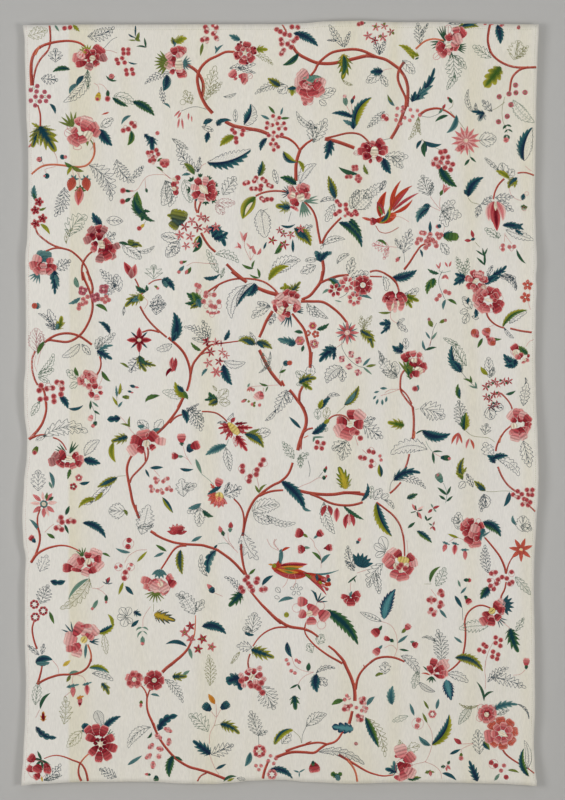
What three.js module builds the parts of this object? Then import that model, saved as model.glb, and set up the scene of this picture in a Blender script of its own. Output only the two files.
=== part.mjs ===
// A hung curtain: one panel of pale linen and cotton twill, with a narrow hem along its top and both
// sides and a plain turned edge at the bottom. Millimetres, +Z up. The worked face looks towards -Y.
// The origin is the middle of the top edge, where the panel is held, so the cloth hangs below it.
import * as THREE from "three";

const clothLength = 2085;
const clothThickness = 1.2;
const hemThickness = 2.2;
const topHem = 16;
const sideHem = 10;
const hemStep = 3;
const columns = 26;
const rows = 44;
const edgeRippleReach = 70;
const foldSway = 0.45;
const clothColour = 0xd9d6cb;

// The two side edges wander. down is measured from the top edge, left and right from the middle.
const leftEdge = [
  { down: 0, at: -710 },
  { down: 45, at: -705 },
  { down: 240, at: -701 },
  { down: 345, at: -696 },
  { down: 490, at: -696 },
  { down: 580, at: -698 },
  { down: 635, at: -703 },
  { down: 840, at: -702 },
  { down: 940, at: -703 },
  { down: 990, at: -707 },
  { down: 1060, at: -706 },
  { down: 1135, at: -699 },
  { down: 1185, at: -700 },
  { down: 1255, at: -707 },
  { down: 1350, at: -711 },
  { down: 1420, at: -709 },
  { down: 1460, at: -703 },
  { down: 1530, at: -705 },
  { down: 1690, at: -705 },
  { down: 1805, at: -702 },
  { down: 1900, at: -704 },
  { down: 1995, at: -708 },
  { down: 2085, at: -714 },
];
const rightEdge = [
  { down: 0, at: 709 },
  { down: 100, at: 705 },
  { down: 235, at: 702 },
  { down: 375, at: 700 },
  { down: 485, at: 699 },
  { down: 570, at: 701 },
  { down: 655, at: 704 },
  { down: 693, at: 701 },
  { down: 722, at: 703 },
  { down: 785, at: 701 },
  { down: 925, at: 700 },
  { down: 1035, at: 702 },
  { down: 1135, at: 706 },
  { down: 1225, at: 708 },
  { down: 1295, at: 707 },
  { down: 1365, at: 702 },
  { down: 1475, at: 697 },
  { down: 1555, at: 696 },
  { down: 1695, at: 698 },
  { down: 1860, at: 699 },
  { down: 1970, at: 696 },
  { down: 2035, at: 698 },
  { down: 2085, at: 704 },
];

// The top and bottom edges, at distances across from the middle. z is 0 at the origin.
const topEdge = [
  { across: -710, at: -3 },
  { across: -440, at: -1 },
  { across: -250, at: -1 },
  { across: 0, at: 0 },
  { across: 60, at: 2 },
  { across: 120, at: 7 },
  { across: 215, at: 9 },
  { across: 325, at: 5 },
  { across: 440, at: 6 },
  { across: 525, at: 2 },
  { across: 605, at: 0 },
  { across: 710, at: -1 },
];
const bottomEdge = [
  { across: -712, at: -2094 },
  { across: -675, at: -2090 },
  { across: -560, at: -2085 },
  { across: -360, at: -2084 },
  { across: -265, at: -2089 },
  { across: -180, at: -2090 },
  { across: -140, at: -2087 },
  { across: -85, at: -2081 },
  { across: 0, at: -2079 },
  { across: 80, at: -2085 },
  { across: 190, at: -2089 },
  { across: 325, at: -2086 },
  { across: 465, at: -2086 },
  { across: 600, at: -2089 },
  { across: 655, at: -2092 },
  { across: 708, at: -2096 },
];

// Long soft folds left by years of hanging. rise is how far each stands towards the viewer.
const softFolds = [
  { across: -570, width: 75, rise: 3.5, drift: 20 },
  { across: -392, width: 90, rise: -3.0, drift: -15 },
  { across: -205, width: 85, rise: 4.0, drift: 25 },
  { across: -20, width: 105, rise: -3.0, drift: -20 },
  { across: 185, width: 95, rise: 4.0, drift: -25 },
  { across: 345, width: 80, rise: -2.5, drift: 10 },
  { across: 515, width: 80, rise: 3.5, drift: 15 },
  { across: 650, width: 60, rise: -2.5, drift: -10 },
];

// Where a side edge is slack it ripples in and out. side is -1 at the left and 1 at the right.
const edgeRipples = [
  { side: -1, down: 120, length: 90, rise: 5 },
  { side: -1, down: 420, length: 120, rise: -5 },
  { side: -1, down: 640, length: 60, rise: 5 },
  { side: -1, down: 990, length: 60, rise: 6 },
  { side: -1, down: 1140, length: 50, rise: -6 },
  { side: -1, down: 1350, length: 80, rise: 7 },
  { side: -1, down: 1470, length: 45, rise: -6 },
  { side: -1, down: 1800, length: 90, rise: -5 },
  { side: -1, down: 2040, length: 70, rise: 7 },
  { side: 1, down: 60, length: 70, rise: 5 },
  { side: 1, down: 470, length: 100, rise: -5 },
  { side: 1, down: 660, length: 45, rise: 5 },
  { side: 1, down: 930, length: 90, rise: -4 },
  { side: 1, down: 1220, length: 110, rise: 6 },
  { side: 1, down: 1530, length: 90, rise: -6 },
  { side: 1, down: 1960, length: 50, rise: -5 },
  { side: 1, down: 2060, length: 50, rise: 6 },
];

// A smooth value between the rows of a table, by the column that key names.
function along(table, key, where) {
  const last = table.length - 1;
  let row = 0;
  while (row < last - 1 && table[row + 1][key] < where) row += 1;
  const here = table[row];
  const next = table[row + 1];
  const span = (where - here[key]) / (next[key] - here[key]);
  const part = Math.min(1, Math.max(0, span));
  const eased = part * part * (3 - 2 * part);
  return here.at + (next.at - here.at) * eased;
}

function bell(distance, width) {
  return Math.exp(-((distance / width) ** 2));
}

// How far the cloth stands towards the viewer at a place on it.
function rise(across, down) {
  const part = down / clothLength;
  let total = 0;
  for (const fold of softFolds) {
    const middle = fold.across + fold.drift * (part - 0.5);
    const sway = 1 - foldSway + foldSway * Math.sin(Math.PI * part + fold.across);
    total += fold.rise * sway * bell(across - middle, fold.width);
  }
  for (const ripple of edgeRipples) {
    const edge = along(ripple.side < 0 ? leftEdge : rightEdge, "down", down);
    const inside = Math.abs(across - edge);
    total += ripple.rise * bell(down - ripple.down, ripple.length) * Math.exp(-inside / edgeRippleReach);
  }
  return total;
}

// Grid lines from 0 to 1 over a length. The first two spaces are the hem and the step beside it.
function gridLines(count, length, hem, lastHem) {
  const first = [0, hem / length];
  const last = lastHem ? [1 - lastHem / length, 1] : [1];
  const from = (hem + hemStep) / length;
  const to = lastHem ? 1 - (lastHem + hemStep) / length : 1 - 1 / count;
  const between = count - first.length - last.length;
  const inner = Array.from({ length: between + 1 }, (_, i) => from + ((to - from) * i) / between);
  return [...first, ...inner, ...last];
}

function clothGeometry() {
  const widthHere = rightEdge[0].at - leftEdge[0].at;
  const acrossLines = gridLines(columns, widthHere, sideHem, sideHem);
  const downLines = gridLines(rows, clothLength, topHem, 0);
  const geometry = new THREE.BoxGeometry(1, 1, 1, columns, 1, rows);
  const position = geometry.getAttribute("position");
  for (let i = 0; i < position.count; i += 1) {
    const column = Math.round((position.getX(i) + 0.5) * columns);
    const row = Math.round((0.5 - position.getZ(i)) * rows);
    const u = acrossLines[column];
    const v = downLines[row];
    const down = v * clothLength;
    const x = THREE.MathUtils.lerp(along(leftEdge, "down", down), along(rightEdge, "down", down), u);
    const z = THREE.MathUtils.lerp(along(topEdge, "across", x), along(bottomEdge, "across", x), v);
    const inHem = column < 2 || column > columns - 2 || row < 2;
    const isBack = position.getY(i) > 0;
    const backDepth = inHem ? hemThickness - clothThickness / 2 : clothThickness / 2;
    const offset = isBack ? backDepth : -clothThickness / 2;
    position.setXYZ(i, x, offset - rise(x, down), z);
  }
  geometry.computeVertexNormals();
  return geometry;
}

const clothMaterial = new THREE.MeshStandardMaterial({
  color: clothColour,
  roughness: 0.95,
  metalness: 0,
});

const panel = new THREE.Mesh(clothGeometry(), clothMaterial);
panel.name = "panel";

const curtain = new THREE.Group();
curtain.add(panel);

export default curtain;
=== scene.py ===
import math

import bmesh
import bpy
import numpy as np
from mathutils import Matrix


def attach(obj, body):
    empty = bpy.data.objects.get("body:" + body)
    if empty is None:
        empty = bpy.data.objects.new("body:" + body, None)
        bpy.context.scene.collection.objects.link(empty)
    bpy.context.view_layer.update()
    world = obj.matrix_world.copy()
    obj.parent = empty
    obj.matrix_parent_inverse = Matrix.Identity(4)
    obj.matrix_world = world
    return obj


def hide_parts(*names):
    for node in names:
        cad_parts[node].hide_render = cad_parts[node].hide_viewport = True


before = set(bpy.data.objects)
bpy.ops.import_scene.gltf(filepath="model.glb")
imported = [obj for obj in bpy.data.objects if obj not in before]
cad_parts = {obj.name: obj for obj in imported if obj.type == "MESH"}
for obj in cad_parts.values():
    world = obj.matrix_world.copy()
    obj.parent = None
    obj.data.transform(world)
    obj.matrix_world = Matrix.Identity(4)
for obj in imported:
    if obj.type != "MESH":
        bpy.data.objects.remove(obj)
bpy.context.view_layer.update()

rng = np.random.default_rng(1743)

view = {
    "distance": 8.0,      # metres in front of the cloth
    "lens": 130.9,        # long, so that the panel stays square
    "across": 0.004,      # middle of the frame, from the middle of the top edge
    "height": -1.034,
    "farthest": 60.0,
}
stage = {
    "wallGap": 0.028,     # the wall stands this far behind the cloth
    "wallSize": (9.0, 7.0),
    "wallMiddle": -0.6,
    "wallTone": (0.412, 0.405, 0.392),
    "floorSize": (14.0, 14.0),
    "floorMiddle": -4.0,
    "floorHeight": -2.45,
    "floorTone": (0.62, 0.61, 0.58),
    "roughness": 0.95,
    "worldTone": (0.95, 0.975, 1.0),
    "worldStrength": 0.28,
}
lamps = [    # name, place, size in metres, watts
    ("keyLamp", (-3.4, -4.6, -1.0), 2.4, 133.0),
    ("fillLamp", (3.2, -5.2, -1.5), 1.8, 115.0),
    ("topLamp", (0.3, -3.2, 1.7), 2.4, 27.0),
    ("backLeftLamp", (-2.8, 4.8, -0.7), 2.6, 110.0),
    ("backRightLamp", (2.8, 4.8, -0.7), 2.6, 110.0),
]


# A tone given as on a screen, 0 to 255, turned into the light that Blender wants.
def linear(red, green, blue):
    tone = np.array([red, green, blue], float) / 255
    return np.where(tone <= 0.04045, tone / 12.92, ((tone + 0.055) / 1.055) ** 2.4)


def inScene(name, data):
    piece = bpy.data.objects.new(name, data)
    bpy.context.scene.collection.objects.link(piece)
    return piece


cameraData = bpy.data.cameras.new("camera")
cameraData.lens = view["lens"]
cameraData.clip_end = view["farthest"]
camera = inScene("camera", cameraData)
camera.location = (view["across"], -view["distance"], view["height"])
camera.rotation_euler = (math.pi / 2, 0, 0)
bpy.context.scene.camera = camera
bpy.context.scene.view_settings.view_transform = "Standard"


# A socket that can be used in plain sums. Numbers and other sockets may stand on either side.
class Flow:
    def __init__(self, maker, socket):
        self.maker = maker
        self.socket = socket

    def math(self, kind, first, second):
        return self.maker.node("ShaderNodeMath", {"operation": kind}, {0: first, 1: second})

    def __add__(self, other):
        return self.math("ADD", self, other)

    def __radd__(self, other):
        return self.math("ADD", other, self)

    def __sub__(self, other):
        return self.math("SUBTRACT", self, other)

    def __rsub__(self, other):
        return self.math("SUBTRACT", other, self)

    def __mul__(self, other):
        return self.math("MULTIPLY", self, other)

    def __rmul__(self, other):
        return self.math("MULTIPLY", other, self)

    def __truediv__(self, other):
        return self.math("DIVIDE", self, other)

    def __rtruediv__(self, other):
        return self.math("DIVIDE", other, self)


class Finish:
    def __init__(self, name):
        self.material = bpy.data.materials.new(name)
        self.material.use_nodes = True
        self.tree = self.material.node_tree
        self.tree.nodes.clear()

    # Settings go in first, then the values or links of the sockets. Returns the wanted output.
    def node(self, kind, settings=None, sockets=None, out=0):
        made = self.tree.nodes.new(kind)
        for name, value in (settings or {}).items():
            if name == "stops":
                for element, (place, shade) in zip(made.color_ramp.elements, value):
                    element.position = place
                    element.color = (shade, shade, shade, 1)
            else:
                setattr(made, name, value)
        for name, value in (sockets or {}).items():
            if isinstance(value, Flow):
                self.tree.links.new(value.socket, made.inputs[name])
            else:
                made.inputs[name].default_value = value
        return Flow(self, made.outputs[out]) if made.outputs else None

    def place(self):
        return self.node("ShaderNodeTexCoord", out="Object")

    def parts(self, vector):
        split = self.node("ShaderNodeSeparateXYZ", sockets={0: vector})
        outputs = split.socket.node.outputs
        return [Flow(self, outputs[i]) for i in range(3)]

    def stretched(self, x, y, z):
        return self.node("ShaderNodeCombineXYZ", {}, {0: x, 1: y, 2: z})

    def noise(self, vector, scale, detail=3.0, roughness=0.5):
        return self.node("ShaderNodeTexNoise", {}, {"Vector": vector, "Scale": scale,
                                                    "Detail": detail, "Roughness": roughness})

    # Noise in greys, between a dark one and a light one.
    def mottle(self, vector, scale, detail, dark, light, roughness=0.5):
        return self.node("ShaderNodeValToRGB", {"stops": [(0.3, dark), (0.7, light)]},
                         {0: self.noise(vector, scale, detail, roughness)})

    def threads(self, vector, direction, scale, distortion):
        return self.node("ShaderNodeTexWave", {"wave_type": "BANDS", "bands_direction": direction},
                         {"Vector": vector, "Scale": scale, "Distortion": distortion, "Detail": 1.0})

    def mix(self, factor, first, second, kind="MIX"):
        return self.node("ShaderNodeMix", {"data_type": "RGBA", "blend_type": kind},
                         {0: factor, 6: first, 7: second}, out=2)

    def times(self, first, second):
        return self.mix(1.0, first, second, "MULTIPLY")

    def soften(self, value, low, high):
        return self.node("ShaderNodeMapRange", {"interpolation_type": "SMOOTHSTEP"},
                         {"Value": value, "From Min": low, "From Max": high})

    # 1 where the distance is 0, and less and less on both sides of it.
    def hump(self, distance):
        return self.node("ShaderNodeMath", {"operation": "EXPONENT"}, {0: distance * distance * -1.0})

    def bump(self, height, strength, distance, under=None):
        sockets = {"Height": height, "Strength": strength, "Distance": distance}
        if under is not None:
            sockets["Normal"] = under
        return self.node("ShaderNodeBump", {}, sockets)

    def surface(self, sockets):
        shader = self.node("ShaderNodeBsdfPrincipled", {}, sockets)
        self.node("ShaderNodeOutputMaterial", {}, {"Surface": shader})
        return self.material


def flatPiece(name, size, place, upright, material):
    shape = bmesh.new()
    bmesh.ops.create_grid(shape, x_segments=2, y_segments=2, size=0.5)
    bmesh.ops.scale(shape, vec=(*size, 1), verts=shape.verts)
    if upright:
        bmesh.ops.rotate(shape, cent=(0, 0, 0), verts=shape.verts,
                         matrix=Matrix.Rotation(math.pi / 2, 3, "X"))
    bmesh.ops.translate(shape, vec=place, verts=shape.verts)
    mesh = bpy.data.meshes.new(name)
    shape.to_mesh(mesh)
    shape.free()
    mesh.materials.append(material)
    piece = inScene(name, mesh)
    return piece


def stageFinish(name, tone, seeThrough):
    finish = Finish(name)
    colour = finish.times((*tone, 1), finish.mottle(finish.place(), 0.8, 4.0, 0.97, 1.0))
    shader = finish.node("ShaderNodeBsdfPrincipled", {},
                         {"Base Color": colour, "Roughness": stage["roughness"]})
    if seeThrough:     # the wall is clear from behind, so the back of the curtain shows
        behind = finish.node("ShaderNodeNewGeometry", out="Backfacing")
        clear = finish.node("ShaderNodeBsdfTransparent")
        shader = finish.node("ShaderNodeMixShader", {}, {0: behind, 1: shader, 2: clear})
    finish.node("ShaderNodeOutputMaterial", {}, {"Surface": shader})
    return finish.material


def makeStage():
    wall = flatPiece("wall", stage["wallSize"], (0, stage["wallGap"], stage["wallMiddle"]), True,
                     stageFinish("wallFinish", stage["wallTone"], True))
    wall.visible_shadow = False     # the wall only shows; it keeps no light off the back of the cloth
    wall.visible_diffuse = False
    wall.visible_glossy = False
    flatPiece("floor", stage["floorSize"], (0, stage["floorMiddle"], stage["floorHeight"]), False,
              stageFinish("floorFinish", stage["floorTone"], False))
    world = bpy.data.worlds.new("studio")
    world.use_nodes = True
    background = world.node_tree.nodes["Background"]
    background.inputs["Color"].default_value = (*stage["worldTone"], 1)
    background.inputs["Strength"].default_value = stage["worldStrength"]
    bpy.context.scene.world = world
    for name, place, size, watts in lamps:
        light = bpy.data.lights.new(name, "AREA")
        light.size = size
        light.energy = watts
        lamp = inScene(name, light)
        lamp.location = place
        lamp.visible_camera = False
        ahead = np.array([0.0, 0.0, view["height"]]) - np.array(place)     # to the curtain's middle
        level = math.hypot(ahead[0], ahead[1])
        lamp.rotation_euler = (math.atan2(level, -ahead[2]), 0, math.atan2(-ahead[0], ahead[1]))


makeStage()
print("curtain: camera, wall, floor and lamps are in place")

perMetre = 1000     # millimetres
# The cloth lies on the same edges and folds as the CAD panel, in millimetres.
cloth = {
    "length": 2085,
    "thickness": 1.2,
    "hemThickness": 2.2,
    "topHem": 16,
    "sideHem": 10,
    "hemStep": 3,         # where the cloth steps down from its hem
    "columns": 100,
    "rows": 148,
    "rippleReach": 70,
    "foldSway": 0.45,
    "flatSize": (1.41, 2.09),     # metres
}
leftEdge = [    # down, at
    (0, -710), (45, -705), (240, -701), (345, -696), (490, -696), (580, -698), (635, -703), (840, -702),
    (940, -703), (990, -707), (1060, -706), (1135, -699), (1185, -700), (1255, -707), (1350, -711),
    (1420, -709), (1460, -703), (1530, -705), (1690, -705), (1805, -702), (1900, -704), (1995, -708),
    (2085, -714),
]
rightEdge = [    # down, at
    (0, 709), (100, 705), (235, 702), (375, 700), (485, 699), (570, 701), (655, 704), (693, 701),
    (722, 703), (785, 701), (925, 700), (1035, 702), (1135, 706), (1225, 708), (1295, 707), (1365, 702),
    (1475, 697), (1555, 696), (1695, 698), (1860, 699), (1970, 696), (2035, 698), (2085, 704),
]
topEdge = [    # across, at
    (-710, -3), (-440, -1), (-250, -1), (0, 0), (60, 2), (120, 7), (215, 9), (325, 5), (440, 6),
    (525, 2), (605, 0), (710, -1),
]
bottomEdge = [    # across, at
    (-712, -2094), (-675, -2090), (-560, -2085), (-360, -2084), (-265, -2089), (-180, -2090),
    (-140, -2087), (-85, -2081), (0, -2079), (80, -2085), (190, -2089), (325, -2086), (465, -2086),
    (600, -2089), (655, -2092), (708, -2096),
]
softFolds = [    # across, width, rise, drift
    (-570, 75, 3.5, 20), (-392, 90, -3.0, -15), (-205, 85, 4.0, 25), (-20, 105, -3.0, -20),
    (185, 95, 4.0, -25), (345, 80, -2.5, 10), (515, 80, 3.5, 15), (650, 60, -2.5, -10),
]
edgeRipples = [    # side, down, length, rise
    (-1, 120, 90, 5), (-1, 420, 120, -5), (-1, 640, 60, 5), (-1, 990, 60, 6), (-1, 1140, 50, -6),
    (-1, 1350, 80, 7), (-1, 1470, 45, -6), (-1, 1800, 90, -5), (-1, 2040, 70, 7), (1, 60, 70, 5),
    (1, 470, 100, -5), (1, 660, 45, 5), (1, 930, 90, -4), (1, 1220, 110, 6), (1, 1530, 90, -6),
    (1, 1960, 50, -5), (1, 2060, 50, 6),
]


def along(table, where):
    keys, values = np.array(table, float).T
    row = np.clip(np.searchsorted(keys, where) - 1, 0, len(keys) - 2)
    part = np.clip((where - keys[row]) / (keys[row + 1] - keys[row]), 0, 1)
    return values[row] + (values[row + 1] - values[row]) * part * part * (3 - 2 * part)


def bell(distance, width):
    return np.exp(-((distance / width) ** 2))


# How far the cloth stands towards the viewer.
def rise(across, down):
    part = down / cloth["length"]
    total = np.zeros_like(across, float)
    for foldAcross, width, height, drift in softFolds:
        middle = foldAcross + drift * (part - 0.5)
        sway = 1 - cloth["foldSway"] + cloth["foldSway"] * np.sin(math.pi * part + foldAcross)
        total += height * sway * bell(across - middle, width)
    for side, rippleDown, length, height in edgeRipples:
        inside = np.abs(across - along(leftEdge if side < 0 else rightEdge, down))
        total += height * bell(down - rippleDown, length) * np.exp(-inside / cloth["rippleReach"])
    return total


# The same, for a place that is given by how far below the origin it lies.
def riseAt(across, below):
    top = along(topEdge, across)
    part = (-below - top) / (along(bottomEdge, across) - top)
    return rise(across, np.clip(part, 0, 1) * cloth["length"])


# Where the lines of the cloth's grid lie along one side. Two of them bound each hem.
def clothLines(count, length, hem, lastHem):
    first = [0, hem / length]
    last = [1 - lastHem / length, 1] if lastHem else [1]
    start = (hem + cloth["hemStep"]) / length
    stop = 1 - (lastHem + cloth["hemStep"]) / length if lastHem else 1 - 1 / count
    return np.array([*first, *np.linspace(start, stop, count - len(first) - len(last) + 1), *last])


def makeCloth():
    columns, rows = cloth["columns"], cloth["rows"]
    shape = bmesh.new()
    bmesh.ops.create_grid(shape, x_segments=columns, y_segments=rows, size=0.5)
    grown = bmesh.ops.extrude_face_region(shape, geom=shape.faces[:], use_keep_orig=True)
    backVerts = [part for part in grown["geom"] if isinstance(part, bmesh.types.BMVert)]
    bmesh.ops.translate(shape, vec=(0, 0, 1), verts=backVerts)
    mesh = bpy.data.meshes.new("curtainCloth")
    shape.to_mesh(mesh)
    shape.free()
    spots = np.empty(len(mesh.vertices) * 3)
    mesh.vertices.foreach_get("co", spots)
    spots = spots.reshape(-1, 3)
    column = np.rint((spots[:, 0] + 0.5) * columns).astype(int)
    row = np.rint((0.5 - spots[:, 1]) * rows).astype(int)
    isBack = spots[:, 2] > 0.5
    width = rightEdge[0][1] - leftEdge[0][1]
    u = clothLines(columns, width, cloth["sideHem"], cloth["sideHem"])[column]
    v = clothLines(rows, cloth["length"], cloth["topHem"], 0)[row]
    down = v * cloth["length"]
    x = along(leftEdge, down) * (1 - u) + along(rightEdge, down) * u
    z = along(topEdge, x) * (1 - v) + along(bottomEdge, x) * v
    inHem = (column < 2) | (column > columns - 2) | (row < 2)
    half = cloth["thickness"] / 2
    offset = np.where(isBack, np.where(inHem, cloth["hemThickness"] - half, half), -half)
    placed = np.stack([x, offset - rise(x, down), z], axis=1) / perMetre
    mesh.vertices.foreach_set("co", placed.ravel())
    mesh.update()
    shape = bmesh.new()
    shape.from_mesh(mesh)
    bmesh.ops.recalc_face_normals(shape, faces=shape.faces)
    shape.to_mesh(mesh)
    shape.free()
    mesh.shade_smooth()
    return inScene("curtainCloth", mesh)


clothTones = {
    "clean": (217, 213, 205),
    "plain": (217, 213, 206),
    "stain": (211, 204, 180),
}
ageing = {     # metres across from the middle, or down from the top edge
    "wander": 0.014,       # how far the bands stray from a straight line
    "cleanEnd": (-0.588, -0.577),      # of the clean strip on the left
    "stainEnd": (-0.575, -0.478),      # of the stained band beside it, which fades away
    "stained": 0.6,
    "streaks": (0.40, 0.72),
    "streaked": 0.35,
    "lowEnd": (1.55, 2.08),
    "highEnd": (0.05, 0.62),
    "endsStained": 0.2,
    "most": 0.9,
    "foldLine": -0.581,    # an old fold line, where the clean strip ends
    "foldWidth": 0.004,
}
stainBands = [    # across, width, strength
    (-0.205, 0.030, 0.35), (0.19, 0.060, 0.32), (0.31, 0.022, 0.4), (0.52, 0.028, 0.45),
    (0.675, 0.020, 0.35),
]
twill = {     # a relief has its strength and its depth in metres
    "warpScale": 390.0,
    "ribScale": 290.0,
    "slubScale": 420.0,
    "weaveRelief": (0.30, 0.0004),
    "foldRelief": (0.30, 0.0012),
    "crumpleRelief": (0.22, 0.010),
    "roughness": 0.92,
    "sheen": (0.12, 0.5),
    "specular": 0.2,
}


def clothFinish():
    finish = Finish("twill")
    place = finish.place()
    x, y, z = finish.parts(place)
    cut = x + (finish.noise(place, 2.2, 2.0) - 0.5) * ageing["wander"]
    clean = 1 - finish.soften(cut, *ageing["cleanEnd"])
    bands = (1 - finish.soften(cut, *ageing["stainEnd"])) * ageing["stained"]
    for middle, width, strength in stainBands:
        bands = bands + finish.hump((cut - middle) / width) * strength
    lengthwise = finish.stretched(x, y, z * 0.18)
    streak = finish.soften(finish.noise(lengthwise, 9.0, 4.0, 0.6), *ageing["streaks"])
    low = finish.soften(z * -1.0, *ageing["lowEnd"])
    high = 1 - finish.soften(z * -1.0, *ageing["highEnd"])
    age = bands + streak * ageing["streaked"] + low * ageing["endsStained"] + high * ageing["endsStained"]
    age = finish.node("ShaderNodeMath", {"operation": "MULTIPLY", "use_clamp": True},
                      {0: age * (1 - clean), 1: ageing["most"]})
    cleanTone, plainTone, stainTone = ((*linear(*clothTones[name]), 1) for name in clothTones)
    tinted = finish.mix(age, finish.mix(clean, plainTone, cleanTone), stainTone)
    slub = finish.mottle(lengthwise, twill["slubScale"], 2.0, 0.93, 1.04)
    cloudy = finish.mottle(place, 5.0, 4.0, 0.972, 1.012, 0.6)
    colour = finish.times(finish.times(tinted, slub), cloudy)
    # twill weave: warp threads with a slanting rib
    warp = finish.threads(place, "X", twill["warpScale"], 0.6)
    rib = finish.threads(place, "DIAGONAL", twill["ribScale"], 0.5)
    weave = warp * 0.5 + rib * 0.5
    crumple = finish.noise(finish.stretched(x, y, z * 0.35), 11.0, 3.0)
    foldLine = finish.hump((cut - ageing["foldLine"]) / ageing["foldWidth"])
    relief = finish.bump(crumple, *twill["crumpleRelief"])
    relief = finish.bump(foldLine, *twill["foldRelief"], relief)
    relief = finish.bump(weave, *twill["weaveRelief"], relief)
    return finish.surface({"Base Color": colour, "Roughness": twill["roughness"], "Normal": relief,
                           "Sheen Weight": twill["sheen"][0], "Sheen Roughness": twill["sheen"][1],
                           "Specular IOR Level": twill["specular"]})


clothPiece = makeCloth()
clothPiece.data.materials.append(clothFinish())
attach(clothPiece, "root")
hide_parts("panel")
print("curtain: cloth made,", len(clothPiece.data.polygons), "faces")


# The wool. Lengths and widths are millimetres of the work.
wool = {
    "width": 1.9,          # one laid strand
    "lineWidth": 1.35,
    "lineStitch": 6.2,
    "fineWidth": 0.9,      # in the fillings of drawn leaves
    "plump": 0.25,         # height of a stitch as a part of its width
    "sunk": 0.04,          # how far its corners go in
    "climb": 0.75,         # how much of that height the next stitch has to climb
    "mostLift": 1.3,
    "shortest": 0.8,
    "edgeGap": 1.6,        # nothing is sewn nearer the cut edge
    "uneven": 0.11,        # in how deep the dye took
    "mostStitches": 32000,     # in one piece
    "reverseEvery": 7,     # of so many stitches one shows on the back
}
woolTones = {     # near the midrib, then near the edge
    "navy": ((20, 44, 70), (48, 104, 106)), "teal": ((44, 92, 100), (104, 144, 138)),
    "pine": ((12, 58, 66), (70, 112, 62)), "lime": ((112, 124, 30), (176, 170, 58)),
    "limeDark": ((12, 62, 76), (158, 156, 42)), "limeOlive": ((66, 98, 34), (172, 166, 58)),
    "limeMustard": ((186, 166, 52), (102, 120, 34)), "olive": ((70, 100, 40), (142, 146, 70)),
    "sage": ((72, 120, 110), (134, 158, 134)), "leaf": ((26, 78, 56), (104, 132, 52)),
    "mustard": ((196, 162, 48), (218, 192, 92)), "butter": ((222, 196, 104), (232, 212, 140)),
    "apricot": ((218, 110, 78), (226, 140, 104)), "coral": ((188, 78, 62), (204, 100, 80)),
    "crimson": ((130, 12, 30), (212, 94, 96)), "rose": ((176, 46, 60), (234, 156, 150)),
    "pink": ((212, 114, 116), (242, 206, 196)), "blush": ((228, 170, 162), (240, 208, 198)),
    "dusty": ((160, 88, 90), (198, 140, 134)), "cream": ((240, 232, 210), (234, 214, 188)),
    "wine": ((96, 4, 24), (140, 16, 40)), "ember": ((164, 40, 30), (206, 84, 54)),
    "amber": ((200, 122, 38), (216, 156, 66)), "tealNavy": ((84, 142, 146), (16, 52, 82)),
    "mustardNavy": ((196, 164, 46), (26, 68, 70)), "berry": ((142, 10, 34), (216, 128, 138)),
    "slate": ((46, 66, 78), (62, 80, 90)), "grey": ((74, 88, 90), (90, 102, 100)),
    "straw": ((132, 132, 84), (146, 146, 100)), "mint": ((88, 112, 94), (102, 126, 104)),
    "rosy": ((200, 130, 124), (212, 146, 138)), "rosyLine": ((198, 100, 108), (208, 116, 120)),
    # coralShade is the painted shade along the lower side of the coral vines
    "dustyLine": ((176, 120, 122), (186, 132, 132)), "coralShade": ((142, 48, 46), (160, 62, 54)),
    "berryRound": ((214, 114, 114), (230, 154, 146)),
}
woolTones = {name: (linear(*inner), linear(*outer)) for name, (inner, outer) in woolTones.items()}
# motifs in the first tones are only drawn, and those in the second are blossoms, not leaves
outlineTones = ("slate", "grey", "straw", "mint", "rosyLine", "dustyLine", "rosy")
redTones = ("crimson", "rose", "pink", "blush", "dusty", "cream", "wine", "butter", "ember", "coral",
            "apricot", "amber", "mustard", "berry")
pileCorner = (724, 15)     # how far the corner of the pile lies to the left of and above the origin
pile = np.zeros((2130, 1450), np.float32)     # how high the wool lies, in millimetre squares
sewn = {}


def isOutline(name):
    return name.startswith(outlineTones)


def toneOf(name, part):
    inner, outer = woolTones[name]
    part = np.asarray(part, float)[..., None]
    return inner * (1 - part) + outer * part


# Keeps a place on the cloth, clear of its edges.
def inside(spots):
    gap = wool["edgeGap"]
    x, y = spots[..., 0], spots[..., 1]
    x = np.clip(x, along(leftEdge, y) + gap, along(rightEdge, y) - gap)
    y = np.clip(y, -along(topEdge, x) + gap, -along(bottomEdge, x) - gap)
    return np.stack([x, y], axis=-1)


# Lays the stitches of one motif, on top of what lies there already.
def sew(family, parts):
    if not parts:
        return
    start, end, width, tone = (np.concatenate(column) for column in zip(*parts))
    start, end = inside(start), inside(end)
    kept = np.hypot(*(end - start).T) > wool["shortest"]
    start, end, width, tone = start[kept], end[kept], width[kept], tone[kept]
    if not len(start):
        return
    spots = start + (end - start) * np.linspace(0.08, 0.92, 7)[:, None, None]
    column = np.clip((spots[..., 0] + pileCorner[0]).astype(int), 1, pile.shape[1] - 2)
    row = np.clip((spots[..., 1] + pileCorner[1]).astype(int), 1, pile.shape[0] - 2)
    lift = np.minimum(pile[row, column].max(axis=0), wool["mostLift"])
    top = np.broadcast_to(lift + width * wool["plump"] * wool["climb"], row.shape)
    for shiftRow in (-1, 0, 1):
        for shiftColumn in (-1, 0, 1):
            np.maximum.at(pile, (row + shiftRow, column + shiftColumn), top)
    uneven = 1 + wool["uneven"] * (rng.random((len(start), 1)) - 0.5)
    sewn.setdefault(family, []).append((start, end, width, lift, tone * uneven))


# Stitches with a place, a width and a tone each, as one part of a motif.
def batch(start, end, width, tone):
    start = np.asarray(start, float).reshape(-1, 2)
    end = np.asarray(end, float).reshape(-1, 2)
    width = np.broadcast_to(np.asarray(width, float), len(start)).copy()
    tone = np.broadcast_to(np.asarray(tone, float), (len(start), 3)).copy()
    return start, end, width, tone


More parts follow.
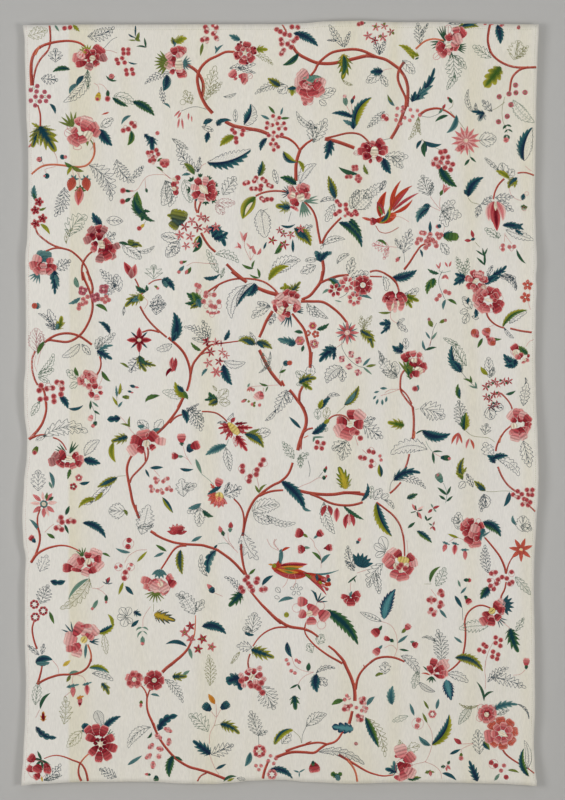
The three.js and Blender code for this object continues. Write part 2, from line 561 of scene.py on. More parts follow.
# A smooth line through a few places, in even steps.
def smoothLine(points, step=1.5):
    points = np.asarray(points, float).reshape(-1, 2)
    if len(points) == 2:
        count = max(2, int(np.hypot(*(points[1] - points[0])) / step))
        return points[0] + (points[1] - points[0]) * np.linspace(0, 1, count)[:, None]
    ends = np.vstack([2 * points[0] - points[1], points, 2 * points[-1] - points[-2]])
    line = []
    for a, b, c, d in zip(ends, ends[1:], ends[2:], ends[3:]):
        count = max(2, int(np.hypot(*(c - b)) / step))
        t = np.linspace(0, 1, count, endpoint=False)[:, None]
        line.append(0.5 * (2 * b + (c - a) * t + (2 * a - 5 * b + 4 * c - d) * t ** 2
                           + (3 * b - a - 3 * c + d) * t ** 3))
    return np.vstack([*line, points[-1:]])


def lengthsOf(line):
    return np.concatenate([[0], np.cumsum(np.hypot(*np.diff(line, axis=0).T))])


def pointsAt(line, where):
    run = lengthsOf(line)
    return np.stack([np.interp(where, run, line[:, 0]), np.interp(where, run, line[:, 1])], axis=-1)


# Stem stitch along a line. Each stitch runs a little beside the one before it.
def lineStitches(line, name, width=None, length=None, shade=0.5, begin=0.0):
    length = length or wool["lineStitch"]
    total = lengthsOf(line)[-1]
    count = max(1, int(round(total / length)))
    marks = np.linspace(0, total, count + 1)
    if begin:
        marks = np.clip(np.concatenate([[0], marks[:-1] + begin * total / count, [total]]), 0, total)
    overlap = 0.12 * length
    start = pointsAt(line, marks[:-1])
    end = pointsAt(line, np.minimum(marks[1:] + overlap, total))
    return batch(start, end, width or wool["lineWidth"], toneOf(name, shade))


def sideways(line):
    step = np.gradient(line, axis=0)
    step /= np.maximum(np.hypot(*step.T), 1e-6)[:, None]
    return np.stack([-step[:, 1], step[:, 0]], axis=1)     # to the right of travel, as seen on the face


stem = {
    "stitch": 8.5,
    "row": 1.45,           # width of one row of stitches
    "crowd": 1.12,         # rows are this much wider than their share, so that no cloth shows
    "grow": 1.08,          # vines are sewn a little stouter than charted
    "stagger": 0.37,
    "dark": 0.72,          # painted shade: how dark the lower side is painted, and how much of the stem is painted lit
    "lit": 0.2,
    "shaded": 0.85,
}


# A winding stem: rows of stem stitch side by side, with painted shade along its lower side and painted
# light along its upper side.
def sewStem(name, thickStart, thickEnd, points):
    line = smoothLine(points)
    if thickStart <= 1:
        sew("stalks", [lineStitches(line, name)])
        return
    right = sideways(line)
    # the lower side, which faces away from the lamps, is the side that gets the painted shade
    shadedSide = 1 if np.median(right[:, 0] * 0.35 + right[:, 1]) > 0 else -1
    thickStart, thickEnd = thickStart * stem["grow"], thickEnd * stem["grow"]
    thick = np.linspace(thickStart, thickEnd, len(line))
    count = max(2, int(round(max(thickStart, thickEnd) / stem["row"])))
    width = max(thickStart, thickEnd) / count * stem["crowd"]
    # the tone of the painted shade on the lower side
    dark = woolTones["coralShade"][0] if name == "coral" else woolTones[name][0] * stem["dark"]
    parts = []
    for row in range(count):
        part = row / (count - 1)
        track = line + right * ((part - 0.5) * shadedSide * (thick - width * 0.8))[:, None]
        parts.append(lineStitches(track, name, width, stem["stitch"], begin=(row * stem["stagger"]) % 1))
        # rows towards the lower side are painted darker as shade, and rows towards the upper side paler as
        # painted light
        shade = max(0.0, part - stem["lit"]) / (1 - stem["lit"])
        light = toneOf(name, 1 - part)
        parts[-1][3][:] = light * (1 - shade * stem["shaded"]) + dark * shade * stem["shaded"]
    sew("vines", parts)


edges = {     # taper, bluntness, then the space between points, fewest, most, and their depth
    "smooth": (0.85, 0.85),
    "tooth": (0.85, 0.8, 8.5, 4, 9, 0.30),
    "spiky": (0.75, 0.65, 12, 3, 5, 0.52),
    "plume": (0.75, 0.7, 11, 3, 5, 0.5),
    "lobed": (0.8, 0.6, 17, 2, 5, 0.42),
    "frill": (0.8, 0.55, 9, 3, 7, 0.27),
}
drawnEdges = {"lobed": (12, 7, 0.42), "plume": (10, 8, 0.6)}     # space, most, depth
leaf = {
    "stitch": 9.5,
    "pack": 0.84,          # distance between stitches, as a part of their width
    "slant": 0.75,
    "midribGap": 0.5,
    "overlap": 0.04,
    "contrast": 1.7,
    "tipLight": 0.3,
    "drawnDeeper": 1.4,    # drawn edges are cut in deeper
    "drawnLean": 0.7,      # and their lobes lean towards the tip
    "ribFrom": 18,         # a drawn leaf longer than this has a midrib
    "veinsFrom": 26,       # and longer than this it has side veins
    "veinSpace": 10,
}
petal = {
    "stitch": 11.0,
    "pack": 0.9,
    "small": 14.0,         # a shorter petal is plain, and a ring of such petals is sewn full
    "grow": 0.13,          # wide petals are sewn a little fuller than charted
    "growFrom": 0.44,
    "slim": 0.45,
    "scallop": 0.09,
    "rim": 0.985,
    "rimFrom": 12,         # a petal longer than this has a paler rim
    "rimWidth": 2.4,
    "rimStitch": 4.5,
    "sideWidth": 1.3,
}
rimTones = {"pink": "blush", "blush": "pink", "dusty": "pink", "cream": "blush", "butter": "mustard",
            "wine": "rose", "ember": "apricot", "amber": "butter", "mustard": "butter"}


# Half widths along a leaf or petal as a part of the widest, how far its edge is cut in, and its lean.
def edgeProfile(kind, t, length, slim, drawn):
    t = np.clip(t, 0, 1)
    if kind == "round":
        blunt = 2.0 if drawn or slim or length < petal["small"] else 2.9
        egg = np.clip(1 - (np.abs(t - 0.55) / np.where(t < 0.55, 0.55, 0.45)) ** blunt, 0, 1)
        return egg ** (1 / blunt) * (0.62 + 0.38 * np.clip(t / 0.6, 0, 1)), np.ones_like(t), 0 * t
    taper, blunt, *points = edges[kind]
    plain = np.sin(math.pi * t ** taper) ** blunt
    if not points:
        return plain, np.ones_like(t), 0 * t
    space, fewest, most, depth = points
    if drawn and kind in drawnEdges:
        space, most, depth = drawnEdges[kind]
    count = np.clip(round(length / space), fewest, most)
    if drawn and kind != "spiky":     # drawn leaves have pointed lobes
        point = count * t % 1
        wave = np.where(point < 0.68, point / 0.68, (1 - point) / 0.32) ** 0.8
    elif kind in ("lobed", "frill"):
        wave = np.abs(np.sin(math.pi * count * t)) ** 0.7
    else:
        wave = (count * t % 1) ** (1.2 if kind == "spiky" else 1.0)
    lean = leaf["drawnLean"] * wave / count if drawn else 0 * t
    return plain, 1 - depth + (depth + 0.05) * wave, lean


# A leaf or petal: its midrib, its half widths and its two edges.
class Blade:
    def __init__(self, kind, x, y, toX, toY, wide, bend, drawn):
        self.kind = kind
        base, tip = np.array([x, y], float), np.array([toX, toY], float)
        self.length = max(np.hypot(*(tip - base)), 2.0)
        t = np.linspace(0, 1, 121)
        ahead = (tip - base) / self.length
        right = np.array([-ahead[1], ahead[0]])
        bulge = bend * self.length * 4 * t * (1 - t)
        self.t = t
        self.middle = base + ahead * (t * self.length)[:, None] + right * bulge[:, None]
        self.right = sideways(self.middle)
        self.wide = wide * self.length / 2
        plain, cut, self.lean = edgeProfile(kind, t, self.length, wide < petal["slim"], drawn)
        self.plain = self.wide * plain
        self.cut = 1 - (1 - cut) * (leaf["drawnDeeper"] if drawn else 1.0)
        self.half = self.plain * self.cut

    # The place at a part of the length, and at a part of the half width to the right or left.
    def at(self, t, across):
        t = np.clip(t, 0, 1)
        spot, right = (np.stack([np.interp(t, self.t, line[:, i]) for i in (0, 1)], axis=-1)
                       for line in (self.middle, self.right))
        return spot + right * np.asarray(self.reach(t) * across)[..., None]

    def reach(self, t):
        return np.interp(t, self.t, self.half)

    def edge(self, side):
        spot = self.middle + self.right * (self.half * side)[:, None]
        if not self.lean.any():
            return spot
        further = np.clip(self.t + self.lean * (1 - self.t), 0, 1)
        ahead = [np.interp(further, self.t, self.middle[:, i]) - self.middle[:, i] for i in (0, 1)]
        return spot + np.stack(ahead, axis=1)


# Slanting long and short stitches, side by side, from the midrib to the edge of one half.
def leafHalf(blade, name, side):
    width = wool["width"]
    count = max(3, int(blade.length / (width * leaf["pack"])))
    odd = np.arange(count) % 2
    t = (np.arange(count) + 0.3) / count * 0.985
    t2 = np.clip(t + leaf["slant"] * np.interp(t, blade.t, blade.plain) / blade.length, 0, 0.995)
    foot = blade.at(t, -side * leaf["midribGap"] / np.maximum(blade.reach(t), 0.6))
    cut = np.maximum(np.interp(t2, blade.t, blade.cut), 0.15)
    tip = foot + (blade.at(t2, side / cut) - foot) * cut[:, None]
    pieces = max(1, int(math.ceil(np.hypot(*(tip - foot).T).max() / leaf["stitch"])))
    cuts = np.zeros((pieces + 1, count))
    for i in range(1, pieces):
        cuts[i] = i / pieces + (0.5 / pieces) * (odd - 0.5)
    cuts[pieces] = 1
    parts = []
    for low, high in zip(cuts, cuts[1:]):
        start = foot + (tip - foot) * low[:, None]
        end = foot + (tip - foot) * np.minimum(high[:, None] + leaf["overlap"], 1)
        shade = ((low + high) / 2) if pieces > 1 else 0.25 + 0.5 * odd
        shade = np.clip((shade - 0.5) * leaf["contrast"] + 0.5 + leaf["tipLight"] * (t - 0.5), 0, 1)
        parts.append(batch(start, end, width, toneOf(name, shade)))
    return parts


# Where the scalloped rim of a petal lies, as a part of its length.
def rimAt(blade, across):
    if blade.length <= petal["small"]:
        return petal["rim"] - 0 * across
    return petal["rim"] - petal["scallop"] * (1 - np.abs(np.cos(1.5 * math.pi * across)))


# Long and short stitches that run from the base of a petal to its rim.
def petalFill(blade, name):
    width = wool["width"]
    count = max(2, int(round(2 * blade.wide / (width * petal["pack"]))))
    pieces = max(1, int(math.ceil(blade.length / petal["stitch"])))
    across = (np.arange(count) + 0.5) / count * 2 - 1
    if pieces == 1:     # a short petal: level stitches, each as long as the petal is there
        wide = blade.half[None] >= (np.abs(across) * blade.wide * 0.97)[:, None]
        low = blade.t[wide.argmax(axis=1)]
        high = blade.t[len(blade.t) - 1 - wide[:, ::-1].argmax(axis=1)]
        spots = [blade.at(t, across * blade.wide / np.maximum(blade.reach(t), 0.05))
                 for t in (low, (low + high) / 2 + 0.04, (low + high) / 2 - 0.04, high)]
        if blade.length < 5:
            return [batch(spots[0], spots[3], width, toneOf(name, 0.5))]
        return [batch(spots[0], spots[1], width, toneOf(name, 0.1)),
                batch(spots[2], spots[3], width, toneOf(name, 0.9))]
    parts = []
    shift = (np.arange(count) % 2) * 0.24 / pieces
    for i in range(pieces):
        low = 0.02 + 0 * across if i == 0 else i / pieces + shift
        high = rimAt(blade, across) if i == pieces - 1 else (i + 1) / pieces + shift + 0.03
        shade = ((low + high) / 2) ** 1.3
        parts.append(batch(blade.at(low, across), blade.at(high, across), width, toneOf(name, shade)))
    return parts


# A paler line along the rim of a petal and down its sides.
def petalRim(blade, name):
    tone = rimTones.get(name, "blush")
    across = np.linspace(-1, 1, 31)
    rim = blade.at(rimAt(blade, across), across)
    return [lineStitches(rim, tone, petal["rimWidth"], petal["rimStitch"], shade=0.2),
            *(lineStitches(blade.edge(side)[20:110], tone, petal["sideWidth"], shade=0.6)
              for side in (-1, 1))]


# Three fillings for a drawn leaf, spaced in millimetres: loose seed stitches, small rings, hatching.
def seeds(blade, name, sides):
    parts = []
    for t in np.arange(4.5, blade.length - 3, 4.6) / blade.length:
        reach = float(blade.reach(t))
        for side in sides:
            across = np.arange(2.6, reach - 1.2, 4.2)
            if len(across):
                spot = blade.at(np.full(len(across), t), side * across / max(reach, 0.1))
                spot = spot + rng.uniform(-0.8, 0.8, spot.shape)
                angle = rng.uniform(0, math.pi, len(across))
                arm = np.stack([np.cos(angle), np.sin(angle)], axis=1)
                parts.append(batch(spot - arm, spot + arm, wool["fineWidth"], toneOf(name, 0.5)))
    return parts


def circle(x, y, radius, count=None):
    count = count or max(8, int(radius * 2.2))
    angle = np.linspace(0, 2 * math.pi, count + 1)
    return np.stack([x + radius * np.cos(angle), y + radius * np.sin(angle)], axis=1)


def eyelets(blade, name, sides):
    parts = []
    for t in np.arange(7, blade.length - 5, 9) / blade.length:
        reach = float(blade.reach(t))
        for side in sides:
            for across in np.arange(4.5, reach - 3, 8):
                x, y = blade.at(t, side * across / reach)
                parts.append(lineStitches(circle(x, y, 2.2, 6), name, wool["fineWidth"], 2.4))
    return parts


def hatching(blade, name, sides):
    t = np.arange(3, blade.length - 2, 3.6) / blade.length
    t2 = np.clip(t + 0.5 * blade.reach(t) / blade.length, 0, 0.98)
    return [batch(blade.at(t, 0 * t), blade.at(t2, side * 0.96 * np.ones(len(t))), wool["fineWidth"],
                  toneOf(name, 0.5)) for side in sides]


fillings = {"Seed": seeds, "Ring": eyelets, "Hatch": hatching}     # a tone's name may end with one


# A leaf that is only drawn: stem stitch round it, a midrib, side veins, and a filling if it has one.
def leafOutline(blade, name, sides):
    pattern = next((word for word in fillings if name.endswith(word)), "")
    tone = name.removesuffix(pattern)
    parts = [lineStitches(blade.edge(side), tone) for side in sides]
    if blade.length > leaf["ribFrom"]:
        parts.append(lineStitches(blade.middle[:108], tone))
    veined = blade.length > leaf["veinsFrom"] and not pattern and blade.kind != "round"
    if veined or blade.kind == "plume":
        t = np.arange(5, blade.length * 0.85, leaf["veinSpace"]) / blade.length
        t2 = np.clip(t + 0.8 * np.interp(t, blade.t, blade.plain) / blade.length, 0, 0.96)
        for side in sides:
            for foot, tip in zip(blade.at(t, 0 * t), blade.at(t2, side * 0.62 * np.ones(len(t)))):
                parts.append(lineStitches(np.stack([foot, tip]), tone))
    if pattern:
        parts += fillings[pattern](blade, tone, sides)
    return parts


# One leaf or petal. A name with a stroke in it has one tone for each half.
def sewBlade(kind, name, x, y, toX, toY, wide, bend, family):
    drawn = isOutline(name)
    if (kind == "round" and not drawn and math.hypot(toX - x, toY - y) > petal["small"]
            and wide > petal["growFrom"]):
        toX, toY = toX + (toX - x) * petal["grow"], toY + (toY - y) * petal["grow"]
        wide *= 1 + petal["grow"] * 1.6
    blade = Blade(kind, x, y, toX, toY, wide, bend, drawn)
    if "/" in name:
        parts = []
        for half, side in zip(name.split("/"), (-1, 1)):
            parts += leafOutline(blade, half, (side,)) if isOutline(half) else leafHalf(blade, half, side)
        sew(family or "leaves", parts)
    elif drawn:
        sew(family or "outlinedLeaves", leafOutline(blade, name, (-1, 1)))
    else:
        if kind == "round":
            parts = petalFill(blade, name)
            if name in redTones and blade.length > petal["rimFrom"]:
                parts += petalRim(blade, name)
        else:
            parts = leafHalf(blade, name, -1) + leafHalf(blade, name, 1)
        sew(family or ("blossoms" if name in redTones else "leaves"), parts)


berry = {
    "pack": 0.9,
    "rimTone": "berryRound",     # round the crimson ones
    "rimGap": 1.5,
    "rimWidth": 1.8,
    "rimStitch": 4.4,
    "rimmed": (1.5, 7),    # smallest and largest radius that has a rim
    "twoRows": 6,          # a larger one takes two rows of stitches
}


# A berry or flower centre in satin stitch, or only its ring.
def sewDot(name, radius, x, y, family):
    if isOutline(name):
        sew(family or "berries", [lineStitches(circle(x, y, radius), name, 1.1, 4.0)])
        return
    width = wool["width"]
    if name == "crimson" and not family and berry["rimmed"][0] < radius < berry["rimmed"][1]:
        rim = circle(x, y, radius + berry["rimGap"])
        sew("berries", [lineStitches(rim, berry["rimTone"], berry["rimWidth"], berry["rimStitch"])])
    count = max(2, int(round(2 * radius / (width * berry["pack"]))))
    angle = rng.uniform(0, math.pi)
    ahead = np.array([math.cos(angle), math.sin(angle)])
    aside = np.array([-ahead[1], ahead[0]])
    across = ((np.arange(count) + 0.5) / count * 2 - 1) * radius
    reach = np.sqrt(np.maximum(radius ** 2 - across ** 2, 0.2))
    middle = np.array([x, y]) + aside * across[:, None]
    shade = 0.35 + 0.65 * np.abs(across) / radius
    pieces = [(-1, 1)] if radius < berry["twoRows"] else [(-1, 0.04), (-0.04, 1)]
    parts = [batch(middle + ahead * (reach * low)[:, None], middle + ahead * (reach * high)[:, None],
                   width, toneOf(name, shade)) for low, high in pieces]
    sew(family or "berries", parts)


# The rows of a chart. A line that starts with a number goes on from the line above it.
def chartRows(text):
    rows = []
    for line in text.strip().splitlines():
        words = line.replace(";", " ; ").split()
        if words[0][0].isalpha():
            rows.append(words)
        else:
            rows[-1] += words
    return rows


# Stalks and vines are sewn first, then drawn leaves, filled leaves, petals, and dots last.
def turnOf(row):
    kind, name = row[:2]
    if kind == "stem":
        return 0 if float(row[2]) <= 1 else 1
    if kind == "dots":
        return 5
    if isOutline(name):
        return 2
    return 4 if kind in ("round", "ring", "star") or name in ("cream", "butter") else 3


perChart = 10     # millimetres in the chart's centimetre
mostBend = 0.17


def sewRow(kind, name, words, family):
    if kind == "stem":     # how thick it starts and ends, then the places that it passes
        for line in " ".join(words).split(";"):
            thickStart, thickEnd, *points = [float(word) for word in line.split()]
            sewStem(name, thickStart, thickEnd, np.array(points) * perChart)
        return
    values = [float(word) for word in words]
    if kind == "dots":
        radius, *spots = np.array(values) * perChart
        for x, y in zip(spots[::2], spots[1::2]):
            sewDot(name, radius, x, y, family)
    elif kind == "fan":     # leaves that spread from one foot
        x, y, length = np.array(values[:3]) * perChart
        fromAngle, toAngle, count, wide = values[3:]
        for angle in np.radians(np.linspace(fromAngle, toAngle, int(count))):
            tip = x + length * math.cos(angle), y - length * math.sin(angle)
            sewBlade("smooth", name, x, y, *tip, wide, 0.0, family)
    elif kind in ("ring", "star"):     # round or pointed petals about a middle
        x, y, inner, outer = np.array(values[:4]) * perChart
        count, turn, wide = values[4:]
        if kind == "ring" and outer - inner < petal["small"]:     # petals that touch
            wide = max(wide, 1.05 * math.pi * (inner + outer) / count / (outer - inner))
        for angle in turn + 2 * math.pi * np.arange(int(count)) / int(count):
            out = np.array([math.cos(angle), -math.sin(angle)])
            foot, tip = np.array([x, y]) + out * inner, np.array([x, y]) + out * outer
            sewBlade("round" if kind == "ring" else "smooth", name, *foot, *tip, wide, 0.0, family)
    else:
        for i in range(0, len(values), 6):
            x, y, toX, toY = np.array(values[i:i + 4]) * perChart
            wide, bend = values[i + 4:i + 6]
            sewBlade(kind, name, x, y, toX, toY, wide, min(max(bend, -mostBend), mostBend), family)
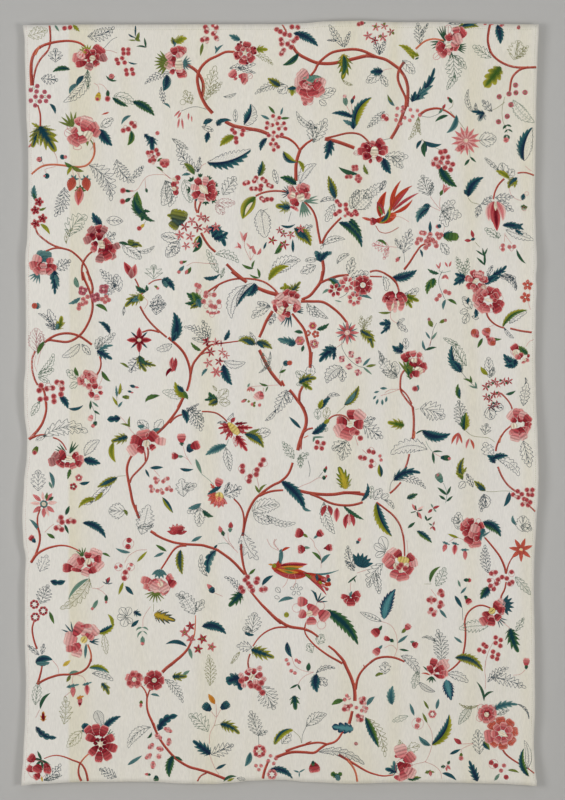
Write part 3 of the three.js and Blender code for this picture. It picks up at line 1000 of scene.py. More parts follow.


# The design, read off the photograph, in centimetres from the middle of the top edge: across,
# then down. A leaf or petal has its foot, its tip, its width as a part of its length, and its bend.
# Dots have their radius, then their places. A fan has its foot, length, first and last angle, number
# and width. A ring or star has its middle, two radii, number, turn and width.
chart = []
chart.append("""
stem coral 5 5 -63.7 0 -63.4 3 -63.5 5.5 -64.2 7.5 -66 9.5 -67.3 12 -68 15 -68.2 17; 9 5 -68.5 17 -68.7
 13 -68.5 10 -67.5 7.5 -65.5 6 -63 5.2 -60.5 4.8 -58 4.7 -55.5 5.2 -53.8 6.3
stem apricot 5 4 -67.6 8.6 -66.3 6
stem coral 4 5 -66.9 22.3 -66.2 25 -66.2 28.8; 4 5 -67.6 31 -68.5 33 -69.8 33.8
stem rosy 1 1 -48.8 7.3 -47 7.3 -45 8
stem slate 1 1 -48.6 6.6 -46.6 4.4 -45 3.6
stem rosy 1 1 -50 19 -50.3 17 -51.5 16.3; 1 1 -47.7 18.4 -49 16.8 -50.2 16.5
stem olive 3 3 -53.1 31 -51.7 33 -51.3 35.5
lobed straw -69.5 3.4 -64.2 1.6 .7 0
smooth sage -62.2 .3 -61 2.1 .3 0
dots crimson .5 -59.5 1.2 -58 1
tooth lime -57.2 .3 -55.4 2.1 .5 0
plume slateSeed -53.2 3.4 -45.8 .8 .5 .1
smooth navy -40 .3 -40.1 3.6 .16 0 -42 2.7 -40 3.7 .22 .1
smooth olive -39.7 4.6 -39 2.2 .4 0 -40 4.5 -42 4.4 .22 0 -40.2 3.8 -38.7 4.8 .5 0
smooth pine -37.1 6.5 -37.6 3.7 .22 0 -37.1 6.5 -39.8 6.2 .2 .1
plume slate -62 10.6 -62 6.7 1.1 0
tooth pine -58 12.6 -62.8 13.3 .34 .15
plume slate -66 15 -61.3 15.5 .7 0
round crimson -51.4 9 -49.5 6.5 .9 0 -51.9 9 -52.2 7.2 1 0 -52.3 9.2 -54.4 7.9 .9 0 -51.3 9.5 -49.9 9 1 0
 -51.5 10 -50.5 11.4 .9 0 -52.3 10 -53.4 10.2 1 0
round rose -54 9.8 -57 9.2 .7 0
round crimson -53.3 10.6 -56.2 11.2 .5 0
round blush -54 9.6 -55.6 8 .7 0
round dusty -50 9.9 -48.2 9 .9 0 -52.3 10.6 -53 12.4 .9 0
dots cream .8 -51.8 9.4
fan lime -53.4 8 2.4 60 175 6 .25
smooth navy -54.2 14.3 -56.2 17.2 .4 .1
smooth teal -56 16.6 -58.1 19.3 .35 .2
tooth grey -53.2 12.8 -59.8 21.5 .3 -.15
plume mint -53.2 12.6 -53 18 .35 0
dots rose .75 -46.6 14.4
fan pine -47 15.6 1.8 0 130 4 .3
dots crimson .48 -43.4 7 -42 7 -43.3 8.1 -42 8.1 -45.2 9.8 -43.7 9.4 -44.8 10.8 -43 10.6 -42.6 12.7 -41
 12.5 -42.4 13.8 -40.7 13.7
smooth navy -42 10.4 -39.5 10.9 .2 .1
round mustard -50 18.8 -50.5 20.9 .55 0
dots crimson .35 -50.5 20.7
smooth pine -47.6 18.2 -47.7 20.4 .5 0
dots crimson .6 -47.7 20.6
tooth pine -46.4 20.2 -42 22.7 .3 .05 -40.8 21.4 -34.8 25.3 .38 -.1
frill mint -46 19.8 -40.4 22 .5 -.1
dots berry .65 -67 17.1 -68.8 18.2 -67.2 18.6 -65 18.7 -67.5 20 -65.8 20 -63.8 20 -68.8 21.1 -66.3 21.3
 -64.6 21.2 -67.6 22.4
dots straw .4 -68 17.6 -67.2 21.2 -64.9 20
smooth navy -63.6 22 -62.1 24.8 .32 -.15
spiky lime -66.3 28.6 -68.6 27.2 .5 0 -66 29.5 -62 31 .5 0
fan olive -57.2 28.3 4.3 78 160 5 .16
round rose -55 28 -56 26 .8 0 -54.8 27.6 -54.6 25.8 .8 0
round blush -54 28.6 -53.2 25.8 .9 0
round rose -54.4 29.8 -53 26.9 .8 0 -53.6 29.6 -50.6 27.9 .6 0 -52.4 29 -50.2 30.4 .7 0
round cream -54.4 30 -52.3 31.2 .9 0
round rose -56 30 -57.3 29 1 0 -55.6 30.4 -58.2 32.2 .6 0 -55.4 31 -56.8 33.3 .7 0
 -55 30.6 -54.4 32.6 .9 0
round rosyLine -57.2 30.6 -59.4 29.4 1 0 -57 29.4 -58.6 27.8 .8 0 -56 33 -56 34.6 1.6 0
smooth olive -53.4 31 -53.2 33.6 .35 0
smooth coral -47.3 24.3 -49.3 24.9 .25 0
tooth navy -50 28.9 -46.4 33.5 .55 .05
frill grey -49.6 28.4 -46.2 26 .6 0
smooth teal -41.3 25.2 -43.9 27.7 .26 .15
dots crimson .55 -41.1 27.3 -40.3 28.1 -43.4 29.3 -42 28.9
dots rosyLine .5 -42.8 28.3 -40.2 27.2
smooth leaf -41.3 29.3 -42.3 33.4 .4 -.2
spiky navy -37.6 30.3 -35.2 32.5 .6 0 -35.6 31 -35.4 34.9 .9 0
stem coral 8 8 -26.8 11 -24.5 12 -22.8 13.5 -21.5 16 -21.4 18.5 -21.8 20.3; 6 9 -12.7 7.7 -15.2 7.7
 -17.5 8.8 -20 10 -22 12 -23 14.5 -22.8 17 -22 19.8 -20.6 22.5 -18.8 24.6; 9 9 -15.4 26.8 -13 28 -9.5
 28.7 -6 29.3 -3.4 30.3
stem rosy 1 1 -8.3 29.4 -10 29.6 -12 29
tooth lime -29.2 5.2 -25.8 4 .75 -.1
tooth limeDark -29.3 5.7 -30 3.6 .8 0
smooth teal -28.9 5 -29.5 6.3 .4 0
round crimson -29.2 8.3 -27.4 6.3 .9 .3 -29 8.6 -29.6 6.6 .8 0
round pink -29 9 -27.3 8.3 .6 0 -30 10 -31.2 8.2 .7 0
round crimson -29.4 8.8 -29.8 11.6 .5 0
round pink -30.2 10 -31.4 12 .7 0
round crimson -29.4 12.4 -30.2 13.6 .8 0 -28.8 12.6 -27.2 14.7 .8 -.2
round pink -29.2 12.6 -27.2 12.8 .5 0
round cream -28.2 9.2 -28 12.4 .5 0
fan olive -31 10.6 4 125 240 8 .18
fan teal -27 10.8 2.6 -72 60 7 .16
smooth navy -31.4 14 -32.4 18.4 .55 -.1
plume slate -30.3 13.5 -37.5 16.5 .3 .1 -33 17.3 -32.2 22 .4 0
smooth teal -32.3 21.9 -30.5 23.2 .3 -.2
dots crimson .55 -20.8 .9 -20.5 2.1 -18.6 .3 -17.8 1 -18.6 2.7 -17.8 3.9 -21.6 4.4 -20.4 4.2
dots blush .45 -20.2 1.4 -18 .3 -18 2.2 -17.5 4.4 -21 3.8 -20.3 5
smooth olive -21.5 5.3 -22.2 8.8 .25 0
smooth teal -18.1 8.2 -15.8 5.7 .2 -.1 -17.5 7.5 -18.2 6 .35 0
lobed slate -14.2 12.2 -7 11 .3 0
tooth teal -11.2 4.5 -14.3 3 .55 0
spiky lime -6.8 7 -3.6 7 .8 0
plume straw -6.9 8.6 -2.2 11.3 .35 -.1
plume slate -12 12 -7 13.5 .3 0
round rose -12.4 14.6 -13.8 13.2 1 0 -12 14.8 -13 15.4 .8 0 -11.8 14.4 -9.4 14.4 .6 0 -11 15 -9.6 16 .9 0
round rosyLine -9.4 15 -8 13.8 .9 0
lobed straw -20.7 21 -18 11.5 .38 0
plume straw -20 19.5 -16.2 16 .5 0
tooth grey -15.9 20 -12.3 19 .25 .1
lobed straw -24.5 22 -26.5 18.3 .7 0
dots straw .8 -27 21.5 -25 21
smooth rose -27.8 23.8 -29.4 25.5 .25 0 -27.5 24.3 -28.5 26 .3 0 -28 26 -28.4 28.7 .22 0
 -27.3 26 -26.9 29 .2 0 -25.4 24.5 -25.5 26.4 .3 0 -24.6 25.3 -24.5 27 .25 0
stem grey 1 1 -20.5 23.5 -23 22.8 -25 23 -27.5 24
smooth teal -20.8 28 -21 26.3 .5 .4
smooth navy -18.8 26.4 -21.4 27.6 .5 .1
tooth navy -17.6 28 -16.4 26 .8 0
smooth navy -17.8 27.6 -13.6 26.6 .25 -.15
tooth navy -20 29.7 -20.6 32.7 .6 0
lobed grey -21.8 28.2 -18.6 29.4 .5 0
tooth navy/greyHatch -10.2 27.7 -8.4 22 .65 .35
frill grey -12.5 27 -12.6 23.5 .4 0
dots crimson .5 -13.4 29.1 -12.7 29.9 -10.4 29.2 -10.7 30.4 -12.4 31.4 -12.3 32.5
tooth lime -12.8 30.8 -16.8 33.7 .5 .1
dots rose .6 -34 30
lobed grey -30 31.5 -25.5 34.5 .3 0
tooth limeDark -.2 17.1 -3.7 14.9 .65 0
plume grey 1 16.6 -7.2 19.3 .3 .1
tooth navy -3.8 31.4 -5.6 34.9 .45 .15
smooth leaf -1.7 24.6 -3.5 22.5 .3 0
smooth teal -3.2 26.2 -5.6 25 .3 0
smooth leaf -.1 26 2.4 25.8 .3 0
smooth teal -.1 25 .5 22.9 .3 0
dots crimson .42 -3.8 27.2 -2.2 25.3 -.5 25.8 -2.4 27.8 -4 28.6 -1 27.4 .8 27.3 -.6 28.8 1.2 28.8 -2 29.8
 -3.4 30.6 -1 30.9 -2.2 31.8 -2.8 33 -1.4 33 -.8 33.8 -2 34.6 .2 30.4
dots blush .5 -3 27.9 -1.4 26.4 .1 28 -2.4 30.8 -2.1 33.6
stem coral 8 9 3 5.8 4.5 8 7 9.5 10 10.7 13.5 10.9 16.5 10.4 20 9.6 23.5 8.8 26 9; 6 8 8 14.4 9.3 12.8
 10.3 10.8 12.5 8.8 14.5 7.7 18 7.1 20.5 7 23 7.6 26 9 29 9.9 32.5 12.3; 4 4 .3 0 1.2 1.6 1.6 2.6; 7 6
 34 10.4 33 11.6 32.2 13.5 32.2 15.5 33.2 18 34.3 20.5 34.2 22.6; 8 8 32.5 12.3 34 14.5 34.8 17 34.9
 19.5 34.7 22.8; 8 8 34.3 22.6 33.2 25.5 32 28.5 30.2 31.6; 7 4 38.2 24.9 40 23.7 43 23.2 45.5 24 47.8
 25.8
stem apricot 5 4 37 6.9 38.5 5.5 40 4.5 42.3 4.1 44.8 4.6
stem coral 6 6 57.5 0 57 2.5 56.9 5 57.8 8 59.5 9.8 61.5 11 64 11.8 66.5 12 70.2 11.9; 6 5 68 11.9 66
 12.4 64.2 13.8 63.3 15.5 62.9 18.5; 7 5 -.5 30.8 2 31.5 4 33 5.2 34.8; 7 5 5.1 34.8 6.8 33 8.8 31.7;
 9 9 12 31.6 15.5 32.4 20.2 34.1; 5 5 12.4 31.4 15 30.8 18.5 30 21.5 30.3 23.4 31.7 24.6 33.2
stem grey 1 1 30 31.5 27.5 32
stem rosy 1 1 30.5 12.2 28.5 12.6 28 13
stem straw 1 1 47.2 20.8 47.2 22.5 46 23.5; 1 1 46.5 24 49 27 50.6 29.2; 1 1 61.5 20 60.8 23.5 61 26.5
 62.3 30; 1 1 57 24.2 59.5 23 61.5 21.5
dots crimson .55 0 4.3 .2 5.5 1 2.8 2.4 3.1 1.8 5.5 3 .8 4.6 .9 4.3 3.9 3.5 4.7 .7 7.2 .1 8.2 2.8 6.4
 -1.2 1.5 -.2 2.1
dots blush .35 .6 4.9 2.4 4.6 .3 7.7
tooth navy 3.4 2.5 10.2 6.2 .35 -.1
smooth pine 4.8 8 .4 11.3 .3 -.12
lobed slate 17 6.3 13.2 .2 .3 0
plume slate 17.3 6.5 19 2 .35 0 15.5 4.5 12.6 4.5 .3 0
dots crimson .45 21.4 .1 22.2 -.2
smooth pine 22 -.1 23.3 -.3 .5 0
plume slate 27 8.5 25.5 3.6 .4 0 27 8.5 28.8 4.2 .4 0
spiky crimson 27.6 3 26.6 3.8 .8 0
tooth lime 36.5 9.8 32.2 5.8 .34 .45
spiky lime 37.9 8.8 34.5 7.2 .5 0
tooth pine 36.9 9.7 37.9 9.2 .6 0
frill grey 33.4 10 36.7 13.6 .6 0
spiky limeMustard 17 8.3 16.8 15.3 .62 -.08
smooth pine 17.1 8.6 16.9 14.2 .26 -.1
tooth straw 16.8 15.3 19.7 16.8 .3 .1
tooth navy 28 13 24.5 13.2 .8 0
frill grey 27.6 13.5 23.4 16 .6 0
lobed grey 27.5 14 29.2 17.2 .6 0
dots rose .7 6.6 21.8
fan sage 8 14.5 3.2 -95 -5 5 .35
fan teal 8 14.5 3 135 165 3 .3
tooth lime 3.2 17 3 19.8 1 0
tooth navy 4.2 17.6 1.8 17.8 .5 0
frill grey 1.8 17 -.8 18.8 1 0 10.5 20 15 18 .6 0 10.5 21 12.4 22.3 .8 0
smooth sage 17.9 22.5 17.4 19.7 .5 0
dots pink .5 17.5 19.9
smooth navy 19.4 22 19.8 20.2 .55 0
smooth crimson 19.8 20.8 20.3 19.6 .55 0
stem rosy 1 1 18 22.5 18.6 23.6 19.7 25.8; 1 1 19.4 22 19.6 25
tooth navy/lime 20.5 28.4 25 20.2 .34 -.3
tooth navy 19.8 25.8 13.9 24.6 .28 .1
tooth teal 19.9 27.9 17 26.4 .45 0
tooth navy 19.9 29 19.7 25.9 .6 0
lobed grey 9 32.5 12.5 26 .5 0 9 32.6 8 26.5 .5 0
tooth grey 10 28.5 4.2 24 .25 -.2
spiky navy 13 32.5 13.4 35.5 1 0
round crimson 25 33 23 34.2 .9 0
smooth teal 31.2 22.5 29.4 19.5 .3 -.1
smooth olive 30.6 21.6 29.3 19.4 .2 -.1
plume grey 28.5 24 23.7 28.6 .35 0
dots crimson .5 28.2 25.4 29 26.1
dots rosyLine .5 28 26.2 29 25.2
dots rose .55 32 23.2 33.5 22.9 35.6 23.6 33.4 24 31.8 25.1 34 25.8 31.6 26.4 35.4 26.5 32.9 27.4 37.5
 23.8 38.2 25 36.2 25.4
plume straw 37.8 25.5 35 31.8 .3 -.1 37.8 25.5 38.5 30.5 .3 .1
lobed slate 46 -.2 50 -.6 .4 0
tooth limeDark 48.4 1.3 54.4 .8 .32 -.12
tooth navy 50 .6 54 -.2 .4 -.1
plume grey 38.2 5.5 37.6 -.5 .5 0 38.3 3.5 40.5 -.3 .3 0
round rosyLine 45.9 3.4 46 .2 .6 0
round crimson 46.8 4.6 45.8 3 .9 0 47.2 4.2 50.3 1.8 .6 0
round rose 48.4 2.8 48 1 .9 0
round pink 47 4.6 49.4 3.8 .9 0
round crimson 46.8 5.6 48.6 6.6 .9 0 46.3 6 46.8 7.4 .9 0
round pink 45.6 6.6 45.8 8.4 .8 0
round rose 45.4 7 43.8 8.6 .9 0
round crimson 45 6.8 43 5.6 .8 0 45 5.4 43.2 7.4 .6 0
round pink 47 6.4 48 5 .9 0
round cream 45.9 5 46.2 6.6 .7 0
dots crimson .7 46.1 4.1 45 8
round rosyLine 44 7.8 42 9.6 .7 0
fan pine 45.2 4.9 4.7 92 122 4 .09
fan pine 45 4.8 4.2 182 210 3 .13
fan pine 47.4 6.2 3.8 -32 12 5 .11
fan pine 46.6 7.4 2.4 -95 -70 2 .18
tooth navy 59.5 .2 60.3 5.5 .5 -.05
dots crimson .35 56.1 -.2 58 -.2 60.6 .3 65.3 1
dots dusty .35 61 .2 65.4 .7
lobed mint 57.8 9.3 52.7 6 .5 0
lobed straw 64 9.9 65.5 4.5 .9 0
plume straw 64.5 9.5 68 6 .5 0
lobed mint 47.3 8.6 47.8 16 .65 0 47.4 8.6 50.8 12.5 .35 -.1
tooth mint 48 14 45.6 18.1 .4 0
spiky navy 36.3 21 42.2 12 .28 .1
spiky teal 38 19.5 41 17.3 .5 0
spiky navy 36 21.4 37 18.5 .7 0
spiky teal 38 20 39.6 20.4 .6 0
lobed limeOlive 60.4 11.8 55.8 17.6 .58 0
tooth grey 53 24.5 51.5 18 .22 -.15
plume slate 53.5 24.3 53.5 21.8 .5 0
spiky slate 58 24.1 55.3 20.9 .6 0
spiky navy 55.5 24.5 54.3 26.8 1.5 0 56 24.6 52.5 24 .5 0
smooth crimson 46.3 20.9 45.8 20 .8 0
smooth pine 46.9 21.8 46.2 20.2 .6 0
smooth crimson 44.4 23.4 45.2 22 .5 0
smooth sage 43.4 24.6 44.6 23.2 .4 0
smooth pine 45.9 25.2 42.4 26.9 .26 .1
smooth teal 48.2 25 45.4 30 .28 -.2
stem grey 1 1 38.5 25.3 41 25.6 43.6 24.6
dots berry .75 64.5 16.8 62.7 19.2 64.6 18.9 67.1 18.8 60 20 63.2 22.2 62.2 25.4 59.8 26.9
dots straw .3 64.5 16.8 62.7 19.2 64.6 18.9 67.1 18.8 60 20 63.2 22.2 62.2 25.4 59.8 26.9
tooth mintRing 63.8 20.8 69.7 27 .42 .1
smooth pine 62.2 27.8 61 29 .4 .1 62 27.8 63.4 28.3 .4 -.1 62.3 29 61.4 29.9 .35 0
 62.3 29 63.7 29.8 .3 -.1 62.2 30.5 61.3 31.6 .5 .2 62.2 30.5 62.6 31.8 .5 -.2
dots rose .75 61.9 31.9
frill grey 54.4 32 59.2 31.5 .9 0
tooth navy/slateSeed 66.9 37.6 69.2 28.4 .5 -.1
smooth navy 38.7 32 37.3 34.4 .35 .1 39.2 32.2 44.2 33 .25 .15 39.4 32.4 40 35.2 .35 0
stem straw 1 1 38.5 31.6 41.5 33.5 44.5 35
dots crimson .5 43.9 35.2 45 35
ring crimson -9.9 8 .9 3 6 .3 .85
ring rose -9.9 8 .6 1.9 5 .8 .8
dots cream .55 -9.9 7.9
dots wine .35 -11.8 5.6 -11 5 -7.2 6.7 -7.1 8 -9.3 10.8 -12.4 9
round pink 7.4 15.4 5.2 13.2 .8 0 7.4 16.2 4.1 16 .7 0 8.8 15.8 11.7 16.9 .9 0
round rose 8.8 16.6 10.9 19.3 .8 0 7.4 16.8 5 19 .75 0 7.8 17.6 7 21.2 .7 0
round crimson 7.8 16.4 6.4 19.8 .75 0 8.2 16.4 9 19.6 .75 0 8.6 15.8 10.6 17.4 .8 0 7.3 15.8 5.4 17 .8 0
round pink 7.8 15.6 7 17.7 .9 0
round sage 8.3 14.4 5.9 15 .32 0 8.3 14.4 6.6 16.4 .36 0 8.3 14.4 7.6 17.2 .36 0 8.3 14.4 8.9 17 .36 0
 8.3 14.4 10.2 15.9 .34 0 8.3 14.4 11 14.7 .3 0
round rosyLine 7.8 20 7.6 22.3 1 0
star rose 26.1 .9 .1 1.3 5 .2 .42
star rose 23.9 3.3 .1 1.4 5 .5 .42
star crimson 25.7 4.5 .1 1.2 5 0 .42
star rose 28 3.6 .1 1.4 5 .3 .42
star crimson 30.2 2.2 .1 1.2 5 .6 .42
star rose 28.4 .6 .1 1.2 5 .1 .42
dots olive .35 25.9 .7 28.4 0 30.8 2.5 27.3 3.4
spiky limeDark -66.6 28.6 -68.4 34 .75 0 -66.4 28.2 -61.9 35.2 .78 0
star rose 50.8 32.1 .4 4.1 13 0 .23
star pink 50.8 32.1 .4 3 13 .24 .2
dots cream .6 50.8 32.1
""")
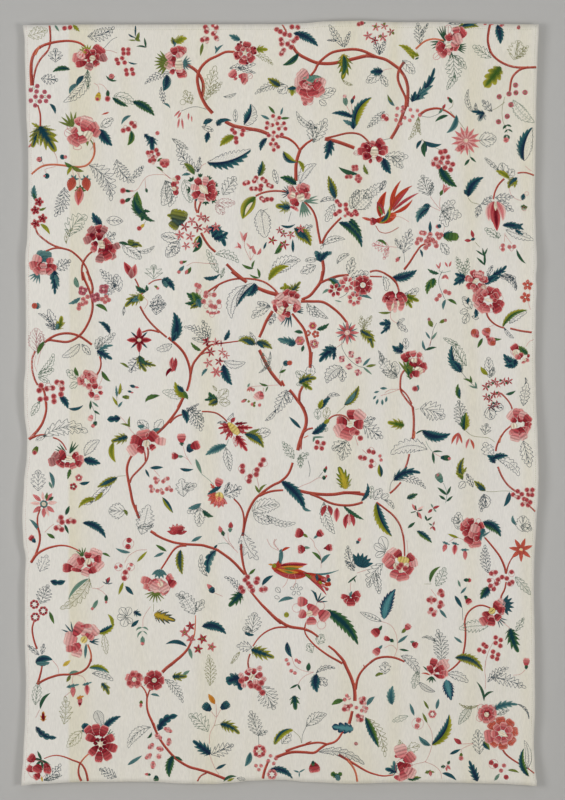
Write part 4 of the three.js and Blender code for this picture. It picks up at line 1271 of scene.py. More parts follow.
chart.append("""
stem rosy 1 1 -62.6 34.8 -61.6 37 -61.6 38.6; 1 1 -66 37.5 -65.2 38.8; 1 1 -64.5 41 -65 40 -62 39.2; 1
 1 -57.4 39.5 -57 42.5; 1 1 -57 39.5 -55 42.6; 1 1 -52.5 34.8 -51.4 33 -51.8 31.5
stem apricot 5 5 -68.7 41.3 -66.5 39.5 -64 38.7 -60.5 38.8 -57 39.3 -54 39.1 -52.3 37.8 -51.3 35.5 -51.4
 32.6
dots rose .7 -66.6 37.2
smooth navy -66.4 38 -65.9 36.4 .6 0
dots navy .7 -60.1 36.6
dots rose .5 -59.3 36.6
dots navy .75 -64.4 41.8
dots rose .35 -65.1 41.8
smooth leaf -57 39.5 -59.5 37.9 .35 -.1
smooth lime -57.4 39.3 -58.7 41.6 .35 .1
smooth olive -57.6 39 -54.2 40.5 .3 .1
fan teal -57 42.8 1.5 10 170 4 .4
fan teal -53.7 42.8 1.5 5 175 4 .4
fan leaf -55.2 45.8 1.6 0 180 5 .45
stem rosy 1 1 -55.6 40.5 -55.4 44.8
tooth teal -67.4 48.4 -67.8 44.2 .42 -.1
smooth pine -67.4 48.8 -68.2 46.4 .3 0
ring crimson -66.6 48.9 0 1.35 5 0 .8
ring crimson -67.6 51.2 0 1.3 5 .5 .8
ring crimson -65.6 53.5 0 1.35 5 .2 .8
ring crimson -67.5 54.9 0 1.3 5 .7 .8
dots wine .4 -66.6 49 -67.6 51.2 -65.6 53.5 -67.5 54.9
smooth olive -66.7 51.1 -64.6 50.4 .35 .1
smooth lime -66.2 55 -63.6 57.9 .3 -.1
plume slateSeed -59.6 44.9 -62.3 53 .48 -.1 -52.8 38.8 -46.8 48.7 .45 -.3
tooth straw -59 60.5 -57.2 56.2 .3 -.3
lobed mint -58.2 58.5 -53.2 53 .7 -.2
plume slate -45.2 37.2 -40.3 43.5 .5 .15 -40.8 42.5 -37.8 39 .5 0
smooth rosyLine -43.5 45.8 -40.6 45.9 .1 0
dots crimson .6 -43.5 45.8 -43.6 48.8
smooth pine -41.4 46.1 -43.2 45.7 .4 0 -41.4 47.9 -43.2 49 .5 0
stem rosy 1 1 -41.3 46.1 -39.5 45.5 -37.5 42.5 -35.5 41.5 -32 41.5 -30.5 42.6; 1 1 -41.3 48 -39.8 46.4;
 1 1 -37.2 45.3 -37.4 42.6
smooth pine -37.2 45.2 -36.8 46.4 .7 0
smooth leaf -38.6 51.5 -39.5 46 .45 -.1
tooth pine -37 53 -40.3 47.4 .5 -.25 -37.5 51.8 -38.4 54.2 .9 0 -38.2 51.8 -34.6 54.2 .3 .15
 -37.8 51.3 -36 51.6 .6 0
smooth mustard -37.6 55 -38.9 56.3 .5 0
dots crimson .5 -39 56.2
stem straw 1 1 -37.2 54.2 -37.8 55.2
tooth navy -49.2 55.4 -51.8 51.8 .6 -.1
smooth slate -48 54 -43.4 54.2 .55 0
round crimson -49.8 57.4 -50.3 55.5 .9 0 -51 59.2 -52.8 57.4 1 0 -50 59.4 -49.8 57.5 .9 0
round dusty -51.2 57.6 -52.6 56.2 .9 0 -52 59 -54 59.7 .8 0 -49.3 58 -48.3 55.9 .6 0
dots wine .6 -52 58.1 -50 56.9 -50 59
round crimson -50.3 60.2 -51.9 61 .8 0
round rose -50.8 61 -51.9 62.4 .8 0
round crimson -48.9 61 -47.4 59.6 1 0 -48.6 61.5 -45.6 62.4 .8 0
round dusty -46.2 61.6 -44.6 60.8 .8 0 -47 63 -45.9 64.4 .8 0
round crimson -49.6 61.4 -49.2 63.2 .9 0 -48.6 62.2 -47.4 64.6 .8 0 -48.8 61 -49.2 59.7 .8 0
round dusty -49.6 63.2 -50 65.4 .8 0
dots wine .55 -46.9 61.5 -48 62.1 -51 60.2
dots cream .75 -49.6 60.2 -49.2 61.1
spiky slate -49.5 60 -45.5 57.5 .8 0
smooth pine -44.7 60.2 -41.8 60.9 .3 -.1
round olive -41.5 61 -41.2 59.4 .9 0
tooth limeDark -41.6 61 -38.2 61.3 .6 -.2
frill grey -43.7 60.6 -38.4 64.5 .5 0
tooth grey -39.5 62.5 -34.8 61 .25 .15
stem coral 5 5 -67.6 55.8 -67 57.5 -65.5 59 -63 60.7 -60.5 61.6 -58 62.3 -56 63.8 -54.4 65.6 -53.2 67.8
 -52.6 70.6; 5 4 -65.2 62.9 -63.5 62 -61.5 61.6 -59 61.9; 5 5 -51.2 62.1 -53 63.5 -54.4 65.6 -54.8 68
 -54.5 70.6
round teal -65.4 65.5 -65 62.6 1.1 0 -65.6 65.6 -67.4 63.6 .9 0
round pink -65.6 65 -68 64.4 .7 0
round rose -66.6 66 -68.9 66.6 .8 0
round crimson -65.8 65.6 -66.4 67 .9 0
round rose -64.6 65 -62.8 65.4 .9 0
round crimson -64.6 66.4 -62 67.4 .6 0
round pink -65.4 65.6 -65.3 67.4 .8 0
round rose -66 67 -67.6 68.4 .8 0
round pink -65.3 67 -65.2 68.7 1 0
round rose -64.4 67 -63.4 68.6 .8 0
fan teal -66.6 68.4 3.2 200 275 5 .14
tooth navy -62.4 67.9 -62.8 71 .8 0
plume slate -62 67.5 -57.8 65 .7 0
smooth sage -56.6 69.6 -56 72.6 .4 0
plume slate -45.4 72 -49.8 67.5 .45 0
spiky mint -35 70.2 -35 66.2 1.3 0
stem rosy 1 1 -30.2 42.6 -32.6 40.7 -34 39.5; 1 1 -22.6 40.4 -21.6 38.8 -20.6 38.4
stem coral 5 5 -23.5 48.4 -23.6 50.4 -23 52; 5 5 -22 48.9 -22.6 50.6 -22.8 52; 6 6 -22 57.4 -21 59.3
 -19.6 61.3 -18 62.7; 7 7 -15 66 -13 68 -10.6 70; 5 5 -7 47.3 -5 46.4 -2 45.9 1.8 46.1
stem rosy 1 1 -17.5 66 -21 65.8 -24 65.6 -26 66.5; 1 1 -8.4 65 -10 61.5 -10 59.5; 1 1 -8.4 65 -8.6 62.5;
 1 1 -8.4 65 -7.4 63.3; 1 1 -6.2 42 -6.5 43.5 -5.6 45
dots crimson .5 -36.6 35.4 -35.6 35.3 -34.3 34.7 -33.8 35.8 -35.2 36.6 -36 37.6 -34.9 37.4
dots blush .45 -36.4 36.4 -34.4 36.6 -35.6 36 -35.2 38.2
smooth leaf -34 37.8 -32.7 36.8 .45 0
round rose -32 39.6 -32 37.3 .9 0
dots crimson .5 -32.7 38.4 -31.4 38.5
smooth leaf -34.4 39.3 -32.4 40.6 .25 -.1
dots crimson .8 -28.4 42.3 -29.5 44.1 -28.9 46.3
dots rose .5 -28.5 43.6 -28.6 45.1
dots cream .6 -29.4 42.8 -29.4 45.3
tooth teal -24.9 41.4 -27.3 41.7 .4 .1
smooth olive -23.9 41.4 -26.8 38.3 .4 .1
tooth leaf -23.8 41.4 -25.8 39 .3 .1
tooth grey -32 43 -30.8 50.3 .5 -.3
frill greyRing -31.8 43.2 -32.8 49.8 .6 -.2
frill mint -26.6 42.8 -24.8 49.2 .5 0
plume slate -22.8 40.7 -28.5 33 .4 -.1 -22.8 40.7 -22.3 36.5 .35 0
ring crimson -21.3 45.5 1 3.45 4 .6 .62
ring pink -21.3 45.5 1 3.3 4 1.35 .55
round crimson -20.4 46.4 -18 47.3 .9 0 -20.3 45.5 -18.2 45.3 .9 0
smooth cream -22.5 44.3 -20 46.8 .5 0
fan pine -24.4 43.2 1.3 80 170 3 .5
fan pine -25 45.6 1.1 120 240 3 .5
fan pine -22.2 42.2 1.2 60 120 3 .45
fan pine -20 42.8 1.2 30 100 3 .45
fan pine -18.4 44.4 1.2 -10 60 3 .45
fan pine -18 46.4 1.2 -50 20 3 .45
fan pine -18.8 48.3 1.2 -90 -10 3 .45
fan pine -20.7 48.9 1.1 -150 -30 3 .5
fan navy -23.2 47.7 1.2 150 260 3 .5
frill dustyLine -18 49.2 -12.6 49.2 .5 0 -18 49.8 -15.6 52.3 .7 0
lobed grey -16 47 -12.5 42 .7 0
tooth slateSeed/navy -20.4 38 -8.2 34.4 .38 .1
tooth navy/olive -6.2 41.8 -5.2 37.6 .55 .1
dots crimson .5 -10 43.9 -9.1 43.6 -6.9 42.3 -7.4 43.2 -5.1 42.6 -4.3 43.2 -3.5 44.3 -2.6 44.7 -5.5 44.5
 -8.1 45.3 -7 45.3 -5.7 45.5 -5.4 47.9 -4.7 48.5 -3.8 48.2 -2.6 48.2
dots blush .4 -9.6 43.4 -7.2 42.8 -4.8 43.1 -3.1 44.4 -7.5 45.1 -5.1 48.1
frill slate -1 44 -2 40 .4 0
smooth limeOlive -7 47.5 -10.6 53.7 .5 .08
smooth cream -7.8 49 -9.9 52.6 .22 .08
tooth limeDark -26.8 54.6 -31.4 52.6 .7 .1
round limeDark -28.6 55 -27.8 51.4 1 0 -28.4 54 -30 56 .9 0
tooth navy -26.9 55.2 -29.4 54 .6 0
smooth pine -22.4 58.3 -24.4 62.8 .34 -.25
smooth lime -22.3 58.2 -24 60.6 .2 .1
spiky navy -20 56 -15.4 61.2 .6 -.15 -18.5 59 -14.6 57.2 .7 .1 -19 58.6 -16.6 56.1 .6 0
frill slate -27.6 59.3 -33 58.2 .6 0 -28 60 -31.6 64 .7 0 -30 61 -28.6 63 .9 0
smooth leaf -28 65.4 -25.8 65.1 .35 .1
dots rose .5 -27.4 65.6 -28.1 68.2
smooth teal -28.2 67.9 -26.7 66.4 .5 .1
smooth leaf -26.3 68.7 -24.8 66.8 .5 .1
smooth rose -26.3 68.8 -25.6 67.5 .6 0
smooth pink -10.6 59.6 -11.4 57 .25 .1 -10.2 59.8 -9.9 57.5 .3 0
smooth rose -10 59.8 -9.2 57.2 .28 -.1
smooth pink -11 61.6 -12.8 61.6 .35 .2
smooth rose -11 61.8 -12 60 .35 0
smooth pink -8.2 61.7 -9.6 60.2 .3 0
smooth rose -8.8 61.8 -7.4 61 .4 0 -6.8 63.3 -7.5 61 .4 -.3 -6.6 63.4 -5.7 61.6 .45 .3
smooth leaf -7.6 67.2 -10.8 66 .25 -.1 -7.9 67.2 -7.2 65 .3 -.1 -6 69.8 -8.7 68.8 .22 -.1
 -6 69.8 -6.6 67.2 .3 .1
lobed mint -18 63.4 -11.7 65.6 .4 -.2 -17.2 68.6 -20.4 62 .3 0
tooth navy -21.3 69.7 -16.8 68.7 .3 .25
plume mint -16.6 70 -15.6 67 .4 0
tooth navy -32.8 70.8 -30.3 70.2 .7 .3
frill slateSeed -5.6 51 -4.4 58.7 .6 0
stem slate 1 1 -5.2 52.8 -4.8 51.3 -3.6 50.8
tooth lime -3.4 70.6 2.2 66.6 .34 -.45
tooth grey -2.6 69.2 5.4 65 .5 -.15
smooth navy -4.8 61.9 -4 59.9 .3 0
smooth leaf -1.8 63.2 -.2 60 .4 .25
smooth navy 0 55.3 3.9 55 .2 .2
stem grey 1 1 2 54.4 2.8 51.6
star crimson -2.4 59.5 .1 1.4 5 0 .42
star crimson -.4 56.7 .1 1.1 5 .4 .42
star crimson .7 57.7 .1 1.2 5 .2 .42
star rose 2.7 58 .1 1.3 5 .8 .42
star crimson .9 60.7 .1 1.5 5 0 .42
star rose 5.4 56.3 .1 1.3 5 .3 .42
dots olive .3 -2.4 59.5 .8 60 2.6 57.3 .7 57
smooth navy 3.3 62.8 3.2 59.2 .24 0
stem coral 8 9 5.2 34.8 4.6 36.5 4.1 39 4.1 43.2; 5 6 6.4 48.8 8.5 51 9.6 53.5 10.2 57 10.9 60.5; 5 6
 16.6 53.2 14.8 55 12.6 57.6 11.2 60.4; 8 8 11.3 64.6 11.7 67.4 11.1 70.5
smooth lime/navy .7 35 4.4 37.9 .45 .35
tooth lime 4.6 37.6 6 40.8 .4 -.3
spiky navy 13.6 32 12.2 37.2 .6 -.05
round crimson 25 34.8 22.2 33.6 .6 0 24.6 35 21.3 35 .5 0
round rose 25.2 34 25.6 32.4 1 0
round crimson 26 33.8 28 32.2 .8 0 26.6 34.6 29.2 34.6 .7 0 26.6 35.4 28.6 35.4 .6 0
 25 36.2 22.6 36.4 .7 0 24.8 37 24.4 38.3 .9 0 26.2 36.4 27.4 37.6 .8 0
dots wine .5 23.3 33.7 24.3 34.8 27 33.4 23.3 36.3
round cream 25.7 33.6 25.6 36 .7 0 25.4 36 25.5 37.2 1 0
frill dustyLine 23 35.2 19.8 35.6 .5 0
lobed grey 28.6 36.4 35 36.5 .5 0 30.5 36.6 33.5 39.6 .6 0
tooth navy 28 36.8 30.2 41.2 .6 .05
smooth pine 21 41.2 15.8 39.3 .24 -.1
dots rose .6 19.9 39.3 20.6 39.4 20 40 20.7 39.9 18.2 42 19.1 42 21 41.9 21.8 42.5 20.8 42.7 21.4 43.2
dots crimson .35 20 39.4 20.7 39.2 18 42.1 21.3 41.8 21.3 43.3
tooth olive 24 41.4 22.8 38.6 .4 -.1
tooth limeDark 15 48 13 41.7 .42 0
tooth navy 14.9 48 13.2 44.5 .3 0
tooth pine 4.2 44.2 -.3 42.2 .5 .1
tooth slateSeed 5.2 44 9.7 38.5 .4 -.15
round rose 4 46.2 2.2 45.6 .9 .4 4.2 48.6 2.6 46.6 .8 0
round crimson 5 49.8 3.4 48 .7 -.3
round rose 5.4 46.8 4.4 44.7 .6 .3 5.8 46.6 6.8 44.2 .8 0
round crimson 6.2 46 7.6 45.4 .8 0
round rose 6 46.8 7.8 47.5 .7 0
round crimson 4.8 48 4.2 46.4 .6 0
round rose 2.4 50.2 4.8 51.5 .35 -.1
round cream 3.4 46.2 3 47.6 .9 0 5.8 48.8 5.2 47 .9 0
fan slate 2.4 46.5 2.4 110 215 6 .06
fan sage 6.2 48.8 4.3 -8 22 3 .12
fan sage 5.9 48.8 4.6 -100 -58 5 .12
spiky limeDark 2.6 50.4 -1.6 50 1.1 0
spiky navy 2.3 50.6 0 50.2 .7 0
tooth limeDark 3.6 56.2 8.2 61 .62 -.1
tooth navy 4.4 56.8 6.2 59 .5 0
plume slate 5.6 57 8.6 55.4 .7 0
frill slate 10.8 49 15 48.5 .3 -.2
lobed greyRing 14.6 49.5 12.4 54.4 .5 0
dots crimson .5 15.4 48.8 16.2 49.8 17.8 49.7 15 52.3 16.1 51.5 17.9 51 18.5 52.1 19.4 52.5 20.8 52.3
 20.4 51.6
dots rose .45 15.8 49.3 17.6 52.8 15.5 51.9 19.9 52.1
frill greyRing 19.2 50.8 21.2 45.6 .5 0 20 50.6 24.5 46 .9 0
lobed greyRing 22.5 48 28.6 43.6 .4 0
frill slate 27.2 45.8 28.8 43 .5 0
tooth navy/pine 15.8 54.6 22.2 61.5 .3 -.35
spiky pine 18.6 54.2 22 58.4 .4 -.1 19 53.6 21 55.2 .5 0
tooth navy 10.9 65.4 9.4 62.4 .8 .1 10.9 65.2 14 62.8 .5 -.25
smooth teal 9.8 63.6 9.4 62.4 1 0 13 63.4 13.9 62.6 1 0
tooth grey 11.4 61 17.6 59.2 .3 -.15
lobed grey 9.6 66.4 5.4 68.4 .6 0 10 64.8 6.6 65 .5 0
tooth grey 10.9 62 11.6 60.6 .5 0
lobed grey 15.4 66 18.8 63.4 .4 -.2 18.6 68.8 19.8 64.2 .6 0
lobed slate 19 70 24 68.3 .6 0
stem coral 4 4 13 70.6 15.5 69.5 18.6 69; 5 5 24.4 68.2 26 67.8 28 68.3 30.2 69.7 31.8 71.4; 4 4 24.4
 69.4 27.8 69.5; 6 4 33.8 67.6 35.2 65.8 37 63 38.5 61 40 60.4
smooth leaf 26.4 59.5 29 61 .25 -.2
plume rosyLine 29.8 61.4 25 60.6 .7 0 29.6 61.6 28.2 64.8 .5 0
stem rosyLine 1 1 29.8 61.2 31.8 61.4
spiky slate 33.6 63 35.6 56.3 .55 0
plume slate 33 62 31.4 59 .5 0
stem slate 1 1 33.8 63 34 65.6
smooth rose 31.6 65.4 32.6 64 .7 0
smooth pine 32.4 64.5 32.8 64 .7 0
tooth navy 30.4 69.8 37.4 67.6 .4 .1
round rose 50.5 33.6 48.4 34.6 .5 0
smooth pine 39.6 32.4 39.6 36.6 .34 .1
dots crimson .55 43.9 35.3 45.1 35 45.9 36.6 42.6 37.1 44.4 36.8 43.9 38 45.8 38.1 41.9 38.5 47.2 38.6
 43.2 39.2 45.1 39.5 46.6 40.1
dots blush .35 44.7 35.9 42.9 38.2 46.5 39.2 44.6 38.8 41.5 37.6
tooth pine 43.7 39.2 48.4 44.8 .42 .1
smooth pine 51.8 37.2 50.4 39 .34 0 52 36.6 53.6 38 .3 0
stem sage 1 1 51.8 34.8 52 36.8
plume grey 40.5 47.2 38.8 41.5 .8 0 41 47.2 41.6 43.5 .5 0
stem rosy 1 1 41 47.4 42.6 49.6 43.8 51; 1 1 41.2 50.2 43.8 51.4; 1 1 43.8 47.6 43.6 49.4 43.8 51
smooth rose 44.4 46 44.6 43.9 .35 .2
smooth pink 44.8 46.2 45.6 44.2 .4 0
smooth rose 44.8 46.6 46.6 45 .3 -.2
smooth leaf 43.8 47.2 44.4 45.6 .6 0
tooth navy 51.4 47.6 55.7 42.2 .45 -.2 51.2 47 50.3 45.6 .7 0
stem straw 1 1 51.4 47.8 52.4 49 54.5 49.6
spiky slate 54.8 49.6 53.7 53.2 .6 0 55 49.5 58 47.2 .6 .1 58.8 47.8 64 47.5 .5 0 59.6 48.6 64 51.5 .5 0
lobed greyRing 44 51.4 47.8 48.6 .6 0 44.2 51.6 49.6 52.8 .7 0 44.4 51.4 45.6 55.8 .7 0
stem rosy 1 1 45 55.8 44.6 57.4
tooth navy/teal 40.9 50.4 37.5 54.6 .55 .25
smooth navy 41.2 50.2 39 50.2 .5 .2
stem coral 4 5 58.4 48.2 58.8 46.2 59.8 44.2 61.4 42.5; 4 4 65 41 66.6 40.8 68 41 69.6 41.6
stem rosy 1 1 67.2 39 68 39.8 69 40.4
tooth lime 62.8 42.6 59 40.4 .4 .1
tooth limeDark 64.6 42.4 62.5 45.2 .7 .1
spiky lime 64.6 42.6 64.2 45 .6 0
tooth navy 65 42.2 63.2 43.6 .5 0
lobed grey 60 40.4 56 36.8 .25 0
frill grey 61.5 42 60.6 38.2 .9 0 62.4 42.2 64 40 .9 0
stem rosy 1 1 62.8 45 63.2 46.8 64.5 48 66.2 48.6
smooth navy 66.4 48.4 66.8 46.6 .8 0
dots rosyLine .55 67.6 46.6
smooth leaf 66 50 67.8 50.2 .9 .2
dots rosyLine .6 66.9 50.8
tooth navy 60.9 55.4 66.8 56.6 .35 -.1
spiky navy 64 56.2 66.6 54.9 .5 0 64.4 56.6 66.6 58 .5 0
lobed greySeed 61.8 56.6 69.4 59.4 .35 0
lobed mint 60 58.8 56 56.2 .5 0 59.8 59 59.6 57.4 1 0
stem rosy 1 1 61.6 57.4 61.4 60; 1 1 61.6 58 63.4 60.4
dots rose .6 61 60.9 61 62 62.8 61.3 64.1 61.2
dots rosyLine .5 60.5 61.5 63.4 62
smooth pine 64.8 62 67.3 65.9 .18 .1
smooth crimson 52.9 58.8 52.3 56.7 .45 0 52.2 59.6 50.4 59.5 .5 0
smooth navy 52.2 59.4 53.4 59 .7 0
stem straw 1 1 53.4 60 54.6 61.4
smooth pine 55.8 63.8 56.8 61.6 .22 0 55.8 64 55.4 61.6 .22 0 55.6 63.6 53.6 62.2 .2 0
 56 66.4 56 62.8 .18 0 56 66.3 53.8 64.2 .2 0
smooth navy 41 57.4 41 54.2 .3 0
dots rose .6 43.1 55.7
dots navy .55 43.5 55.6
dots rose .7 38.6 57.4 39.4 57.5 41 57.9 40.6 58.8 43 57.8 44 58 43.4 58.7 37.8 59.2 38.4 59.3 37.4 60.2
 39.9 59.8 40.6 60.6 39.8 61.5 42.4 60.1 42.7 61 41.6 59.4
dots pink .35 38.9 57.4 40.9 58.4 43.5 58.3 38 59.7 40 60.4 42.2 60.5
smooth coral 40.2 60.6 42.4 59.2 .35 -.2
tooth navy/leaf 44.4 58.2 49 58.6 .7 0
round leaf 45 58.2 48.4 58.6 .5 0
lobed grey 44 60.2 46 63.4 .7 0
smooth navy 38.2 62 38.8 64.2 .3 -.1
smooth rose 43.6 67 43.8 65.4 .3 0 43.6 67.4 42.6 66 .3 0 45.8 66.8 45 65.4 .35 0
 46.2 66.8 46.8 65.2 .35 0
stem sage 1 1 43.4 67.6 44.2 68.4 46.6 67.9
tooth pine 43.4 68.6 40.3 67.3 .35 -.1
plume mint 50.4 69.4 48.2 64 .4 0 50.4 69.4 51.4 64.4 .45 0
tooth navy 50.8 69.6 47.6 70.6 .9 0
spiky navy 58.2 69 62 66.4 .55 .1
plume slate 56.6 69.4 58.2 66.4 .5 0
frill slate 60 69.4 64.6 69.8 .4 0
tooth navy 57 70.6 60.2 69.6 .6 0
smooth pink 58.4 48.8 57.2 54.2 .4 .1
smooth rose 58.6 48.8 58.1 54.6 .32 .05
smooth pink 59.3 48.8 61 54.2 .4 -.1
smooth crimson 58.9 50.2 59.4 57 .34 0
smooth wine 59 52.4 59.4 55.8 .22 0
smooth cream 58.9 48.9 59 51.4 .35 0
smooth coral -57.1 42.2 -58.2 46 .66 0 -53.8 42.2 -53.2 46 .66 0
smooth rose -55.3 44.9 -55.8 50 .5 0
smooth coral -55.3 45 -55.7 48.4 .4 0
smooth crimson -40.8 69.6 -43.2 65.4 .42 0
smooth rose -40.9 69.8 -40 66 .5 0
smooth dusty -41.2 70 -41.2 67.2 .6 0
star rose -22 53.1 .1 1.5 5 .3 .42
star rose -24.5 54.2 .1 1.4 5 .9 .42
star crimson -26.4 55.8 .1 1.4 5 0 .42
star rose -27.8 58 .1 1.5 5 .5 .42
star rose -25 58.4 .1 1.5 5 .1 .42
star crimson -22.8 56 .1 1.5 5 .7 .42
star rose -20.4 56.6 .1 1.4 5 .2 .42
star rose -17.9 55.8 .1 1.4 5 .4 .42
star rose -26.1 61 .1 1.3 5 .8 .42
star rose -23.5 60.6 .1 1.2 5 .3 .42
star crimson -20.6 53.6 .1 1.2 5 .6 .42
""")
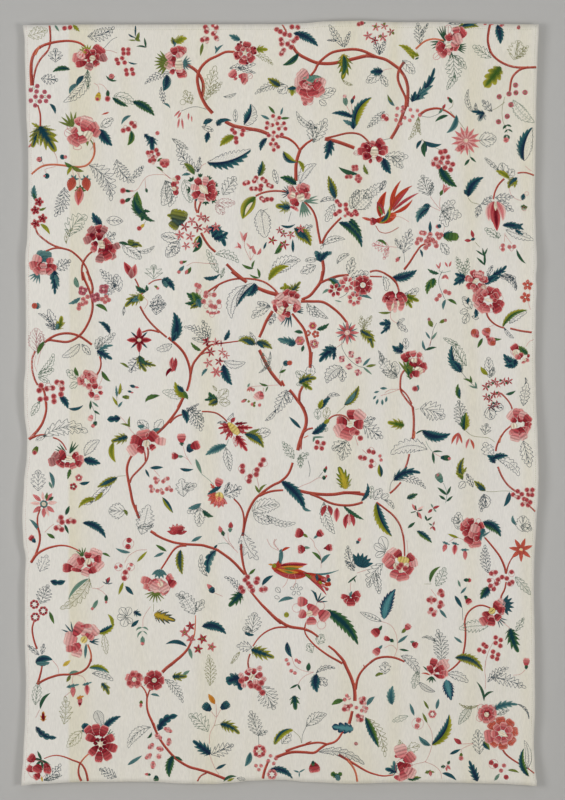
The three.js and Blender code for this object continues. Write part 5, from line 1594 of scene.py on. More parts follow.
chart.append("""
stem coral 6 6 -54.6 68.2 -54 70.3 -53 72.5 -52.1 75; 6 6 -53.4 68 -52.4 70.3 -51.8 72.6 -52 75 -51.8 78
 -52.5 81 -54 84 -55.8 86 -58.5 87.4 -61.5 87.2 -64 86.9 -65 87.6; 6 6 -64.8 87.4 -62.8 86 -60.5 85.2
 -58 85.1 -55.5 85.8 -53.6 87 -52 88.2; 5 5 -67.6 90 -68.4 92 -68.4 95 -67.8 97.5 -66.9 99.3; 6 5 -66
 99.5 -65 101.5 -64.6 105.5; 4 5 -49.9 91.4 -49.5 93 -49.8 95 -51 97; 4 4 -40.2 70 -39.3 71.8 -38.8
 73.8; 4 4 -37.9 73.6 -38.7 74.9; 3 3 -32.9 70.2 -35 70.6 -36.5 71.6; 5 5 -38.8 77.6 -37.5 80 -36 82
 -34 84 -31.4 86.2; 4 5 -38.2 84.8 -36.5 84.2 -35 84.3 -33.4 84.8
stem rosy 1 1 -67.4 91 -67.8 93.5 -67.2 95.6; 1 1 -65.5 88.5 -66.2 90.4 -67 93.8; 1 1 -49.4 95.4 -49.2
 97.5 -50 99.2; 1 1 -37.9 75 -36.6 76.5 -37.6 78.4
stem slate 1 1 -38.9 90 -39 91.6
stem straw 1 1 -45 104.8 -45.1 102 -43.4 100.3; 1 1 -45.2 101.5 -43.8 101.2
spiky navy -62.2 67.8 -62.2 74.4 .42 0
spiky teal -62.2 69 -61 72.3 .4 0
smooth sage -55.6 72.4 -56.6 69.7 .45 -.1
dots berry .75 -54.9 72.8 -53.9 73.2 -55 73.8 -54.4 73.9
dots berry .8 -49.2 72.4 -48.2 72.3 -49.3 73.4 -48.4 73.4 -51.8 74.9 -50.6 74.6 -50.4 75.5 -51.3 75.8
dots rose .65 -53.2 75 -54.4 75.7 -53.6 76.6 -55.4 77.2 -55.6 78.2 -54.6 77 -48.1 75 -47.4 75.9 -48.4
 76.4 -49.2 75.7
dots blush .35 -54.4 73.3 -48.8 72.9 -51 75.2 -54.5 76.4 -48.2 75.7
tooth teal -55.2 75.2 -58.5 76.9 .35 -.1
smooth leaf -51 77.3 -47.8 79.2 .32 -.15
dots coral .8 -67.8 77.5
smooth teal -67 78.4 -66.9 76.6 1 0
spiky limeOlive -61.6 84 -60.4 80.2 .75 .1
tooth teal -61.8 84 -61.3 82.3 .7 0
lobed slateSeed -62 84 -64 78.4 .45 0
plume slate -62.2 83.4 -66.8 79.6 .3 .1 -62 84.2 -64.8 82.4 .4 0
frill dustyLine -67 90.2 -67.4 83.6 .75 0 -66.6 90 -66 85 .5 0
smooth leaf -65 87.4 -66.9 91 .3 .1
frill greySeed -55.4 88 -60.2 91.5 .4 -.1
tooth slate -54.8 88 -52.4 91 .5 0
tooth navy -47.1 85.2 -50.3 81.9 .36 .35
lobed grey -51 89.4 -49.4 86 .6 0 -50.6 89.4 -45.6 85 .4 0
spiky navy -50.6 89.8 -46.4 92.2 .6 0
spiky teal -50 89.8 -46.2 88.4 .4 -.1
lobed mint -66.6 96 -62.6 90.6 .35 .15 -66.8 96.5 -62.4 95 .5 0 -66.8 97 -63.6 98.6 .5 0
dots rosyLine .8 -64 99.5 -60.4 99.4
dots crimson .6 -66 99.4 -66.5 100.8 -64.4 100.3 -62.8 100.1 -61.6 98.5 -60.3 98.7 -60.2 100.3 -60.5
 101.8 -66.2 103.2 -64.6 103 -62.5 102.4 -62.4 103.8
dots blush .5 -60.4 99.4 -63.6 100.1 -61 99
tooth navy -60.9 102.2 -58.6 105.8 .5 -.1
smooth navy -58.4 105.7 -54.4 104.8 .22 .15
round rose -53.4 97.6 -52.9 95.5 1 0 -54 98 -55.8 98.3 1 0
round pink -53.9 97.4 -55 96.6 1 0 -53 98.2 -51.4 96.2 .9 0
round rose -52.6 98.2 -50.9 98 1 0 -53 98.8 -52.6 100.2 1 0
round pink -53.8 98.8 -54.4 99.8 1 0
dots crimson .4 -54.9 98.2 -52.8 96.4 -51.6 98 -52.8 99.4
round crimson -51 100.4 -51.3 99 1 0 -51.4 101.4 -52.6 102.2 1 0 -50.3 101.2 -49 101.6 1 0
round pink -50.4 100.2 -49.2 99.8 .9 0 -50.8 101.8 -50.6 103.2 .9 0 -51.8 100.8 -52.8 100.6 .9 0
dots cream .35 -53 98.2 -50.7 101
frill mint -56 97.6 -59 95.2 .6 0 -56 98.6 -58 100 .8 0
smooth leaf -55.7 96.8 -56.6 94.3 .4 -.1 -49.2 95.5 -46.9 98.3 .33 .1
frill slate -44.5 73.6 -45.4 68.8 .6 0
plume slate -48.6 74.6 -45.2 71.6 .6 0
tooth pine -37 73.5 -40 71.9 .5 -.15 -36.8 73.4 -37 71.8 .9 0
spiky limeDark -38.3 75 -42.9 77.8 .7 .1
tooth teal -38.6 75.2 -41 76.2 .6 0
tooth lime -38.3 76.2 -38.8 74.1 1 0
tooth grey -43.1 77.6 -43.4 80.2 .3 0
plume slate -39.1 91.6 -41.6 95.8 .8 0
spiky limeDark -38.9 91.2 -37 95.6 .65 .1 -38.6 93 -34.4 94 .5 0
tooth pine -38.9 91.4 -37.2 93.8 .4 0
smooth olive -42 94.6 -44.4 93.2 .26 .1
tooth teal -45.1 102.6 -45.4 99.4 .24 0
smooth lime -44.6 102 -44.2 98.7 .26 .05 -44.9 105 -46.4 102.4 .25 0
smooth teal -44.8 105.4 -43.6 103.8 .35 0
smooth navy -41.6 99.4 -39.8 99.9 .5 0
smooth rose -39.1 100 -40.3 99.8 .5 0
smooth navy -42.2 100.9 -40.9 101.3 .5 0
smooth rose -40.6 101.4 -41.4 101.3 .6 0
round olive -43.7 102.5 -41.9 102.7 .5 0
tooth leaf -37.3 104 -34.2 102 .3 -.3
stem coral 7 6 -31 86.2 -28 88.9 -26.4 91 -25.3 93.8 -24.9 96.5 -25.3 99 -25.9 101; 6 6 -24.9 96.5 -24.2
 93.6 -22.8 91.6 -21 89.6 -19.5 88.4; 3 3 -22.6 91.2 -20.5 90.3 -19.4 90.3; 4 3 -20 88.4 -18 88 -15.5
 87.7 -11.7 87.2; 7 6 -26.9 102.8 -28.4 105.5; 5 5 -.7 74.4 -2 72.8 -4.5 71 -7.5 70.2 -11 70 -14 70.4
 -17 71.6 -20.4 73.8; 3 3 -17 71.6 -18.6 73.6; 9 8 -13.6 68 -11.5 69.6 -9.4 71; 9 10 -7.4 72.2 -4 73.6
 -.8 74.5; 8 7 -2.3 78.9 -4 81.6 -5 84 -6 86.2; 8 9 -6 89.6 -4.5 92.6 -3 95.4 -1 98 .4 99.4; 6 4 .9
 99.6 .2 98
stem rosy 1 1 -8.4 99.7 -5.5 99.5 -3.4 99.4 .6 99.2; 1 1 -5 101.5 -4.8 100
stem straw 1 1 -.4 97.6 -.2 96 0 95.4
tooth navy -32.8 70.4 -29.4 73.4 .5 -.2 -32.5 71.5 -31 69.6 1 0
tooth teal -32.2 70.6 -31.4 72.6 .8 0
smooth olive -34.8 72 -33.8 72.6 .7 0
dots rose .4 -33.9 72.7
lobed slate -34.4 80 -33.6 74.4 .75 0 -36.2 77.6 -31.6 77 .6 0
dots rose .7 -23.2 71.8 -22.5 72.1 -20.6 74 -20.7 74.8 -18.4 74.5 -21.3 76.3 -17.1 76.4 -19.2 77.5 -18.2
 77.8
dots blush .6 -23 73.2 -19.6 74.4 -19.4 76.4
dots rose .42 -20.2 79.1 -19.3 79.5 -18.2 79.5 -17.2 79.2
dots rosyLine .7 -22.6 73.4 -20.6 77.6 -18.4 78.6 -17 77.6 -19 80
smooth rose -20 79.5 -17.2 79.6 .25 0
tooth pine -22.3 76.9 -26 73.9 .5 0
tooth leaf -22.4 77.2 -24.6 73.8 .7 .1
tooth pine -22.5 77 -26.5 76.8 .4 0
tooth limeDark -22 77 -25 78.4 .5 .1
tooth teal -22.8 75.6 -22.2 78 1 0
plume slate -20 88 -26.7 83.3 .35 .25
plume grey -19.6 86.5 -21.6 81.4 .5 0
tooth grey -20 87.4 -24.5 86.4 .3 0
tooth navy -30 87.3 -29.6 79.2 .42 .15 -29.8 87.2 -28.7 84.6 .6 0
frill slateRing -30 88 -34.2 89.4 .5 -.1
smooth wine -29.4 94.6 -31.6 97 .3 .2
smooth teal -29 95.2 -29.6 93.6 .5 0
tooth lime -26.1 102.8 -29.2 98.4 .5 -.1
smooth leaf -25.6 103.2 -27 100.6 .35 0
tooth navy -26.8 101.2 -28.6 99.4 .6 0
frill mintRing -26.6 102.6 -32.6 101 .42 0
smooth leaf -33.4 102.2 -37.4 103.8 .25 .1
tooth leaf -22 89.8 -24.8 87.5 .34 -.1
tooth navy -15.7 87 -14.3 84 .45 .1
star crimson -20.5 87.4 .1 1.4 5 0 .38
star rose -18 87.5 .1 1.3 5 .4 .38
star crimson -16.5 87.8 .1 1 4 0 .38
star crimson -19.4 90.2 .1 1.5 6 .2 .38
star rose -16.2 90.2 .1 1.3 5 .2 .38
star rose -15.1 91.2 .1 1.1 5 0 .38
star rose -20 93.2 .1 1.5 5 .6 .38
star crimson -17 92.8 .1 1.4 5 .1 .38
star rose -17.8 95.7 .1 1.7 6 .1 .38
dots wine .3 -20.6 86.8 -20.4 88.2 -17.7 87.7 -16.4 87.8 -16.7 92.5
tooth teal -20.2 94.8 -21.8 96.9 .38 .1
tooth navy -15.8 93.6 -13.4 99.3 .45 .1
tooth slateSeed -15.8 92.6 -9.8 93 .4 .15
tooth navy/slateHatch -7.2 71.3 -12.2 77.8 .3 .1
tooth navy -7 71.4 -9.4 74.8 .6 -.15
tooth slateSeed -9.6 71.8 -13.6 81 .35 .25
lobed grey -2.9 77.8 -8 80.9 .5 .1
lobed slate -3 77.6 -6.6 76.6 .5 0
plume slate -1.6 79.6 -3.2 82.8 .6 0
tooth limeDark -7.2 88.3 -11.8 87.2 .55 .2
tooth navy -7.8 88.4 -10 87.2 .4 .1
tooth limeDark -6.7 87.4 -2.4 89.4 .5 -.1
tooth navy -6.7 87.4 -4.6 89.2 .4 0
frill mint -7.3 87.4 -11.6 86.2 .5 0
tooth grey -6.6 88.4 -8.6 84.6 .3 0
tooth mint -5 90.4 -2.6 95.4 .4 .1
tooth grey -3 90 -6.2 96 .15 -.2
fan coral -8.8 100 1.2 -120 -10 4 .4
dots rose .5 -8.6 100.3 -7.7 100.6
smooth sage -9.2 99.8 -8.6 98.8 .5 0
smooth leaf -3.6 99.4 -6 98.6 .25 -.1 -3.6 99.6 -4.3 101.2 .25 0
round pink -5.2 101 -6.9 102.9 .6 0
round rose -5.4 101.2 -5.4 103 .6 0
smooth leaf -9.4 103.2 -11 104 .5 0
smooth rose -9.7 103.4 -11 104 .6 0
dots rose .5 -7.9 104.6 -5.9 104.8
dots olive .35 -8.9 103.8 -7.3 104.2 -7.4 105
tooth pine -17.4 104 -19.8 101.2 .7 -.1
spiky pine -17.6 103 -21.1 103.4 .5 0
tooth limeDark -17.4 103.6 -20 104.8 .8 0
frill straw -17.2 103 -14.6 100.6 .9 0 -17 104 -14 104.2 .8 0
tooth straw -17.6 101 -18.8 99.4 .4 0
plume slate -26 106.6 -22.6 104.4 .3 0
smooth leaf -.3 95.9 1.4 95 .4 0
tooth teal 2.4 87.4 -1 86.6 .4 -.1
stem coral 8 7 11.5 68 10.9 70.8 9.4 73 7.8 74.8 5.6 75.8; 6 5 10.8 71.2 13 70.2 15.5 69.3 18.6 69; 7 6
 5.4 76.3 8.5 76.3 11.6 76.5 14.4 78.2 16.6 80.2 18 82; 6 8 3 79.6 4.6 81.6 6.4 84.1 7.2 87 8 90 8 92.4
 8 94.6; 5 4 8.5 90.2 8.3 93.5; 8 7 2.3 100.6 3.6 102.2 5 104.2 6.4 105.8; 6 7 6 99.6 5.1 101.5 5
 103.6; 5 5 28.5 68.6 30.6 69.9 31.8 71.4 32.5 73.6; 5 5 34.4 94.8 33.2 96.2 32.8 98.6 33 101 34.4
 103.2 36.4 105.6; 4 4 33 100.4 34.6 102 36 104.5
stem rosy 1 1 32.8 100.4 30 100.6 28.6 101.4; 1 1 32.8 100.4 29.5 101.6 27.4 102.2; 1 1 30.2 77.8 30.1
 80.6 31 81.8 32.4 82.4
stem grey 1 1 19 72.2 18 74.2 16 75.4; 1 1 16.8 86.6 16.8 89 18.4 91.8 21 94 23 94.5
stem rosy 1 1 15.2 89 17.2 87.6
smooth crimson 3.8 75.2 .6 73.8 .4 .1
round crimson 2.6 75.6 1 73.6 .8 0 3.2 75.4 3.2 73.5 .9 0 3.8 75.6 4.8 74.4 .8 0
round pink 1.8 77 1.2 75 .8 0 2.4 77 2.8 75.4 .8 0 4 77 4 75.6 .9 0
round blush .6 76.4 -.8 74.6 .9 0
round crimson 2 77.8 .2 76.6 .7 0
round rose .4 77 -2.2 77 .5 .2
round crimson -.6 79.8 -1.9 76.8 .35 -.1
round pink .2 78.6 -.6 76.4 .5 0 1 80 -.4 81.2 .8 0
round crimson 1.6 78.2 .8 80.2 .7 0 2.2 79 1.6 80.4 .8 0 3.4 77.8 4.2 79 .8 0
round pink 3.6 77.6 5 76.6 .8 0
round rose 3.4 77.2 5.1 78.2 .6 0
round cream .6 77.6 -.6 79.6 .5 0
smooth cream 1.4 78.9 3.2 77.4 .5 0
round blush 3.6 75 2.6 76.6 .7 0
fan navy 2.4 79.2 4.5 -125 -83 4 .1
fan navy 3.4 78.8 3 -18 18 4 .13
spiky limeDark 4 74 -.4 72.8 .6 .2 2.6 74 5.4 70.8 .6 0
spiky lime 1.6 73.8 1 71.2 .9 0
plume grey 7.2 76.8 10.4 80.6 .5 .1
tooth grey 9 77.4 13 81 .3 .1
tooth teal/leaf 13.2 70 16.6 73.4 .4 -.1
dots cream .45 14.7 73
tooth sage 13.4 73 11.4 74.2 .4 .1
dots rose .3 17.5 71.2
smooth cream 22.2 71 22.8 72.6 .5 0
smooth teal 19.4 73.8 25 75.6 .2 -.05
smooth cream 19.2 75.3 20.8 75.7 .5 0
smooth sage 16.6 76.4 14.8 76 .2 0
lobed greyRing 28 69.4 28.8 73.4 .5 -.15
dots wine .35 29.6 75.6 31.8 75.8 29 75.4
smooth olive 30.2 79.3 26.7 79.3 .2 -.05
tooth navy 34.2 74.6 37 76 .6 0
spiky limeOlive 34.2 75.2 36 78.1 .7 0 34.4 74.8 38 76.2 .7 0
lobed grey 34 74 37.8 72.6 .6 .2
spiky navy 30.2 82.4 27 82.4 .9 0 30 83 27.4 85.2 .5 0 30 82.6 28.6 81.2 .9 0
lobed slate 31.8 82.3 34.8 84.6 .5 0 32 82.2 34 81 .5 0
spiky limeDark 21.8 84.2 25.2 89.2 .6 -.15
tooth limeDark 22 84.4 25.6 86.4 .5 0
plume straw 22.6 84 22 80.2 .6 0 22.6 83.6 25 80.2 .5 0
ring rose 8.7 83 .2 1.2 6 .1 .8
tooth pine 9.8 84 13.2 82.3 .4 .1
smooth pine 6 85 3.6 84.7 .45 .1
ring coral 7.4 85 .2 .9 5 .1 .7
ring coral 9.5 85.3 .2 1.1 5 .6 .7
dots rose 1.15 5.2 87.1
ring crimson 5.2 87.1 .3 1.35 6 0 .7
ring rose 9.1 88 .3 1.4 6 .3 .7
dots mustard .25 8.7 83 5.2 87.1 9.2 88
spiky teal 4 87.6 -.8 86.5 .5 0
tooth navy 4 87.7 2 88.4 .8 0
smooth pine 6.2 88.4 5.7 90.2 .5 0
spiky navy 15.2 89.1 10.6 93 .65 .1 14.8 89.6 12 88.8 .6 0 14.8 90.4 14.4 92.4 .9 0
dots berry .5 19 90.4 19.5 91.3 16.4 91.8 17 92.5 21.5 92 21 93 18.8 93.8 18.6 94.6 21.2 95.4 21 96.3
dots pink .5 19.6 90.4 19 91.2 17.1 91.7 16.4 92.6 20.8 92.3 21.7 92.7 18.2 94.2 19.2 94.4 20.6 95.6 21.7
 95.9
smooth teal 22.5 94 24.6 91.8 .26 0
smooth olive 23.4 94.2 26.2 93.7 .28 0
smooth sage 22.6 94.4 25 96.4 .2 0
tooth slateHatch 16.9 94.4 12.6 98.8 .6 .2
lobed slate 17 94.8 16.8 98.4 .7 0
frill mint 7.6 98 4 95.6 .6 0
frill greyRing 7.8 97 8.4 93.8 .9 0
frill mint 7 98.6 4.2 99.2 .5 0
tooth navy 5 98.7 9 97.2 .6 0
spiky limeDark 5 98.7 9.8 97.4 .7 -.1
spiky limeOlive 6 98.8 8.6 100.6 .8 0
dots navy .8 1.3 93.3
dots coral .7 2.4 93.2
stem sage 1 1 .5 94 .2 94.8 -.6 96
tooth limeDark 17.4 104.8 21.4 99.4 .38 .1
smooth teal 17.6 104.4 20.4 101 .28 .1
tooth navy 10.8 106 13.6 102.8 .45 -.1
tooth lime 10.4 105.8 11.4 103.2 .6 0
tooth slate 12.4 103 16.2 102.2 .3 -.35
plume grey 27.9 93.4 26.7 89.8 .35 .1
lobed greyRing 32 97 27.4 91 .5 -.1
frill greyRing 31.8 96.6 31.2 92.8 .7 0 32 97.2 28 95.4 .5 0
tooth navy 33.6 90.2 30.6 88.4 .7 -.1 33.4 89.6 32.6 87.6 .8 0
lobed grey 34.4 89.5 34.2 86.4 .7 0
spiky olive 35.4 97.8 33.4 90.8 .3 .2
round crimson 34.6 93 33.7 90.8 .7 0 35.4 91.8 35 90.2 .8 0
round rose 36.6 91.6 36.2 90 .9 0 37.4 91.6 38.4 90.6 .8 0
round rosyLine 37.4 93 38.8 91.2 .8 0
round crimson 35.6 94 36.8 92.4 .9 0 36.4 94.4 38.4 92.6 .7 0 37.8 94.6 39.9 94 .8 0
round rose 37.6 95 39.4 95.4 .5 0
round cream 35.6 92.4 37.2 92.6 .6 0 37 94.4 38.4 96 .8 0
round crimson 35.8 95.9 37.9 96.3 .7 0 35.6 96 36 97.3 .7 0
fan olive 35 96 4.2 95 130 3 .16
spiky leaf 35.8 97.6 35 92.4 .35 -.1
smooth olive 34.6 94.6 36.6 94 .5 0
smooth teal 27.3 100.2 29.2 100.2 .4 0 25.6 101.4 27 101 .4 0 25.3 103.2 26.2 102.2 .45 0
 26.2 104.6 26.7 103.1 .45 0 27.9 104.8 27.8 103.2 .45 0 28.8 104 29.1 102.4 .45 0
dots crimson .6 36.8 100.3
smooth teal 37.4 101 37.7 99.2 .6 0
stem coral 5 4 56.4 78.8 56.9 80.6 58.3 82.2 60 83.2 61.4 83.6; 5 5 63 83.7 66 84.4 69 84.8
stem grey 1 1 44.4 67.8 43.4 70 43.5 72 44.5 74.5 45 75.6; 1 1 42.8 82.2 41.8 84.4 41 88.6
stem rosy 1 1 41.4 86.4 40.6 89 40 89.6
stem grey 1 1 49.8 96 51.8 98.4 54 100.2
stem rosy 1 1 67.4 88.7 68.2 87.4 69.6 86.7; 1 1 68.2 71.2 68.4 74 68 76.4 68.6 78.6; 1 1 57 83.4 58.5
 82.8
tooth leaf 42.4 70 40.2 74.4 .42 .15 42 69.9 41.6 72.6 .8 0
smooth rose 44.2 70 45.6 69 .5 0 46 70.2 45 68.9 .45 0
dots rose .45 45 69.4
spiky navy 50.4 69.8 47.4 71.8 .6 0 50.4 69.6 47.8 68.6 .7 0
dots rose .65 45.2 73.6 46.2 74 43.6 74.7 42.8 75.7
smooth teal 45.3 75.8 44.6 78.6 .32 .1
smooth leaf 45.8 75.8 48.3 77.2 .32 -.1
ring crimson 53.7 70.7 1 3 7 .15 .68
ring rose 53.7 70.7 .8 2.4 5 .4 .7
smooth cream 52.6 71.1 54.5 70.4 .55 0
round rose 54 72.4 53.6 73.8 1 0
round pink 54.2 70 54.6 68.4 1 0
smooth wine 52.4 70.2 53.6 69.6 .5 0
tooth navy 56 71.7 59.6 69.3 .55 -.1
smooth cream 55 72.4 56.6 72.6 1 0
dots rosyLine .9 55.6 73.2 60.2 75.4 57.8 78.4
round crimson 57.2 74.8 58 72.6 .9 0 57.8 75 60 73.6 .8 0
round rose 55.4 75.6 52.9 75.2 .8 0 55.8 75 54.2 73.4 .9 0 56.6 74.8 55.6 73.4 .9 0
round crimson 58 75.4 59.6 74.6 .9 0 58.2 76.4 60.8 77.8 .8 0 58.6 77 59.8 79.2 .8 0
round rose 57.4 77 58 78.2 .8 0 56.2 77 54.6 78.8 .9 0 56.6 77.2 56.4 79.2 .8 0
round crimson 55.6 76.4 54 76 .8 0
dots crimson .5 56 74.4 55.2 75.6 55.8 77.2 58.8 76 58 75
smooth cream 56 75.7 58.4 76.3 .4 0
round pink 54.4 76.4 53.4 77.6 .8 0
tooth navy 51.2 76.8 51.6 75.2 .7 0
frill grey 52.4 78.4 50 75 .6 0 51.6 79.6 50.2 82.4 .7 0 51.4 78.8 49.2 79.4 .8 0 52.4 80.4 54.4 81 .6 0
tooth navy 53.4 78.4 53.2 80.8 .6 -.35
tooth lime/leaf 60.9 83.4 67.8 78.7 .22 -.28
lobed greyRing 62.8 82.4 67.6 79.2 .4 -.1
tooth slate 61.4 83.5 64.1 86.4 .3 .1
plume slate 60.4 69.2 64.6 73.4 .3 -.25
tooth slate 61.4 68.6 64.8 73 .15 -.3
ring coral 67.8 71.8 .2 1.5 5 .3 .4
ring coral 67.2 75.2 .2 1.5 5 .6 .4
smooth olive 41.6 83.3 40.5 81.2 .6 0
dots dusty .45 40.7 81.2 45.2 81.5
smooth olive 43.6 82.2 45.4 81.2 .5 0
smooth teal 41 86.6 39.7 84.6 .26 0
smooth sage 41.4 86.8 42.9 84.7 .26 0
smooth teal 39.8 89.8 39 86.9 .26 -.1
smooth pine 39.7 89.7 42.8 88.9 .24 -.05
dots rose 1.2 53.3 85 56.4 84.7 57.9 87.3
dots coral .7 53 84.6 56.9 84.2 58.3 87.8
dots crimson .4 53.9 85.8 56.8 86 57.2 86.8
smooth leaf 55.4 86.4 54 89.1 .32 0 57.7 86.3 60.7 86.6 .26 .1
tooth navy/mint 49.8 95.8 47 88.4 .5 -.1
tooth navy 49.6 95.6 46.8 92.6 .45 .1
lobed mint 51 94 47.8 87.2 .5 -.1
tooth mint 48.6 88.4 44.6 86.3 .3 0
tooth leaf 49.2 103.1 48.7 98.9 .36 -.1
tooth navy 49.1 102.6 49 100 .3 0
smooth leaf 52.6 98.7 50 97.6 .22 .1 52.4 98.7 52 96.7 .3 0
smooth sage 53.8 100.2 51.6 99.4 .22 0 53.8 100 53.3 98.4 .3 0
round crimson 65 90 63.8 88.4 .9 0
round cream 65.8 90 64 90.8 .8 0
round rosyLine 65.4 91 63.2 89.6 .7 0
round crimson 66 91.8 66 90.4 1.1 0
round rose 66 92 64.6 91.4 .7 0 67.2 92 68.2 92.8 .9 0
round crimson 67.8 91.8 68.3 90.8 .8 0
round rose 66.6 92.6 66.8 93.4 1.4 0
round cream 66.8 91.8 67.2 92.8 .8 0
tooth leaf 67.9 90.9 65 88.4 .5 0
smooth leaf 65.8 90.4 65.6 88.6 .6 0
tooth navy 65 93.9 61.2 90.7 .6 -.1 64.8 93.8 61.4 94 .6 0 64.6 92.2 64 94.6 .8 0
smooth lime 56.9 96.4 54.9 94.2 .42 -.1
frill grey 57.4 97.3 57 91.6 .5 0 57.8 97 58.4 94.4 .6 0
star crimson 56.3 99.8 .1 1.3 5 .2 .4
star crimson 57.3 98.9 .1 1 5 .6 .4
star crimson 58.8 98.4 .1 1.3 5 .1 .4
star rose 59.6 99.2 .1 1 5 .5 .4
star crimson 61.2 98.4 .1 1.3 5 0 .4
star crimson 62.7 98.2 .1 1.2 5 .5 .4
star crimson 56.4 102.6 .1 1.2 5 .3 .4
star crimson 57.4 103.2 .1 1.1 5 .6 .4
star crimson 58.5 101.9 .1 1.2 5 .1 .4
star rose 59.9 101.9 .1 1.1 5 .4 .4
star crimson 59.2 104.6 .1 1.2 5 .2 .4
star crimson 57.8 105.2 .1 1.2 5 .2 .4
dots pine .3 57 99.8 58.2 98.8 60.3 98 62 98.7 57.2 102.2 59.4 101.4 58.4 104.2
stem coral 4 4 58.2 101.8 60 101.4 61.6 102.6 63 104.4 63.6 106
smooth pine 61.8 101.8 64.5 100.8 .3 .1
lobed slateRing 66.6 105 67.6 98.6 .45 0
tooth slate 67.2 99 67.1 97.2 .3 .3
smooth rose -29.8 91.6 -29 95.6 .36 .15
smooth crimson -29 91.8 -30.2 95.8 .3 -.1
ring crimson 14.8 73.2 .5 1.9 6 .2 .85
ring rose 18.2 71.5 .7 2.1 7 .1 .75
ring crimson 22.5 71.8 .7 2.5 7 .3 .85
ring rose 20.2 75.6 .7 2 7 .1 .75
round crimson 31.2 73.8 29.2 76.6 .7 .1 31.9 73.8 33.4 76.4 .7 -.1
round rose 31 74.2 30.4 79 .4 .17 31.9 74.2 32.6 79 .38 -.17
round pink 31.4 75 31.3 79.4 .28 0
smooth cream 31 76.6 30.4 78.8 .3 0 32.2 76 32.4 77.8 .36 0
star navy -39 86.9 .6 3.2 4 .785 .22
star crimson -39 86.9 .2 3.5 4 0 .46
star wine -39 86.9 .3 2 4 .785 .4
dots cream .55 -39 86.9
star teal 18.2 84.9 .8 3.2 8 .39 .13
star rose 18.2 84.9 .4 3.3 8 0 .33
star crimson 18.2 84.9 .3 2 4 .785 .4
dots blush .8 18.2 84.9
dots cream .4 18.2 84.9
""")
